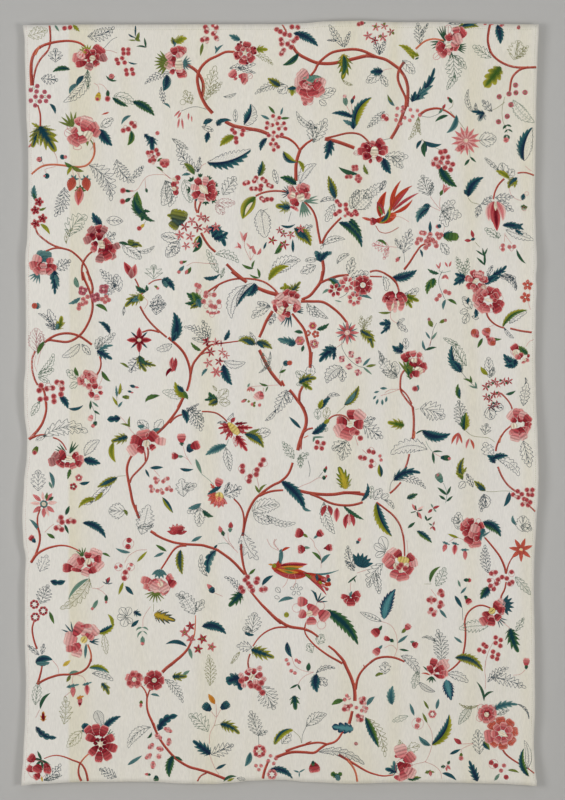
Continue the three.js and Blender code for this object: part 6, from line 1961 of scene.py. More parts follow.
chart.append("""
stem coral 5 8 -64.5 104 -64.6 106.4 -65.3 109 -66.3 110.9 -67.8 112.7 -69.4 114.3; 6 4 -69.3 114.2
 -67.6 113.4 -66 113 -64.7 113; 4 3 -62.8 113.7 -61.2 114.3 -59.9 115.5 -59 117.2; 6 7 -40.6 118 -41.8
 120 -42.4 122.5 -42 125.5 -41.4 128.5 -40.8 131.5 -39.8 134 -39 136; 5 5 -41.6 126.2 -41 124.6 -39.3
 122.8 -37.8 121.2 -36.8 119.6 -36.5 117.6 -36.8 116.4; 4 4 -37.8 116.8 -37.4 118.5 -37.3 120.2; 5 3
 -39.8 134 -39.9 132.2; 4 5 -66.2 133.4 -66.9 135.4 -66.9 138 -66.2 140.8
stem grey 1 1 -52.4 104 -51.6 106 -51 107.4 -51.2 109.4
stem rosy 1 1 -44.4 107.8 -43 109.3 -41.5 111.5 -39.9 113.2
stem straw 1 1 -45.2 124.4 -42.7 124.2
stem rosy 1 1 -65 139.8 -63.5 138.3 -62.4 137.5
tooth mint -66.3 103.7 -68.7 107.8 .42 0
smooth pine -52.5 106 -52.3 103.5 .3 0
smooth sage -50.2 105.3 -52 103.8 .25 0
smooth pine -51.5 106.3 -49.8 107.4 .3 0
round pink -51.9 107.5 -52.6 108.9 .7 0
smooth pine -50.7 109.3 -51.7 110.6 .8 0
dots rose .55 -51.7 110.5
lobed grey -65.4 113.6 -53.1 112.3 .36 -.28
tooth grey -64.5 113 -67.6 114.6 .4 0
round olive -67 116.1 -67.9 117.9 .6 0
dots crimson .45 -67.8 117.9
smooth cream -59.8 119.4 -56.9 119.4 .5 0
round crimson -59.3 119.6 -61.2 118 .9 0 -57.5 119.2 -55.7 118.5 .9 0
round rose -56.8 119.8 -54.5 119.7 .8 0
round dusty -61 119.4 -62.6 118.3 .9 0 -61.4 120 -63.7 120.6 .8 0
round crimson -60.4 120 -61.6 121 .9 0 -59.8 120.4 -60.4 121.8 .9 0 -58.6 120.4 -58.8 121.8 1 0
round rose -57.6 120.6 -57 122.1 1 0
round crimson -56.6 120.4 -55 121.2 .8 0
fan pine -59 118.2 3.6 125 158 3 .12
fan pine -58.2 118.2 3.8 45 75 3 .12
tooth navy -54.3 119.7 -49.6 120.9 .55 0
tooth slateSeed -54 118.8 -49.9 114.5 .5 -.1
tooth leaf -57.9 122.3 -58.7 125.2 .4 0
ring rose -55.6 124.8 .2 1.1 5 .3 .7
ring crimson -57.1 127.2 .2 1.1 5 0 .7
smooth navy -55.4 126.3 -52.6 125.8 .35 .1
lobed slate -66.8 128.4 -66.8 122.6 .75 0
smooth teal -63.7 123.2 -62.7 127.7 .24 -.1
smooth sage -63.8 125.9 -62.9 127.8 .35 0
smooth rose -66 131.2 -68.3 129.3 .4 0 -64.6 131.2 -62.9 129 .45 0
smooth blush -64.2 131.8 -61.5 131.5 .4 0
smooth rose -64.4 132.6 -62.3 134.3 .45 0 -65.2 133 -65.2 135.8 .45 0 -66 132.6 -68.2 134.4 .45 0
smooth blush -66.2 131.9 -69 131.7 .35 0 -65.4 131 -65.6 128.6 .35 0 -64.8 132.8 -63.8 135.4 .3 0
smooth leaf -64.6 130.8 -64.3 128.8 .4 0
smooth pine -63.9 131 -62.5 130 .5 0
dots teal 1.05 -65.2 132
dots cream .6 -65.2 132
smooth teal -66.8 139.3 -69.2 136.2 .25 .1
dots crimson .6 -60.5 135.7 -60.2 137 -58.5 136.8 -57 136.8 -61.8 138.6 -60.3 139
dots blush .5 -61.2 136.6 -57.8 136.2 -61 138.2
smooth pine -59.2 135 -58.2 132.5 .4 0 -59.5 137.6 -58.4 140.2 .28 0
tooth limeDark -45 124.7 -50.6 127.4 .4 0
tooth navy -47 125.6 -49.4 126.8 .4 0
frill slate -46.6 126.4 -52.6 131.5 .3 0
tooth lime -49 128.8 -51.2 131.2 .4 0 -51 130.6 -55.7 133.2 .3 .2
frill slate -51.6 131.2 -54.6 131.9 .5 0
frill grey -42.8 134 -47.4 133.8 1 0
smooth olive -42.4 135.2 -43.4 133.6 .5 .4
tooth navy -54.6 137.2 -48.2 141.5 .3 -.35
spiky limeDark -42.2 113.5 -46.8 114.8 .75 0
smooth lime -46 115 -45.4 120.6 .3 .2
lobed navy -44.2 108.4 -48 108.8 .55 0
smooth olive -41.6 110.9 -41.5 107.8 .22 -.1 -41.5 110.8 -44.2 110 .22 .1
frill grey -36.4 111.4 -39.4 109.2 .8 0
smooth teal -37.6 110.8 -39.5 110.6 .6 0
round rose -37.4 114.6 -38 111.9 1.1 0
round crimson -38 115.2 -41.1 114.4 .8 0
round pink -39.2 116 -41.7 117.7 .8 0
round crimson -38 116 -39 117.7 .9 0 -36.4 114.4 -36 112.6 .9 0 -36.2 114.6 -34.4 112.8 1 0
round pink -34.8 114.6 -32 114.9 .6 0
round crimson -36 115.6 -35 116.9 .9 0
dots cream .95 -37 115.4
smooth navy -36 122.1 -32.4 121.9 .28 0 -37.3 122.5 -36.2 124.7 .28 0
lobed greySeed -38.4 140.4 -36.4 132.2 .6 0
lobed grey -39.4 138.4 -35 138 .4 0
stem coral 6 7 -26.9 102.8 -28.2 105.6 -30 108.2 -32 110.6 -34.6 113; 4 5 -26.2 107.3 -28 107.6 -29.6
 108.6 -30.6 109.8; 4 4 -21.8 106.6 -20 106.6 -17.8 107 -16 108.2 -14.8 109.4; 7 6 -10.6 140.8 -10
 137.5 -9 134 -7.4 131 -6 129.6 -4 128 -2 126.7 -.4 126 1.6 124.3 2.6 122.5 3.2 120.6; 6 5 -6 129.8 -4
 128.9 -2 128.4 .6 128.2; 4 5 -13 130.6 -11.6 132 -10.5 134.2 -10.2 137 -10.5 140; 6 6 -35.9 139.4
 -34.4 140.3
stem rosy 1 1 -26.9 116.2 -26.2 118.6 -24.6 121.2; 1 1 -26.8 119 -25.4 119.9
stem sage 1 1 -21.8 123.8 -20 125.2 -18.6 126.6; 1 1 -15 115.8 -14.4 114.2
stem rosy 1 1 -35 122.6 -33.4 124.4
tooth navy -27.2 106 -25.9 109.9 .5 -.1
plume slate -26 105.6 -22 112 .6 -.1
tooth grey -24.6 106 -21.2 109.2 .4 0
frill greySeed -34.6 111.8 -32.6 108.8 .8 0
smooth teal -35.8 112.2 -33.2 111.2 .4 0
round rose -27.3 115.2 -27.4 112.9 .8 0
smooth pine -27.2 116 -27.4 114.5 .9 0
round navy -25.6 117.8 -24.5 115.9 .8 0
round crimson -24.9 116.4 -22.6 115.6 .8 0 -28.2 118.8 -29.9 118.8 .9 0
smooth sage -26.9 119 -28.7 118.8 .4 0
smooth navy -27.8 122.2 -24.1 122.4 .25 .1
smooth sage -23.5 119.6 -21.8 123.8 .22 0
tooth teal -15 115.8 -20.8 118.6 .38 .05
tooth grey -15.2 116.4 -14 123 .4 0
spiky crimson -14 110.6 -17.3 111.2 .5 0 -14.2 110.2 -16.8 110 .4 0 -14 111.2 -16.8 112.8 .45 0
 -13.8 111.6 -15.2 114.5 .45 0 -13.4 112 -13.8 113.9 .5 0
smooth crimson -13.8 109.6 -12.6 108.2 .6 0
spiky wine -12.8 110 -9.3 109.7 .35 0
spiky crimson -12.2 111 -7.8 111 .42 0 -11.8 111.8 -9.2 112.6 .5 0 -12.3 113.2 -9.3 117.5 .55 0
round butter -14.6 109.5 -11.6 112.9 .42 0
smooth slate -14.8 108.8 -13.2 106.9 .4 .3 -15 109.7 -17.6 109.8 .25 .1
smooth rosyLine -13 113.4 -12.4 116.4 .3 0
tooth limeDark -10 112.8 -4.8 116.6 .5 -.15
tooth navy -8.8 113 -5.6 115.4 .35 -.1
smooth olive -8.8 112.2 -5.9 111.2 .3 .1
frill grey -6.6 112.8 -2.9 112 .8 0
dots crimson .6 -10.6 121.6 -10.6 123 -4.9 119.9 -5.6 121.2 -6.6 122.6 -6.8 123.9 -8.5 124.4 -8.8 125.7
dots rosyLine .8 -4.5 120.9 -7.2 123.2 -9.2 125 -11 122.3
stem rosy 1 1 -6 127.8 -6.3 126.4 -6.6 124.8
smooth olive -6 129 -7.2 126.8 .3 0 -6 129 -3.9 126.6 .22 -.15
dots rose .6 -34.6 125 -34.3 126 -32.4 125.8 -31.2 125 -35.8 127.2 -35.6 128.4 -34 128.4 -32.6 128.9
 -31.4 127.9 -30.2 128.2
dots pink .5 -33.8 125.4 -31.8 125.2 -35.2 128 -33 128.1 -30.8 127.4
smooth navy/lime -32.6 130.2 -29.7 134.5 .28 0
lobed greySeed -26.8 130 -27.4 125 .8 0
lobed grey -27 128 -23.2 126.6 .6 0
fan rose -17.2 130 3.2 150 320 8 .42
fan coral -17.2 130 2.8 160 310 6 .4
dots butter 1.3 -17 130
round rose -17.6 127.2 -16.8 125.2 .8 0
spiky coral -18.2 128 -19.4 126.4 .7 0
tooth navy -16.4 127 -20.3 129.4 .3 0
plume slate -15.6 129.6 -10.8 127.4 .8 0 -15.6 129 -14.2 126 .5 0
smooth teal -22 131.8 -25.6 133.2 .35 -.1
frill grey -22.4 132.6 -25.8 134.4 .6 0 -22.2 133 -22.6 138.2 .6 0
tooth pine -21.5 133.6 -18.6 135.4 .45 .15
fan crimson -28.6 140.2 2.9 15 165 7 .4
round crimson -28.4 140.2 -28.6 138.2 1.4 0
smooth rose -16.4 139.9 -17 138 .6 0
smooth pine -15.8 140.8 -16.1 139.3 .8 0
smooth crimson -13.9 138.9 -13.8 136.9 .7 0
round sage -14 139.8 -14 138.5 1 0
frill grey -8 134 -.4 132.4 .55 -.1
frill slate -7.6 134.4 -2.4 137 .45 .1
lobed grey -4 135 4 137.2 .25 .15
lobed slate 1.6 100.6 -1.4 107 .5 0
frill slate 1.8 101 2.4 104.2 .8 0
tooth slate -1.4 106 -4.4 109.1 .3 -.1
stem coral 8 9 4.6 103.4 6 105.6 6.9 108 6.8 110.5 5.8 113 5 115.4 4.6 117.3; 5 3 5.6 113.8 5.5 117; 5
 5 5.8 112.9 7 111.6 8.8 111.1
stem apricot 3 2 6.2 113.8 7.5 113.2
stem coral 4 4 13 108.7 14.5 107.7 16.2 107.5 17.8 108 18.8 109.2; 8 8 4.3 128.2 8 129 12 129.4 15 129.3
 17.5 128.9 20 129 24 129.6; 4 4 17 128.7 21.8 128.7; 6 6 8 129.2 10.5 130.2 13 131.5 15.5 132.2 18.5
 132.4 21 132 22.5 131.5; 5 5 26.2 131.5 28.5 133.2 31 135.3 32.8 138 33.6 140.8; 5 5 29.9 129.1 31.4
 127.8 33 126; 5 5 35.3 118.2 34.8 120.4 34 122.6; 6 6 36.2 105.4 36.5 108 36.5 111 36.2 114.2
stem apricot 4 4 36.8 112 36.6 114
stem rosy 1 1 20.3 113.3 21.2 116; 1 1 22.3 117 23.6 118.2; 1 1 11.4 125 10.3 124.8 8.2 126 6 126.9 4.8
 127.4
stem grey 1 1 10.3 124.7 11.5 123.2; 1 1 29.9 128.6 30.1 126.6 30.9 125.3
stem straw 1 1 15.4 107 17 105.6 17.6 105
smooth navy 5.4 111.2 2.2 108 .22 0
frill mint 10.2 108.8 9.9 105.8 .7 0
frill straw 12.2 108.6 12.8 105.4 .7 0
tooth navy 8.5 112.7 12.6 109 .42 .1
tooth lime 11.8 109.8 13.4 108.7 .8 0
frill mint 10.6 110.4 12.8 111.8 .8 0
smooth sage 8.7 113.6 11.9 113.6 .18 0 9.2 113.5 8.8 115 .4 0
dots crimson .5 10 115 11.7 115.3 9.7 116.5 11.2 116.7
dots blush .45 10.8 115.8
round crimson 19.4 108.9 19.5 106.3 .85 0
round pink 20.4 109 22.3 106.8 .9 0
round crimson 18.3 109.6 15.5 109.5 .95 0 19.9 109.9 22.4 110.2 .85 0
round pink 18.2 110.8 15.1 112.3 .8 0
round rose 18.7 110.9 17.6 114 .85 0 19.3 110.9 20.3 112.7 .85 0
dots crimson .6 20.9 112.4 21.8 113.9
dots cream .6 19 109.8
spiky slate 22.6 110.4 28 113.9 .7 0 22.8 109.4 26 108.4 .7 0
lobed grey 18 114.4 16.6 120 .7 0 17.6 115 14 117 .8 0
spiky limeOlive 33.9 110.4 29.2 109.5 .75 0
plume mint 3.6 119.6 .4 114.8 .5 0 4.6 119.8 7.6 118 .7 0 5.2 118.6 5.4 122.2 .6 0
stem grey 1 1 7.4 120 8 122.4 7.7 124.6
dots crimson .5 24.2 117.5 25.4 117.8 21.8 119.2 23 119.4 24.9 120.2 24.7 121.6
dots rose .5 27.2 118.8 27.5 119.9
dots rosyLine .8 24.8 117.2 22.4 119.3 25.4 121
smooth lime/navy 27.5 124.6 27 121 .42 0
smooth crimson 12.2 122.9 12.5 121.5 .6 0
round pine 12.1 123.4 12 122.2 .9 0
smooth rose 12.2 124.8 12.6 124 .7 0
round pine 11.8 125.4 11.8 124.2 1 0
spiky limeMustard 17.8 127.9 15.8 121.7 .72 .05
tooth navy 0 125.8 6.6 133.6 .32 -.1
smooth teal 5.8 132.8 8.3 133.9 .3 .1
tooth navy 22 131.2 23.7 126.2 .26 .35
frill mint 24.6 130.6 25 127 .5 0
frill grey 25.6 130.8 27.6 127.8 .7 0 27.6 130.6 29.6 129.4 .8 0
tooth grey 28.4 131 31 133.4 .4 -.4
spiky navy 31 125.6 38.4 123.5 .42 -.2
plume slate 32.4 125.4 39.8 127.8 .3 -.3
lobed slateSeed 40.2 117 30.2 118.3 .42 .2
tooth pine 17.2 132.6 22.8 136.3 .2 .05
tooth grey 11.8 131.4 14.8 140.2 .35 .1
tooth navy/lime 26.2 131.6 30.6 141 .3 .1
tooth pine 34.6 130.5 37.6 129.2 .55 0
smooth pine 34.9 138.6 36.9 137 .35 0
stem coral 4 5 63.4 110.4 61.6 111.9 60.2 114 59.3 116 59 117.5
stem apricot 4 3 60.4 113.2 60.1 115.2
stem coral 5 5 59.6 121.7 60.6 124.2 62.2 126.6 64.2 128.3 65.2 128.6; 4 4 68 132.3 69 133.2 69.9 134.1
stem straw 1 1 50.7 111.8 52.5 113.2 55 113.6 57 113.8 58.8 115; 1 1 56.4 128.6 58.6 128.6 61 128.4 63.6
 128.5
stem sage 1 1 39.8 114.6 40.4 116 41.6 117.6; 1 1 44.6 126.2 45.3 127.8 45.6 129.4 45.2 131.8
stem straw 1 1 36.9 106 38 105.8
stem rosy 1 1 41.8 117.9 43.8 119
lobed slate 38.2 105.8 44.9 108.5 .75 -.1
plume greySeed 50 111 48.8 103.4 .55 0
tooth pine/lime 50.4 111.8 50.8 106.8 .6 0
frill slate 57 105.4 58 108.8 1 0 57.6 105 61.2 105.6 .8 0
round pink 64.6 108.6 62.7 107.2 .9 0
round rose 65 108.6 65.3 106 .9 0
round crimson 64.8 109.4 63.4 108.6 .8 0 65.6 109.6 66.2 107.8 .9 0
round pink 66.2 109 66.8 106.9 .8 0
round crimson 66.8 109.6 68.3 108 .9 0 66.8 110.2 68.6 110.6 .9 0
round rose 66 111.2 67.9 112 .8 0
round crimson 65.4 110.9 66.2 113.2 .9 0
round rose 64.9 111.2 63.6 113.2 .9 0
round pink 64.8 112.4 64.2 114.5 1 0 66 112.4 67 114 .9 0
round cream 65 110.4 63.4 110.6 .8 0
lobed slate 66.6 114.6 68.4 121.9 .5 0
spiky grey 56 113 56.6 109.8 1 0
lobed slateRing 58.6 118.8 56 115 .8 -.1
tooth navy 58.8 120.8 56.7 118.6 .75 .1 58 119.6 62.5 118.8 .42 -.1
lobed slateRing 59.6 119.8 65.4 124.3 .4 -.2
dots crimson .5 65.1 128.5 63.8 129.4 66.2 129.3 65.2 130.2 66.8 130.6 67.6 128.1 69.1 128.1 68 129.4 69
 129.5 67.5 130.9 66.4 132.1 67.9 132.3 68.5 131.5
dots blush .45 67 131.6 68.4 128.8 64.5 129.9
smooth navy 62.8 128.7 61.2 132.7 .32 -.1
frill grey 66.4 139.6 66.6 135.2 1 0 66 138 69 139 .8 0
smooth teal 64.6 137.7 63.8 135.1 .35 -.2
smooth pine 37 112.8 39.8 111.7 .16 -.1
tooth navy 38.8 111.8 46.6 112.6 .42 .22
smooth pine 41.6 117.8 44.4 117.7 .2 -.1 41.7 117.8 42.1 121 .25 0
round pine 43.8 119.2 46.2 119.4 .5 0
dots rose .42 46.3 119.5
round sage 44.3 126.2 43 123.8 .55 0
dots dusty .4 43.1 124
smooth pine 45.6 129.5 43 127.4 .26 0 45.7 129.4 46.7 127.1 .3 0 45.2 130.8 43.4 129.6 .35 0
 45.5 131.3 47.2 129.8 .3 0
tooth limeDark 50 125.4 50.4 119.2 .36 -.35
spiky limeOlive 50 124.8 48 123.4 .7 0 49.8 123.6 51 121.9 .6 0
frill grey 50.6 125.8 49 127.6 .9 0
plume slate 52.8 127.4 51 123.6 .5 0
tooth limeDark 56.2 128.4 53 125.6 .5 0
tooth navy 55.4 128.3 54 127.2 .5 0
plume slate 55.8 129.2 55 134.2 .5 0
frill slate 56 129.4 56.4 133 .9 0
smooth rose 37.2 133.8 36 132 .4 0 37.6 134.2 38.7 136.2 .4 0
smooth blush 37.5 133.8 39.2 132.6 .3 0
ring pine 37.3 134 .2 1.7 4 .25 .28
smooth crimson 41.8 133.2 43.6 132.5 .4 0 41.6 133.4 40.4 134.5 .5 0
smooth sage 41.8 133 41.2 131.9 .4 0 41.9 133.3 42.7 134.2 .4 0
smooth crimson 41.7 138.1 42.4 139.4 .5 0
smooth pine 41.6 137.9 40.6 137.3 .4 0
smooth dusty 41.8 137.9 42.2 136.8 .5 0 41.6 138.2 40.9 139 .4 0
smooth pine 40.1 136.6 39.6 135.1 .4 0 40.1 136.6 41.6 135.5 .3 0
frill grey 48.6 139 48.8 134.2 .6 0
frill greyRing 49.2 136.8 46.8 136.2 .8 0
round crimson 52.4 138.6 49.5 138.2 .7 0
round rose 52 138 50.5 136.5 .9 0
round crimson 52.4 137.8 52 136.1 .9 0 53.4 138.2 53.8 137 1 0 54 138.4 55.6 137.7 .9 0
round rosyLine 53.6 137.2 54.8 136.2 .9 0
round crimson 52 139.2 50.4 140.6 .8 0
tooth navy/pine 55.2 137.2 60.4 141 .5 -.38
smooth coral 48.8 112.4 46.9 115.6 .22 .1
smooth rose 48.9 112.4 48.2 115.8 .2 0
smooth coral 49 112.6 49.8 115.4 .22 0
smooth rose 51.8 114 50.9 116.8 .24 .08
smooth coral 52 114.2 53 117 .24 -.08
smooth crimson 12.5 132.4 11.3 135.4 .42 .1 12.9 132.4 13.8 135.2 .42 -.1
smooth rose 15.4 133 15.2 137 .42 0
smooth crimson 18.5 134.7 17.8 138.8 .36 .1 18.9 134.8 20 138.2 .36 -.1
smooth pink 18.7 135 18.8 138 .34 0
""")
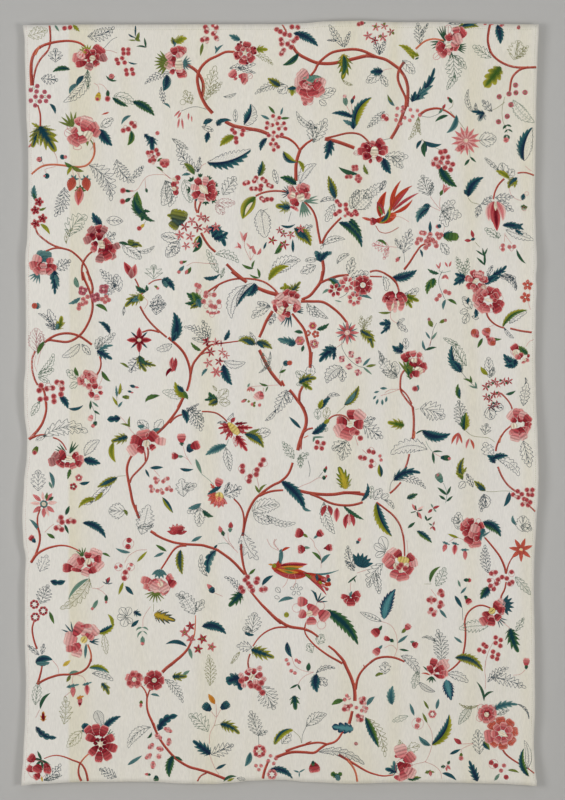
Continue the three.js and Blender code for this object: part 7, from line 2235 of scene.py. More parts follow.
chart.append("""
stem coral 5 6 -66.8 138.5 -66.3 140.7 -66.4 142.6 -66.9 144.3 -67.6 146 -68.9 148.2; 7 3 -68.8 148.1
 -67.3 146 -65.6 144.8 -63.7 144 -61.5 143.5 -60 143.4 -58.2 143.7 -56.5 144.4 -55.2 145.1; 4 5 -67.9
 164.2 -68.4 165.8 -68.4 167 -68.2 168.4 -67.8 170 -67.1 171.9
stem apricot 4 5 -53.2 170.6 -52.5 172.3 -52.2 173.9 -52.3 175.4
round crimson -67.9 142 -69 141 .9 0
round navy -67.5 142.6 -68.4 141.6 1 0
smooth leaf -62.2 141.4 -64.4 140.1 .4 0
spiky slateSeed -66.4 150.6 -64.3 146 .75 0
round pink -54.6 149.5 -57.6 147 .8 0
round crimson -57 149.7 -59.8 149.5 .7 0 -54.3 150.5 -57.8 149.8 .35 0
round pink -53.2 149.4 -54 151.5 .8 0 -51.6 147.2 -50.6 144.7 1 0 -51.4 147.8 -49.6 149.6 1 0
round crimson -54 147.2 -55.9 148 .9 0 -53.2 147.1 -53 145.4 1 0 -51.5 147.2 -49.6 147.1 .95 0
 -53.4 149 -51.9 148.5 .8 0 -53 150.8 -51 149.8 .7 0
dots cream .85 -53 147.8
fan leaf -54.4 146.4 2.7 75 165 5 .14
smooth leaf -49.3 145.6 -47 146.6 .28 -.1
smooth sage -52.9 152.5 -58.5 158.3 .14 .1
lobed strawHatch -52.6 152.6 -60.8 160.8 .28 -.12
stem straw 1 1 -52.9 151.5 -52.6 153.4 -52 155
stem rosy 1 1 -52 155.1 -50 155.2 -48.8 154.4; 1 1 -50.6 155.3 -49.2 156 -48.2 157
smooth crimson -48 153.7 -47.1 152.1 .6 0
fan navy -47.8 154.1 1.7 15 150 4 .16
smooth pine -48.1 157 -48.1 159.2 .5 0
dots rose .35 -48.1 159
smooth sage -50.4 158.4 -52 161.2 .35 0
dots rose .42 -51.9 160.8
lobed navy -63.4 153.1 -59.2 153 .4 .15
plume slate -66.2 159.4 -64 154.2 .8 0
ring crimson -67.8 159.6 .5 1.35 7 0 .5
ring crimson -65.4 161.4 .5 1.35 7 .3 .5
ring crimson -67.6 163.1 .5 1.35 7 .2 .5
smooth leaf -63.7 161.6 -62.4 165 .28 0
round pink -56 169.6 -59.2 168.8 .9 0 -55.6 171 -56.4 173.7 .8 0 -53 168 -50.8 166.2 .9 0
round blush -54.2 168.4 -53.6 165.6 1 0
round rose -56.9 168.3 -54.9 165 .55 0 -55.2 165.6 -52 165.5 .4 0 -53.8 167.6 -51.8 169 .5 0
 -55.2 170.4 -57.4 172.2 .7 0 -56.4 171.7 -58.9 171.8 .6 0
dots butter 1 -54.2 169.3
fan navy -57.2 167.7 3.6 100 160 3 .12
fan navy -52.8 169.8 3 -20 15 3 .13
smooth teal -53.6 170.4 -53.9 174.6 .2 0
tooth navy/lime -50.3 167.5 -45.8 164.9 .42 .1
smooth lime -46.4 165.6 -47.7 162.3 .3 .15
lobed strawSeed -48.8 167.8 -48 173.3 .38 0
dots rosyLine 1.5 -42 142.9
dots crimson .75 -41.8 142 -42.1 143.7
smooth teal -41.5 145.3 -45.5 144.1 .22 -.08
stem rosy 1 1 -36.9 144.6 -39.5 144.8 -42 146.4 -43 148.3
smooth lime -39.6 147.9 -36.8 145 .22 0
dots rosyLine 1.1 -44.7 149.3 -41.4 149.3 -42.9 151.7
dots rose .5 -45.4 149.4 -44.1 149 -41.2 148.7 -41.8 149.8
dots crimson .6 -42.8 150.8 -43.1 152.4
smooth lime -43.4 153.5 -44.7 157 .26 0
smooth navy -42.8 154.6 -40.6 157 .38 0
round grey -42.6 162.9 -44.2 160.6 .8 0 -42.5 162.8 -41.6 160.4 .8 0 -42.7 163.1 -45.1 163.2 .8 0
 -42.6 163.2 -43.5 165.7 .9 0 -42.4 163.2 -41 164.8 .8 0
spiky navy -40.5 161.6 -38.4 162.7 .9 0
smooth navy -41.2 165.8 -39.1 163.9 .4 0
stem rosy 1 1 -35.9 160.2 -37.8 163.2 -38 165.8
smooth sage -38.2 166 -39.9 166.9 .3 .2 -38.1 166 -36.5 166.8 .3 -.2 -38.2 167 -39.5 168.8 .25 .15
 -38 167 -36.8 168 .25 -.1 -38.1 168.4 -38.1 171 .5 0
dots rose .5 -38.1 170.4
stem coral 6 7 -35.9 139.5 -33.7 140.9 -31.2 142 -28.8 142.7 -25.7 143.1 -21.9 143.3 -20 143.8 -17.8
 144.5 -15.8 145.8 -13.9 147.2 -12.3 148.7 -10.9 150.3 -9.9 151.4; 6 4 -26 143.4 -28 143.6 -29.3 144.4
 -30.5 146 -31.8 148.1 -33 149.9; 7 5 -11 143 -10.9 145.3 -10.6 147.5 -10.2 149.5 -9.7 151.1 -9.1 152.5;
 5 9 -8.4 156 -7 157.7 -5.4 159.6 -3.7 161.3 -1.8 163.2 .1 164.8; 5 3 1.8 165.9 -.3 165.9 -2 166.2 -4.2
 167.2 -6.2 168.9 -7.8 171.2; 4 4 -8.5 173.2 -9 174.6 -9.1 176; 5 8 -24.5 169.2 -25.2 171 -26 172.3
 -27.4 173.8 -29 175.1 -29.9 175.9
stem apricot 2 4 -23.5 162.6 -23.6 165.5 -23.8 167.8 -24.4 169.4
smooth teal -24.6 142.3 -21.7 140.8 .3 0
stem rosy 1 1 -16 140.9 -13.9 143.4 -11.8 145.4; 1 1 -14.6 139.8 -14.4 142 -12.9 144.2
stem sage 1 1 -17.4 143 -15.6 142.7 -14.2 143.1
spiky slateSeed -10.6 139.8 -6.2 147.3 .55 .1
smooth leaf -31.5 145 -34.5 143.2 .28 0
smooth teal -32.2 145.4 -35 146.6 .28 0
tooth limeDark -27.6 144.6 -27.1 151.4 .38 .08
lobed teal/navy -17.9 144.8 -19.8 151.2 .35 .35
smooth navy -18.4 144.2 -17.5 143.2 .5 0
lobed grey -20.2 151.9 -21.8 145.9 .3 -.15
fan teal -33.4 150 2.7 215 320 5 .35
round rose -35.2 153.6 -38.2 152.8 .55 0 -35 155 -37.6 154.6 .5 0
round crimson -34.2 155.3 -36.7 155.7 .4 0
round rose -34 152.6 -35.6 154.9 .7 0 -31.6 152.9 -30 151.9 .9 0
round crimson -31 153 -29.3 154.4 .8 0
round rose -30.6 154.8 -32.9 156.4 .6 0
dots cream .9 -33.2 154
fan olive -34.5 156.1 3.3 195 340 8 .13
stem straw 1 1 -35 159.4 -35.1 161.6
spiky mustardNavy -34.9 162.3 -29 164.1 .66 0
smooth rose -18.8 155.6 -20.4 154 .55 0
round navy -18.4 156.4 -19.4 155.2 .9 0
stem rosy 1 1 -18.3 156.5 -16 157.4
lobed greyRing -23.7 162.3 -27.6 156 .6 0
lobed grey -23.6 161.6 -21.2 158.4 .7 0 -26.5 158 -29 156.8 .5 0
tooth navy -21.8 165.7 -15.1 167.8 .42 -.25
smooth navy -25.9 171.2 -31.8 170.6 .2 .22
smooth sage -25.3 171.6 -24.5 174.6 .34 0
plume slate -11.5 156.5 -15.6 152.1 .35 .2
spiky pine -10.8 156.5 -14.4 160.2 .75 0
dots crimson .55 -9.2 152.1 -9.9 152.9 -9 153.9 -11 155 -10.5 156 -8.4 154.7 -7.8 155.8 -6.5 152.6 -6.8
 153.6 -5.4 155.6 -4.3 155.4
dots rosyLine .95 -6.7 153.1 -4.8 155.5 -10.8 155.5 -8.2 155.2
smooth leaf -8.8 151.4 -7 149.8 .35 0
smooth navy -5.2 154.4 -2.1 151.7 .3 -.1
lobed grey -8 167.5 -7.2 161.8 .8 0 -7.8 167 -10.6 166.2 .7 0
frill navy -10 167.3 -7.4 168 .35 .1
spiky slateSeed -8 171.4 -12.2 171 .8 0
lobed straw -11.3 172.6 -13.8 176 .3 0
spiky limeDark -8.2 172 -1.8 174.3 .62 0
round crimson 6.2 140.4 4.2 139.8 1 0
smooth olive 6 140.2 7.4 141.2 .5 0
round crimson 9.8 140.7 11.3 139.7 .9 0
smooth teal 9 141.5 10.3 140.4 .4 0
round crimson 6.7 144.4 4.8 144.5 1 0
smooth sage 6.2 143.9 8 144.1 .45 0
round crimson 12.2 144.2 13.9 143.9 .9 0
smooth wine 11.7 144.3 13 143.8 .5 0
stem rosy 1 1 7.8 141.2 9 142.4 9.2 143.6 10.4 145.2 11 147 11 149.6
smooth leaf 10.9 147.5 8.4 145.2 .28 .1
smooth teal 11.1 148.3 13.6 145.8 .3 -.1
round rose 21.2 142.4 21.8 141.3 .8 0
round navy 20.8 143 21.3 142.1 .9 0
plume slate 20.4 149.6 18.4 143.4 .45 -.1 20.2 150.4 17.6 147.6 .5 0
fan navy 21.5 149.3 4 15 115 6 .34
round grey 29 144.6 27.5 141 .7 0 28.8 145 25.6 143.2 .6 0 28.6 145.2 26 146.4 .6 0
stem coral 5 4 33.6 140.6 33.9 143.5 34 146.4
stem rosy 1 1 34.6 142 35 146
round pink 31.6 147 30 144.8 .9 0
round rose 31.2 148.2 28.5 146.6 .8 0 31.2 149.8 29.4 147.8 .8 0 31.8 150 31 152.2 .9 0
 33.2 150.8 33.6 152.9 1.3 0
round crimson 34.2 149.4 35.9 150.6 1 0
round pink 35 148.4 37.3 148 .8 0
round crimson 33 146.7 31.6 145.1 .9 0 34.6 147.6 36.2 146.2 .9 0
dots cream .8 33 150 31.6 149 34.4 148.9
dots crimson .6 32.4 149.5 34.2 149.8 33 148.8
round butter 32 147 34.8 147.9 .55 0
lobed grey 28 148.4 24 155 .5 .1 26.2 151 27 156.8 .4 0
smooth pine 18.3 153.8 20.9 151.6 .16 0 20 152.4 20.5 153.6 .3 0
stem rosy 1 1 19.2 153.6 19 156; 1 1 20.8 151 23.8 150
round crimson 19 157.8 16.7 157.4 .5 0 19.4 157.7 21.5 156.6 .7 0 19.8 157.7 21.2 158.5 .8 0
 18.8 158 17.6 159 .8 0 19.2 157.8 19.2 159.9 .9 0
spiky teal 19 157.6 19.4 156 .9 0
fan navy 10 159 3 5 100 4 .14
smooth navy 9.6 158.4 8.1 155.6 .2 .2
ring grey 4.2 155.6 .4 1.8 5 .3 .7
smooth teal 3.4 158 -.8 159.1 .25 .12
round grey -.2 156.4 -1.4 155 .8 0 -.4 158 -1.8 157.4 .7 0
dots lime .75 1.5 162.5
round rose 7.4 159 4.8 158.8 .8 0 7.2 159.6 9.9 162 .55 0 7 162.8 5.2 162 1 0 8.3 163 8.4 165 1.1 0
 10.5 161.5 12.6 163.4 .9 0
dots cream .85 7.8 162.1
dots rosyLine 1.2 4.3 160.6 10.8 160 11.1 165.2
tooth pine 12 161.2 21.2 170.8 .28 -.1
tooth tealNavy 28.3 163.7 31.5 155.4 .42 -.08
smooth grey 27.6 164.3 21.7 161.7 .25 0
stem rosy 1 1 27.6 164.3 30 165.2 31.4 167.2 32 169.8 32 171.6 31.2 174; 1 1 28.4 171.6 30.4 170.8 32
 172.2
round crimson 27 166.4 25.4 167.9 .9 0
smooth pine 26.8 167 27.8 165.4 .5 0
round crimson 30 169.4 28.5 168.8 .7 0
round pine 29.9 169.2 31 169.9 .9 0
round rose 34.2 166.6 35.3 165.3 .8 0
smooth olive 33.2 167.5 34.6 166 .5 0
round rose 27 171.6 25.8 173.2 .8 0
smooth teal 26.8 172 27.9 170.8 .5 0
round crimson 36 170.4 37.4 171 .9 0
smooth sage 35.5 169.9 37.2 170.2 .5 0
smooth teal 32.1 170.2 34.9 168.1 .26 0
smooth pine 32.6 172 35.2 172.4 .26 0
smooth navy 1.7 170 3 174.2 .35 .1
lobed mint 10.2 170.6 11.4 167.8 1 0 8.6 173 7.4 170.4 .9 0
stem coral 8 7 -.9 163.8 .8 165 2.6 165.8 4.6 166.1 6.6 166.4; 3 6 7.3 163.6 6.6 165.6 6.6 167.4 7.6 169
 9.2 170.8 11.2 172.4 13.4 173.9 15.6 175.1 16.9 175.9; 7 5 6.7 166.5 8.2 167.1 9.4 167.9 10.3 168.6; 5
 8 13 171 14.6 172.2 15.9 173.6 16.9 174.7 17.6 175.9; 6 5 24.3 175.8 26 174.6 28 174.1 30.2 174.1 32.2
 174.6 34 175.4
tooth navy/leaf 37.3 139.4 41.5 142.7 .36 -.05
smooth lime 48.7 141.3 45.8 140.2 .24 0
stem rosy 1 1 46.2 142.4 48.2 141.2 50.4 141.9
smooth rose 45.4 142.9 44.6 145.2 .55 0 47.9 143 47.6 146 .5 0 50.6 144.6 50.6 147.4 .45 0
spiky teal 44.4 142.4 46.4 143.2 .4 0 46.9 142.6 49 143.2 .4 0 49.4 144.6 51.7 144.6 .4 0
round rose 53 141 53.4 143.7 1 0
round crimson 52.4 140.8 51.2 142.6 1 0
spiky teal 55.9 138.8 53.4 142.8 .6 0
smooth teal 55.4 140.9 57.6 139.5 .18 0
stem coral 4 6 56 141.2 57.3 142.7 58.7 144.4 60.1 146.3 61 148.1 61.6 149.7 61.9 151.2; 3 4 65 145.5
 63.9 146.4 62.8 148.1 62.3 149.5 61.9 151.2; 4 5 61.9 153.4 61.5 155.5 60.6 157.2 60.4 158.8
dots butter .45 66 144.6
plume slate 57 151 56.1 143.2 .4 -.05
dots crimson .5 57.8 151.1 59 150.8 57.2 153 59.7 152.8 59.3 153.9 57.6 154.5 58.5 155.4 60.8 152.1 62.1
 152.5 63.4 150.7 63.6 153.5 62.8 154
dots rosyLine .85 58.4 151 57.9 153.3 59.5 153.4 58 155 63.4 151.2 63.2 153.8
lobed mintHatch 64.4 152 68.7 156.9 .38 0
tooth navy/pine 57.3 154.8 54.8 158.1 .7 0
round crimson 51 152.9 52.3 153 1 0
round pine 50.2 152.9 51.6 152.9 .8 0
round crimson 50.9 157.9 51.9 159.2 .9 0
round pine 50.4 157.2 51.2 158.1 .9 0
smooth sage 49.3 154.8 48.6 152.8 .3 0
smooth teal 49.4 156.6 51 154.8 .3 0
smooth navy 47.8 157.2 49.8 160.6 .28 0
stem grey 1 1 49.8 160.6 50 164
smooth leaf 41 153.6 43.9 149.2 .22 -.2
lobed mintHatch 42.6 154.6 45 149.4 .55 .05
stem straw 1 1 39.4 154 41.4 154
stem rosy 1 1 41.2 155.4 42.7 157.6 43 159.6
dots pink .6 44.4 156.3 43.4 156.6 41.3 157.8 41.3 159 44.4 159.8 42.4 161.6 40.8 161.8
dots crimson .5 43.9 155.9 44.3 157.1 40.6 158.4 42.1 158.4 43.9 159.1 43.6 160.2 41.3 161 42 162.4
smooth teal 43.6 161 45.6 163.4 .28 0
stem coral 5 4 50 173.5 50.5 170.9 50.7 168.7 50.7 166.5 50.5 164.9 50.7 163.2 51.6 161.6 52.9 160.5 54.3
 159.9 55.7 159.9 57.6 160.6
round pink 59.6 160 61 158.7 1 0
round crimson 57.4 161.8 55.8 163 .9 0 58.6 161 60 159.2 .9 0 59.4 161 61.3 161.4 1 0
 58.8 162.4 60.1 163.6 .9 0
round pink 57.8 162.4 57.8 164 .9 0
round crimson 58 163.2 57.6 165.3 .9 0
round rose 56.8 163.4 55 164.6 .9 0
dots butter .95 58 161.4
fan navy 60.9 159.8 3.3 -60 60 6 .3
fan navy 59.4 163.2 3.1 -75 -15 4 .1
lobed mintSeed 57 165.6 49 166.3 .45 .05
plume greySeed 44 175.4 43 166.4 .5 .05
plume grey 42.6 170 38.7 168.8 .3 .3
smooth teal 49.8 170.2 47.5 168.5 .26 0
dots crimson .5 59 168.7 60.4 169.4 59 170.2 60.3 171 55.7 170.6 56.4 171.2 54.5 172.1 55.8 172.6 58.3
 172.6 59.7 173.4 58.1 174 59.4 174.6
stem rosy 1 1 58.2 170.2 57.2 172.2 56.4 174.6 56.2 176.4
spiky pine 63 166.2 65.3 172.8 .6 .05
plume mint 64.6 167 66.8 163.3 .5 0
stem rosy 1 1 60.6 164.2 63 166.2
fan coral 66 144.6 3.4 20 321 7 .34
dots cream .5 66 144.6
round rose 54.8 140.6 52 139.6 .75 0
round pink 54.9 139.2 52.4 138.4 .65 0
round crimson 54.6 141.2 53.2 141.6 .9 0
round blush -33.4 152.4 -33.4 156 .7 0
round pink -33.2 153 -31.6 155.8 .6 0 -33.6 153 -35.2 155.8 .6 0
fan rose -26.5 167.3 1.5 20 308 5 .5
fan crimson -21.6 169.1 1.5 40 328 5 .5
fan rose -19.1 171.3 1.4 0 288 5 .5
fan crimson -22.8 171.9 1.4 10 298 5 .5
fan rose -24.8 169.1 1.4 60 348 5 .5
fan crimson -24.9 165.6 1.4 30 318 5 .5
dots olive .3 -26.5 167.3 -21.6 169.1 -19.1 171.3 -22.8 171.9
""")
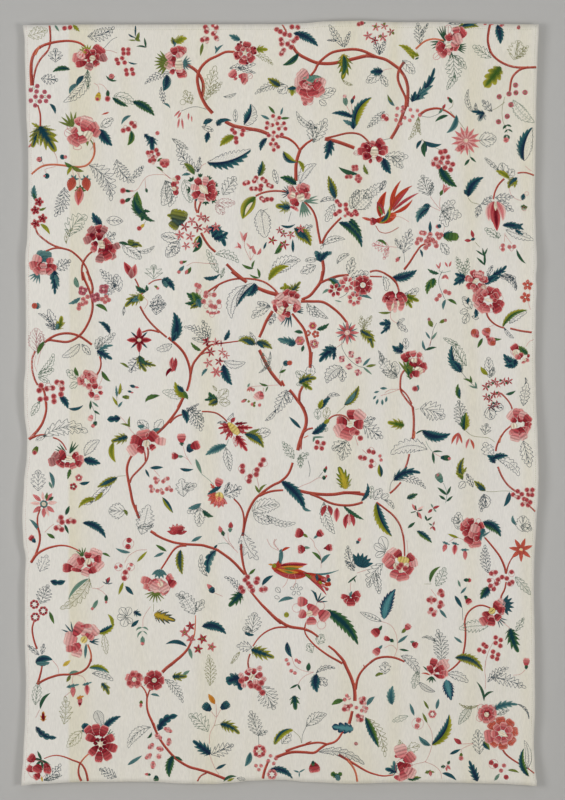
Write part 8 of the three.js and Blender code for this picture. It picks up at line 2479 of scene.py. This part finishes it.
chart.append("""
stem coral 4 6 -65.7 176.3 -66 178 -66.6 180.3 -67.1 181.6; 6 5 -67.1 181.6 -65.3 180.5 -63.4 179.7
 -60.9 179 -58.7 178.9 -56.5 178.7 -54.9 178.2 -53.5 177.2 -52.7 176 -52.3 174.6; 2 6 -65.2 202 -63.3
 201.3 -61.5 201.1 -59.3 201.6 -57.4 202.4 -55.3 203.2 -54.2 204.4 -53.5 206.1 -53.1 208.2; 4 6 -55.3
 203.2 -55.7 204.9 -55.6 206.6 -54.9 208.2
stem apricot 3 4 -51.6 199.9 -53 200.8 -54.2 201.9 -55.1 203.1
stem coral 3 7 -38.8 181.6 -37.6 183 -36.9 184.7 -36.9 187.4 -36.5 189.6 -35.5 191.8 -34.7 193.7; 3 4
 -36 182.7 -36.9 185.4
smooth navy -67.6 175.6 -62.8 174.9 .42 -.15
frill teal -67.4 175.7 -63.6 175.6 .35 .08
plume slate -66.5 173.6 -69.7 170.8 .4 0 -65.8 173.4 -65.2 170.4 .5 0
stem rosy 1 1 -62.9 175 -61.4 176.8 -61.2 178.7
smooth mustard -60 176.6 -57.9 175 .42 0
smooth sage -58.3 178.8 -55.6 178.2 .28 -.12
smooth limeDark -57.9 179.1 -59 181 .45 0
tooth lime/teal -52.8 177.1 -47.2 178.6 .32 -.15
lobed grey -52 178.6 -46.2 180.6 .35 -.1
spiky limeDark -49.4 181.3 -47.4 184.5 .7 -.1
smooth rose -57.2 182 -57.2 185.2 .45 0 -53.4 181.6 -53.3 184.6 .5 0 -55.2 184.8 -55.4 187.8 .45 0
spiky teal -59 182.4 -55.5 181.6 .35 0 -54.6 181.8 -52 181 .35 0
spiky amber -56.2 185.5 -54.2 184.8 .6 0
dots wine .4 -55.3 186.9
stem rosy 1 1 -57.4 181.4 -57.2 179.4 -56 179; 1 1 -53.6 181 -54.4 179.6 -56 179; 1 1 -56.8 182.8 -59.6
 185
spiky strawHatch -59.7 192.6 -59.4 184.9 .5 .05
lobed mint -67.6 187.3 -66.8 181 .45 0
smooth pine -66.2 188.4 -63.4 184 .2 -.15
spiky amber -65.4 191.8 -65.4 189 .8 0
smooth wine -65.3 191.6 -65.5 189.2 .35 0
stem rosy 1 1 -66.4 188.6 -67.5 190.8
lobed navy -67.4 193.2 -61.6 196.2 .3 .25
tooth straw -54.6 194.2 -58.9 198.9 .5 0
smooth cream -50.5 196.4 -49.5 199.5 .8 0
lobed navy -53.3 195 -54.2 192 .8 0
round greyHatch -49.2 193 -50.8 188.9 .65 0
tooth navy -48.9 194 -44 190.4 .34 -.1
fan mint -48 196 2.4 0 60 4 .08
ring rose -40.4 180.3 .5 2.3 5 .3 .9
dots crimson .6 -40.8 178.9 -39.2 179.2 -39.4 181.2 -41.7 181.2
dots cream .5 -40.4 180.3
fan pine -34.9 180.5 3.4 120 250 4 .14
ring crimson -34.9 180.5 .6 2.6 6 0 .9
dots cream .6 -34.9 180.5
round olive -38.4 186 -38.6 187.3 .9 0
round rose -38.5 186.7 -38.6 188 .7 0
smooth teal -35.8 184.4 -33.4 185 .3 -.1
tooth grey -35.8 193.4 -42 199.2 .35 .25
smooth pine -35.6 194.8 -36.9 196.4 .35 -.25
smooth teal -42.2 203.8 -38.2 201.2 .22 0
smooth rose -36.2 206.4 -37.6 206.3 .6 0
round pine -35.8 206.5 -36.6 206.4 .9 0
plume slateSeed -45.2 207.2 -50 204.8 .6 0
dots rosyLine 2.6 -67 205
round crimson -67.6 202.6 -69.2 201.4 1 0 -67.8 205.4 -69.6 204.4 .7 0 -66.2 203.6 -67.4 205.6 .9 0
 -65 203.2 -64.5 205.9 .6 -.15 -66.2 206.2 -67.7 207.3 .8 0
fan pine -65.8 202.4 2.8 115 330 5 .26
smooth mustard -65.6 208.3 -65.9 206.8 .4 0
plume slate -65.2 207.8 -60.6 203.4 .5 .1
plume grey -65.2 208 -60.2 206.6 .3 0
stem coral 8 8 -29.9 175.9 -31.4 177 -32.7 178.3; 6 7 -35.1 192.3 -34.4 194.5 -32.9 197.3 -31.2 199.6
 -29.3 201.7 -27.4 203.1 -25.2 204.3 -23 204.9 -20.2 205.7 -17.8 206.6 -15.1 207.7; 4 4 -20.5 206 -21.9
 206.6 -22.7 207.6 -23 208.3; 4 4 -9.1 175.9 -8.9 177.4; 6 7 -3.5 202.8 -4.3 204.7 -4.8 206.4 -5 207.6
plume grey -32 180.2 -27 186.7 .35 -.1
spiky limeDark -29.9 179.5 -25.8 179.4 .75 0
smooth sage -27 179 -25.1 177.8 .4 0
plume straw -19.6 182 -20 173.4 .4 .05
dots pink .75 -11 179.1 -8.6 177.7 -5.9 177.2 -10.3 181.9 -4.7 180.2 -7 181
ring crimson -8 179.7 .8 2.4 6 .2 .75
dots crimson .65 -10.9 180.6 -5.8 179 -8.2 182 -6.9 182.2 -6.1 182.7 -5.1 183.9 -5.4 181.2
dots cream .8 -8 179.6
lobed navy -11.3 179.6 -15.4 181 .85 0 -12 180.6 -10.8 183.4 .6 0
plume grey -5.2 182 -1.8 188.6 .8 0
smooth amber -18.2 187 -20 184.2 .45 0
round navy -19.2 188.8 -21.2 187.2 .7 0
smooth rose -19.8 188.2 -21.2 187.2 .4 0
round navy -16.6 188.4 -14.5 186.8 .65 0
smooth pink -15.6 187.6 -14.5 186.8 .5 0
stem rosy 1 1 -17.9 187 -17.8 190.4 -18.4 192.9 -19.5 195 -19.7 198; 1 1 -19.2 189 -18 190.6; 1 1 -16.6
 188.6 -17.7 190.6
stem straw 1 1 -18.4 192.9 -16.8 192.6
spiky limeDark -16.7 192.5 -11.4 195.3 .6 -.1
lobed mint -20.1 194.6 -25.4 190 .6 .1
plume greySeed -6.2 195.8 -8.4 188.8 .55 0
plume grey -6.2 195.6 -3.7 194.4 .6 0
stem grey 1 1 -6.2 195.8 -6.1 198.4
spiky navy -19.4 200.8 -24.3 197 .6 0
spiky slate -19.2 200.9 -13 198.2 .6 0
stem rosy 1 1 -19.7 201 -18.1 204.8 -17 206.4
smooth navy -17.9 204.9 -15.1 203.5 .28 0
lobed navy -33.8 194.4 -28.3 190.2 .36 -.3
dots pink .8 -31.1 194.1 -33.9 195.9 -30.8 197.4 -35.8 198.7 -33.2 199.4 -36.4 201.4 -33.6 201.4 -35.2
 203.8
dots rose .5 -31.8 193.8 -30.4 194.5 -34.2 195.6 -33.2 196.3 -30.8 196.8 -31 198 -35.4 198.2 -36.2 199
 -33.8 199.2 -32.8 199.5 -37 201.8 -36 201 -33.6 201.6 -35.2 203.2 -35.3 204.4
tooth pine -29.6 201.2 -30.7 207.2 .42 .1
smooth pine -29.2 201.4 -27 202.6 .3 0
round pine -34.4 206.6 -34.3 208.1 .8 0
smooth pine -15.8 208.3 -12.2 207 .22 -.25
tooth lime -14.8 208.2 -12.8 207.4 .4 0
lobed grey -12.2 207.4 -9.8 207.8 .5 0
smooth teal -8.5 200.3 -10 204.2 .4 -.1
ring rose -5.9 200 .9 1.9 8 0 .6
dots crimson .45 -6.9 199.2 -5 199.3 -6.9 200.8 -5 200.8
dots cream .6 -5.9 200
dots rose .55 -2.9 201.3 -3.5 202.7 -2 203.4 -1.4 202 -6.9 204 -5.5 204 -6.1 205.1
ring rose -2.5 206.4 .5 1.5 6 0 .7
tooth navy -3.1 205.1 3.2 207.6 .33 -.2
frill lime -1.8 198.2 3.4 194.2 .3 -.4
smooth navy -1.6 197.6 2.8 193.8 .12 -.3
lobed grey .2 198 2.6 195 .8 0
stem coral 8 9 17.2 175.2 18.2 177.4 19.2 179.6 20 182 20.3 184 20.3 186.2; 5 7 24.3 175.8 22.8 177.2
 21.6 178.8 20.9 180.6 20.5 183; 3 2 23 177 22.7 176.2; 7 8 19.6 188.9 19.2 190.7 18.7 192.5; 5 8 17
 194.5 15.8 196.5 14.4 197.6 12.5 198.1 10.8 199.2 9.2 200.4 6.7 200.3 4 200.2 1.8 200.5 -1.5 201.7; 5 6
 12.5 198 10.6 197.6 8.4 197.8 5.9 198.4 3.4 199.2 1.2 200; 3 2 6.8 197.9 8.4 197.2; 7 3 15.8 200.9
 17.7 202 20.2 203.5 23.2 205.3 25.4 206.2 28.2 206.8 30.9 206.5
stem apricot 5 5 18.3 202.5 19.5 203.9 20.5 205.8 21 208.4
dots rose .55 1.5 174.9 2 176 4.2 175 5 175.5 2.8 177.9 3.8 178.5
stem rosy 1 1 2.9 174 4 176.7 6.6 178 9 178.3; 1 1 9 178.2 6.4 179.4 5 181 4.6 182
smooth pine 7.4 178 7.7 175.6 .55 0 4.6 181.6 2.4 182.8 .25 0 4.6 181.6 5.4 183.3 .3 0
spiky pine 3.6 184.7 4 188.7 .8 0
tooth navy 9.8 178.7 10 183.8 .62 .1
plume slate 9.6 178.6 14.9 177.2 .3 -.4
lobed slate 10.6 179.6 12.6 182 .8 0
dots crimson .55 17.4 188.4 18.4 187.8 22.7 185.6 22.2 186.5 21.2 190.3 22 191.3
dots rose .55 18.1 184.7 17.5 185.8 19.2 187.4 20.7 188 23.5 188.2 22.2 188.8
dots pink .5 18.7 185.4 17.6 187.6 18.4 188.6 21.9 185.6 23 186.8 22.8 187.8 23.2 189 21.2 191.4 22.3
 190.4
smooth leaf 17.2 186 13.9 187.3 .4 .1
smooth teal 23.7 187.4 25.8 185 .4 -.1
lobed tealNavy 19.9 193.9 13.8 193.2 .5 0
tooth grey 6.9 193.2 12.6 189.8 .5 -.1
stem grey 1 1 6.9 193.2 5.9 195.6 5.7 197.8
stem straw 1 1 3.4 194.4 5.2 196.2 5.6 197.8
lobed slateHatch 10.4 200.2 22.9 203.6 .2 -.12
dots dusty .55 20.6 197.9
tooth leaf/navy 23.2 190.6 26.9 199 .26 0
plume straw 24 191 28.6 201.6 .28 -.1
tooth teal 30.6 187.2 30.8 182 .5 -.1
lobed mintSeed 35 190.3 30.6 191.8 .4 0
smooth teal 36.6 190.2 35.4 186.8 .26 0
lobed grey 28.6 178.8 28.6 175.4 1 0
frill olive 26 179.4 28.2 178.8 .4 -.2
lobed slateHatch 33 173.8 37.8 179 .4 -.15
lobed mintHatch 37.6 178 36.4 182.8 .5 0
smooth slateHatch 38 181 42.4 183.6 .3 .1
plume straw 32.6 196.8 36.2 203 .4 .1
tooth straw 34.6 199.4 38.2 198.4 .8 0
dots rosyLine 2.4 33.8 204.4
round rose 31.2 201.6 33.8 201.2 .45 -.1
round crimson 32.2 203 34.4 205.6 .6 0
round rose 31 207 33.4 207.6 .5 0
spiky navy 31.9 205.6 28.6 204.8 .9 0
spiky teal 31.4 205.4 31 202.6 .8 0
tooth olive/pine 34.8 207.7 38.6 207.2 .4 0
smooth teal 5 205.8 3.4 205.3 .3 0 5 205.8 6.6 204.9 .25 0 5 205.8 5 207.2 .3 0
round crimson 8.9 203 9.3 205.6 .9 0
round pine 8.8 202.6 8.8 204 .8 0
lobed leaf 15.4 207 13.6 205.8 .8 0 15.4 207 16.8 205.8 .8 0
lobed teal 15.2 206.4 16 208.2 .8 0
stem coral 5 4 49.9 174 49 175.4 47.4 177 45.7 178.2; 5 4 60.8 199.2 61.7 200.7 63.4 202.1 65.6 203.5;
 3 3 67.8 204.6 69.6 206
round pink 42.6 177.4 45.6 175.8 .7 0
smooth pink 44.4 176 46.3 174.6 .35 0
round crimson 41.4 177.2 42.2 174.7 .6 0 41.6 178.6 40.7 176.6 .6 0 42.2 178 44.7 176.8 .5 0
round rose 43.4 178.6 45.7 178.6 .6 0
round crimson 42 178.9 45.2 179.4 .4 .1
smooth pink 41.2 178.9 43 177.4 .55 0
smooth coral 41 179.1 38.6 178.6 .2 .1
smooth pine 41 178.3 39 176.6 .2 0
fan pine 41.4 179.4 1.9 220 310 4 .25
tooth limeDark 47.8 174.3 55.5 178 .36 -.2
lobed greySeed 45.8 178.8 51.4 181 .45 -.1
tooth tealNavy 45.4 180.3 46.8 186 .58 0
plume slate 56.8 181 62.6 177 .35 -.1 57.6 179.6 67.4 182.6 .35 -.05
round rose 67.4 176.6 67.5 174.6 .7 0
round pine 67.4 177.5 67.5 176.3 .9 0
stem rosy 1 1 67.2 177.6 65.8 178.8 63.8 179.1
smooth pine 55.8 186.3 53.7 180.8 .13 .1 55.8 185.4 58.5 183.6 .22 -.2
stem rosy 1 1 56.1 183 56.3 180 56 178 56.3 175
tooth mintHatch 52.4 187.4 48.8 192.6 .42 0
plume straw 54.2 187.3 48.9 186.8 .2 -.2
ring crimson 56.5 189.9 1.1 2.4 6 .4 .55
dots cream .7 56.5 189.9
dots rosyLine 1 55 188 58 188.2 54.6 190.8
spiky teal 58.6 188.4 65.1 187.2 .42 -.1
plume slate 65 187 68.2 191.2 .16 -.3
plume grey 59.4 190 62.8 188.6 .4 0
ring coral 60.7 195 1.6 4.3 8 .1 .75
round rose 59 195.6 56.2 196 1 0
ring rose 60.8 195.1 .9 2.9 7 .5 .7
smooth cream 59.6 194.6 62.4 196 .42 0
tooth navy/leaf 68.2 206.9 66.8 199.2 .25 -.2
smooth slateSeed 67.6 204.8 66.9 197 .22 .1
lobed grey 54.6 200.8 54 194 .55 0
smooth olive/navy 55.6 197.4 57.4 199.6 .55 0
smooth crimson 49.6 198 47.5 196.4 .5 0
smooth navy 46.4 200.8 49.4 199.4 .28 0
dots rose .65 49.5 201.9
round olive 49.5 200.4 49.5 201.6 .9 0
stem rosy 1 1 49.8 198 52.9 197.8 51.8 198.3 49.6 199.4 49.6 200.4
ring rose 41.6 189.8 .4 1.2 6 0 .7
dots rosyLine 1.6 37.6 192.4
dots rose .75 37.8 191.5 37.4 193.1
smooth olive 40.6 188.4 39.2 186 .26 0
smooth teal 42.7 188.4 43.4 185.5 .32 0
smooth olive 40.2 192.2 38.9 189.4 .24 0
tooth navy/lime 41.4 198.3 46.2 189.8 .33 .15
smooth teal 41.1 198.4 37.9 195.8 .36 -.1
stem rosy 1 1 40.2 192.2 41.4 194.6 41.6 197.4 41.2 199.6 40.4 201.6 39.6 202.9 37.4 203.4 35.2 204.2; 1
 1 39.6 202.9 42.2 204 43.8 205.6 44.2 207.6
smooth pine 44 204.3 45.2 204.1 .9 0 45.8 203.6 46.4 202.6 .8 0
smooth rose 45.6 203.8 46.6 205 .5 0 45.4 204.2 45.6 205.6 .4 0
spiky olive 39.6 206 42.2 205.8 .5 -.1
smooth rose 41 205.4 41.2 206.9 .6 0
smooth navy 44.3 206 48.2 208 .25 -.1
spiky navy 54 208.2 51.7 202.5 .45 0
dots rosyLine 1.3 58.4 203.5
dots crimson .7 57.8 203.1 59 203.9 61.9 207.1
dots rose .6 61.3 203.9 60.5 205.3
smooth olive 62.4 205.2 65.4 205.9 .25 -.1
smooth sage 58.7 208 60.1 206.1 .4 0
ring rose 56.7 189.7 .5 2.4 7 .1 .8
ring crimson 56.7 189.7 .4 1.4 5 .4 .8
dots cream .4 56.7 189.7
round pink 33.6 202 32.6 198.6 .75 0
round rose 33.8 203 36.4 201 .7 0
round crimson 33.6 203.6 35.4 204.6 .8 0
round pink 33.8 205 36.6 206.4 .7 0
round rose 33 205.4 34 207.6 .7 0
round crimson -51.2 196 -53.4 193.6 .58 0 -50.4 195.8 -51 192.8 .58 0 -49.5 196.1 -48.3 193.3 .58 0
 -50.8 197.1 -53.4 195.9 .58 0 -48.9 197.3 -46.2 196.1 .58 0 -48.4 198.3 -45.4 199.4 .58 0
 -49 199.3 -47.3 202.1 .58 0 -49.9 199.9 -50.2 202.8 .58 0 -50.6 198.6 -52.4 200.8 .58 0
ring wine -49.7 198 .7 1.9 7 .3 .6
""")
birdChart = """
round ember 25.4 54 31.6 52 .36 .12
smooth lime 27 54.8 29.9 49.8 .22 .2
smooth navy 27.4 54.4 29.4 51 .2 .2
smooth ember 27.3 53.2 29 46 .28 -.1
smooth crimson 26.4 49 28.6 52.4 .35 0
smooth olive 26.8 50 28 52.6 .25 0
smooth ember 30 51.4 36.2 44.4 .14 -.1 30.4 51.4 33 43 .14 -.1
smooth crimson 30.6 51.6 38 46.4 .1 -.05 30.6 51.2 35.2 45.4 .12 -.05
smooth ember 30.8 52 36.2 48.2 .16 .1
round crimson 26.4 54 24.6 54.4 .9 0
smooth coral 24.8 54 22.2 53.2 .3 0
stem ember 2 2 26 55.4 27.2 57.2 29.6 57.4 32.4 55.9
stem rosy 1 1 30 53.2 32.6 53 35.2 54.4
smooth ember 7.6 151.2 -2.8 149.4 .3 -.07
dots ember 1.05 -1.5 149.3
smooth crimson 6.4 151.6 -2.2 150.3 .14 -.09
dots lime .6 -1.9 149
smooth amber -2.3 148.7 -3.5 148.6 .5 0
smooth coral 1 150 -1.4 148.6 .4 .1
smooth amber 4.8 150.8 -1.2 149.7 .17 -.06
smooth olive 3.4 150.9 .6 150.2 .2 -.05
smooth crimson -.4 148.9 7.4 148.5 .22 .02
smooth amber .2 149.3 6.2 149.2 .17 .03
smooth olive .8 149.6 5 149.7 .16 .03
smooth ember -.9 149.6 -.1 147 .5 0
smooth navy -.2 145.6 -.3 148.6 .3 0
smooth teal .1 144.4 -.1 148.4 .3 0
dots teal .5 0 145
smooth ember .2 145 2.5 144 .3 -.1
stem rosy 1 1 -.8 144.8 -2.8 143.7 -3.9 141.6; 1 1 -.6 144.5 -2.1 143 -1.7 141.6; 1 1 -.7 144.7 -1.9
 142.6 -1.1 141.6
smooth teal 6 150.8 16.2 150 .06 .09
smooth crimson 6 150.9 12.6 157.2 .12 -.06
smooth ember 6.4 151 12.8 155.6 .14 -.04
smooth wine 6.6 151 13.2 154.2 .13 -.03
smooth ember 6.8 150.9 13.6 152.8 .13 0
smooth olive 6.6 151.3 9.2 152.6 .35 0
smooth coral 8 151.5 10 153.6 .45 0
smooth navy 9.8 151.3 9.9 153.2 .5 0
dots crimson .5 11.5 152.6 12.9 151.9 12.6 155.4
dots rose .5 12.2 152.8 11.6 154.4
dots navy .55 13.1 152.9
dots lime .45 10.8 153.6
dots ember .6 12.6 154.1 13.2 154
stem rosy 1 1 2.2 151.3 1.4 153.8 .4 155; 1 1 3.7 151.2 4.1 153.2 3.2 155
"""

for part in chart:
    for kind, name, *words in sorted(chartRows(part), key=turnOf):
        sewRow(kind, name, words, None)
for kind, name, *words in chartRows(birdChart):
    sewRow(kind, name, words, "birds")
print("curtain: sewn", {name: sum(len(part[0]) for part in parts) for name, parts in sewn.items()})

hemSewing = {
    "every": 6.2,
    "stitch": 3.6,
    "width": 0.8,
    "inset": 1.5,     # from the inner edge of the hem
}


# Fine running stitches hold the hems.
def sewHem(x, y, toX, toY, name, light):
    tone = toneOf(name, 0.5) * light
    sew("hemStitches", [batch(np.stack([x, y], 1), np.stack([toX, toY], 1), hemSewing["width"], tone)])


def sewHems():
    every, stitch, inset = hemSewing["every"], hemSewing["stitch"], hemSewing["inset"]
    down = np.arange(6, cloth["length"] - 4, every)
    for table, side, name, light in ((leftEdge, -1, "dusty", 0.95), (rightEdge, 1, "straw", 1.25)):
        x = along(table, down) - side * (cloth["sideHem"] - inset)
        y = down + rng.uniform(-0.3, 0.3, len(down))
        sewHem(x, y, x, y + stitch, name, light)
    x = np.arange(along(leftEdge, np.array([20.0]))[0] + 14, 690, every)
    y = -along(topEdge, x) + cloth["topHem"] - inset
    sewHem(x, y, x + stitch, y, "straw", 1.3)


sewHems()

# One stitch is a low pillow: four corners where the wool goes into the cloth, and its highest point.
stitchFaces = np.array([(0, 1, 4), (1, 2, 4), (2, 3, 4), (3, 0, 4), (0, 3, 2), (0, 2, 1)])


# One piece from many stitches, with the tone of each in the point attribute that the finish reads.
def meshOf(name, spots, tones):
    count, each = spots.shape[:2]
    triangles = (stitchFaces[None] + np.arange(count)[:, None, None] * each).reshape(-1, 3)
    mesh = bpy.data.meshes.new(name)
    mesh.vertices.add(count * each)
    mesh.vertices.foreach_set("co", spots.astype(np.float32).ravel())
    mesh.loops.add(triangles.size)
    mesh.loops.foreach_set("vertex_index", triangles.ravel().astype(np.int32))
    mesh.polygons.add(len(triangles))
    mesh.polygons.foreach_set("loop_start", np.arange(0, triangles.size, 3, dtype=np.int32))
    mesh.update(calc_edges=True)
    mesh.validate()
    mesh.shade_smooth()
    colours = np.ones((count * each, 4), np.float32)
    colours[:, :3] = np.repeat(tones, each, axis=0)
    attribute = mesh.color_attributes.new("wool", "FLOAT_COLOR", "POINT")
    attribute.data.foreach_set("color", colours.ravel())
    return inScene(name, mesh)


# From a place on the cloth and a height above it to a place in the scene.
def placed(x, y, height, front):
    relief = riseAt(x, y)
    half = cloth["thickness"] / 2
    depth = -(half + relief + height) if front else half - relief + height
    return np.stack([x, depth, -y], axis=-1) / perMetre


def stitchSpots(start, end, width, lift, front):
    ahead = end - start
    length = np.maximum(np.hypot(*ahead.T), 0.1)[:, None]
    aside = np.stack([-ahead[:, 1], ahead[:, 0]], axis=1) / length * (width / 2)[:, None]
    if not front:
        aside = -aside
    flat = np.stack([start - aside, end - aside, end + aside, start + aside, (start + end) / 2], axis=1)
    low = lift - wool["sunk"]
    height = np.stack([low, low, low, low, lift + width * wool["plump"]], axis=1)
    return placed(flat[..., 0], flat[..., 1], height, front)


woolLook = {
    "fuzzScale": 1500.0,
    "wornScale": 14.0,
    "hairScale": 2200.0,
    "hairRelief": (0.35, 0.0003),     # strength, depth in metres
    "roughness": 0.85,
    "sheen": (0.03, 0.4),
    "specular": 0.12,
}


def woolFinish():
    finish = Finish("crewelWool")
    place = finish.place()
    dyed = finish.node("ShaderNodeAttribute", {"attribute_name": "wool"}, out="Color")
    fuzz = finish.mottle(place, woolLook["fuzzScale"], 2.0, 0.84, 1.1)
    worn = finish.mottle(place, woolLook["wornScale"], 3.0, 0.93, 1.05)
    relief = finish.bump(finish.noise(place, woolLook["hairScale"], 2.0), *woolLook["hairRelief"])
    return finish.surface({"Base Color": finish.times(finish.times(dyed, fuzz), worn),
                           "Roughness": woolLook["roughness"], "Normal": relief,
                           "Sheen Weight": woolLook["sheen"][0], "Sheen Roughness": woolLook["sheen"][1],
                           "Specular IOR Level": woolLook["specular"]})


woolMaterial = woolFinish()


# Families with too many stitches for one piece are cut into bands down the panel.
def makeWool():
    pieces = []
    backs = []
    for family, parts in sewn.items():
        start, end, width, lift, tone = (np.concatenate(column) for column in zip(*parts))
        order = np.argsort(start[:, 1], kind="stable")
        bands = max(1, math.ceil(len(order) / wool["mostStitches"]))
        for number, chosen in enumerate(np.array_split(order, bands)):
            name = family if bands == 1 else f"{family}{number + 1}"
            spots = stitchSpots(start[chosen], end[chosen], width[chosen], lift[chosen], True)
            pieces.append(meshOf(name, spots, tone[chosen]))
        if family != "hemStitches":
            chosen = np.arange(0, len(start), wool["reverseEvery"])
            backs.append((start[chosen], end[chosen], width[chosen], tone[chosen]))
    start, end, width, tone = (np.concatenate(column) for column in zip(*backs))
    spots = stitchSpots(start, end, width, np.zeros(len(start)), False)
    pieces.append(meshOf("reverseStitches", spots, tone))
    for piece in pieces:
        piece.data.materials.append(woolMaterial)
        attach(piece, "root")
        print("curtain:", piece.name, len(piece.data.polygons), "triangles")
    return pieces


woolPieces = makeWool()
print("curtain: all pieces made,", sum(len(piece.data.polygons) for piece in woolPieces), "wool triangles")
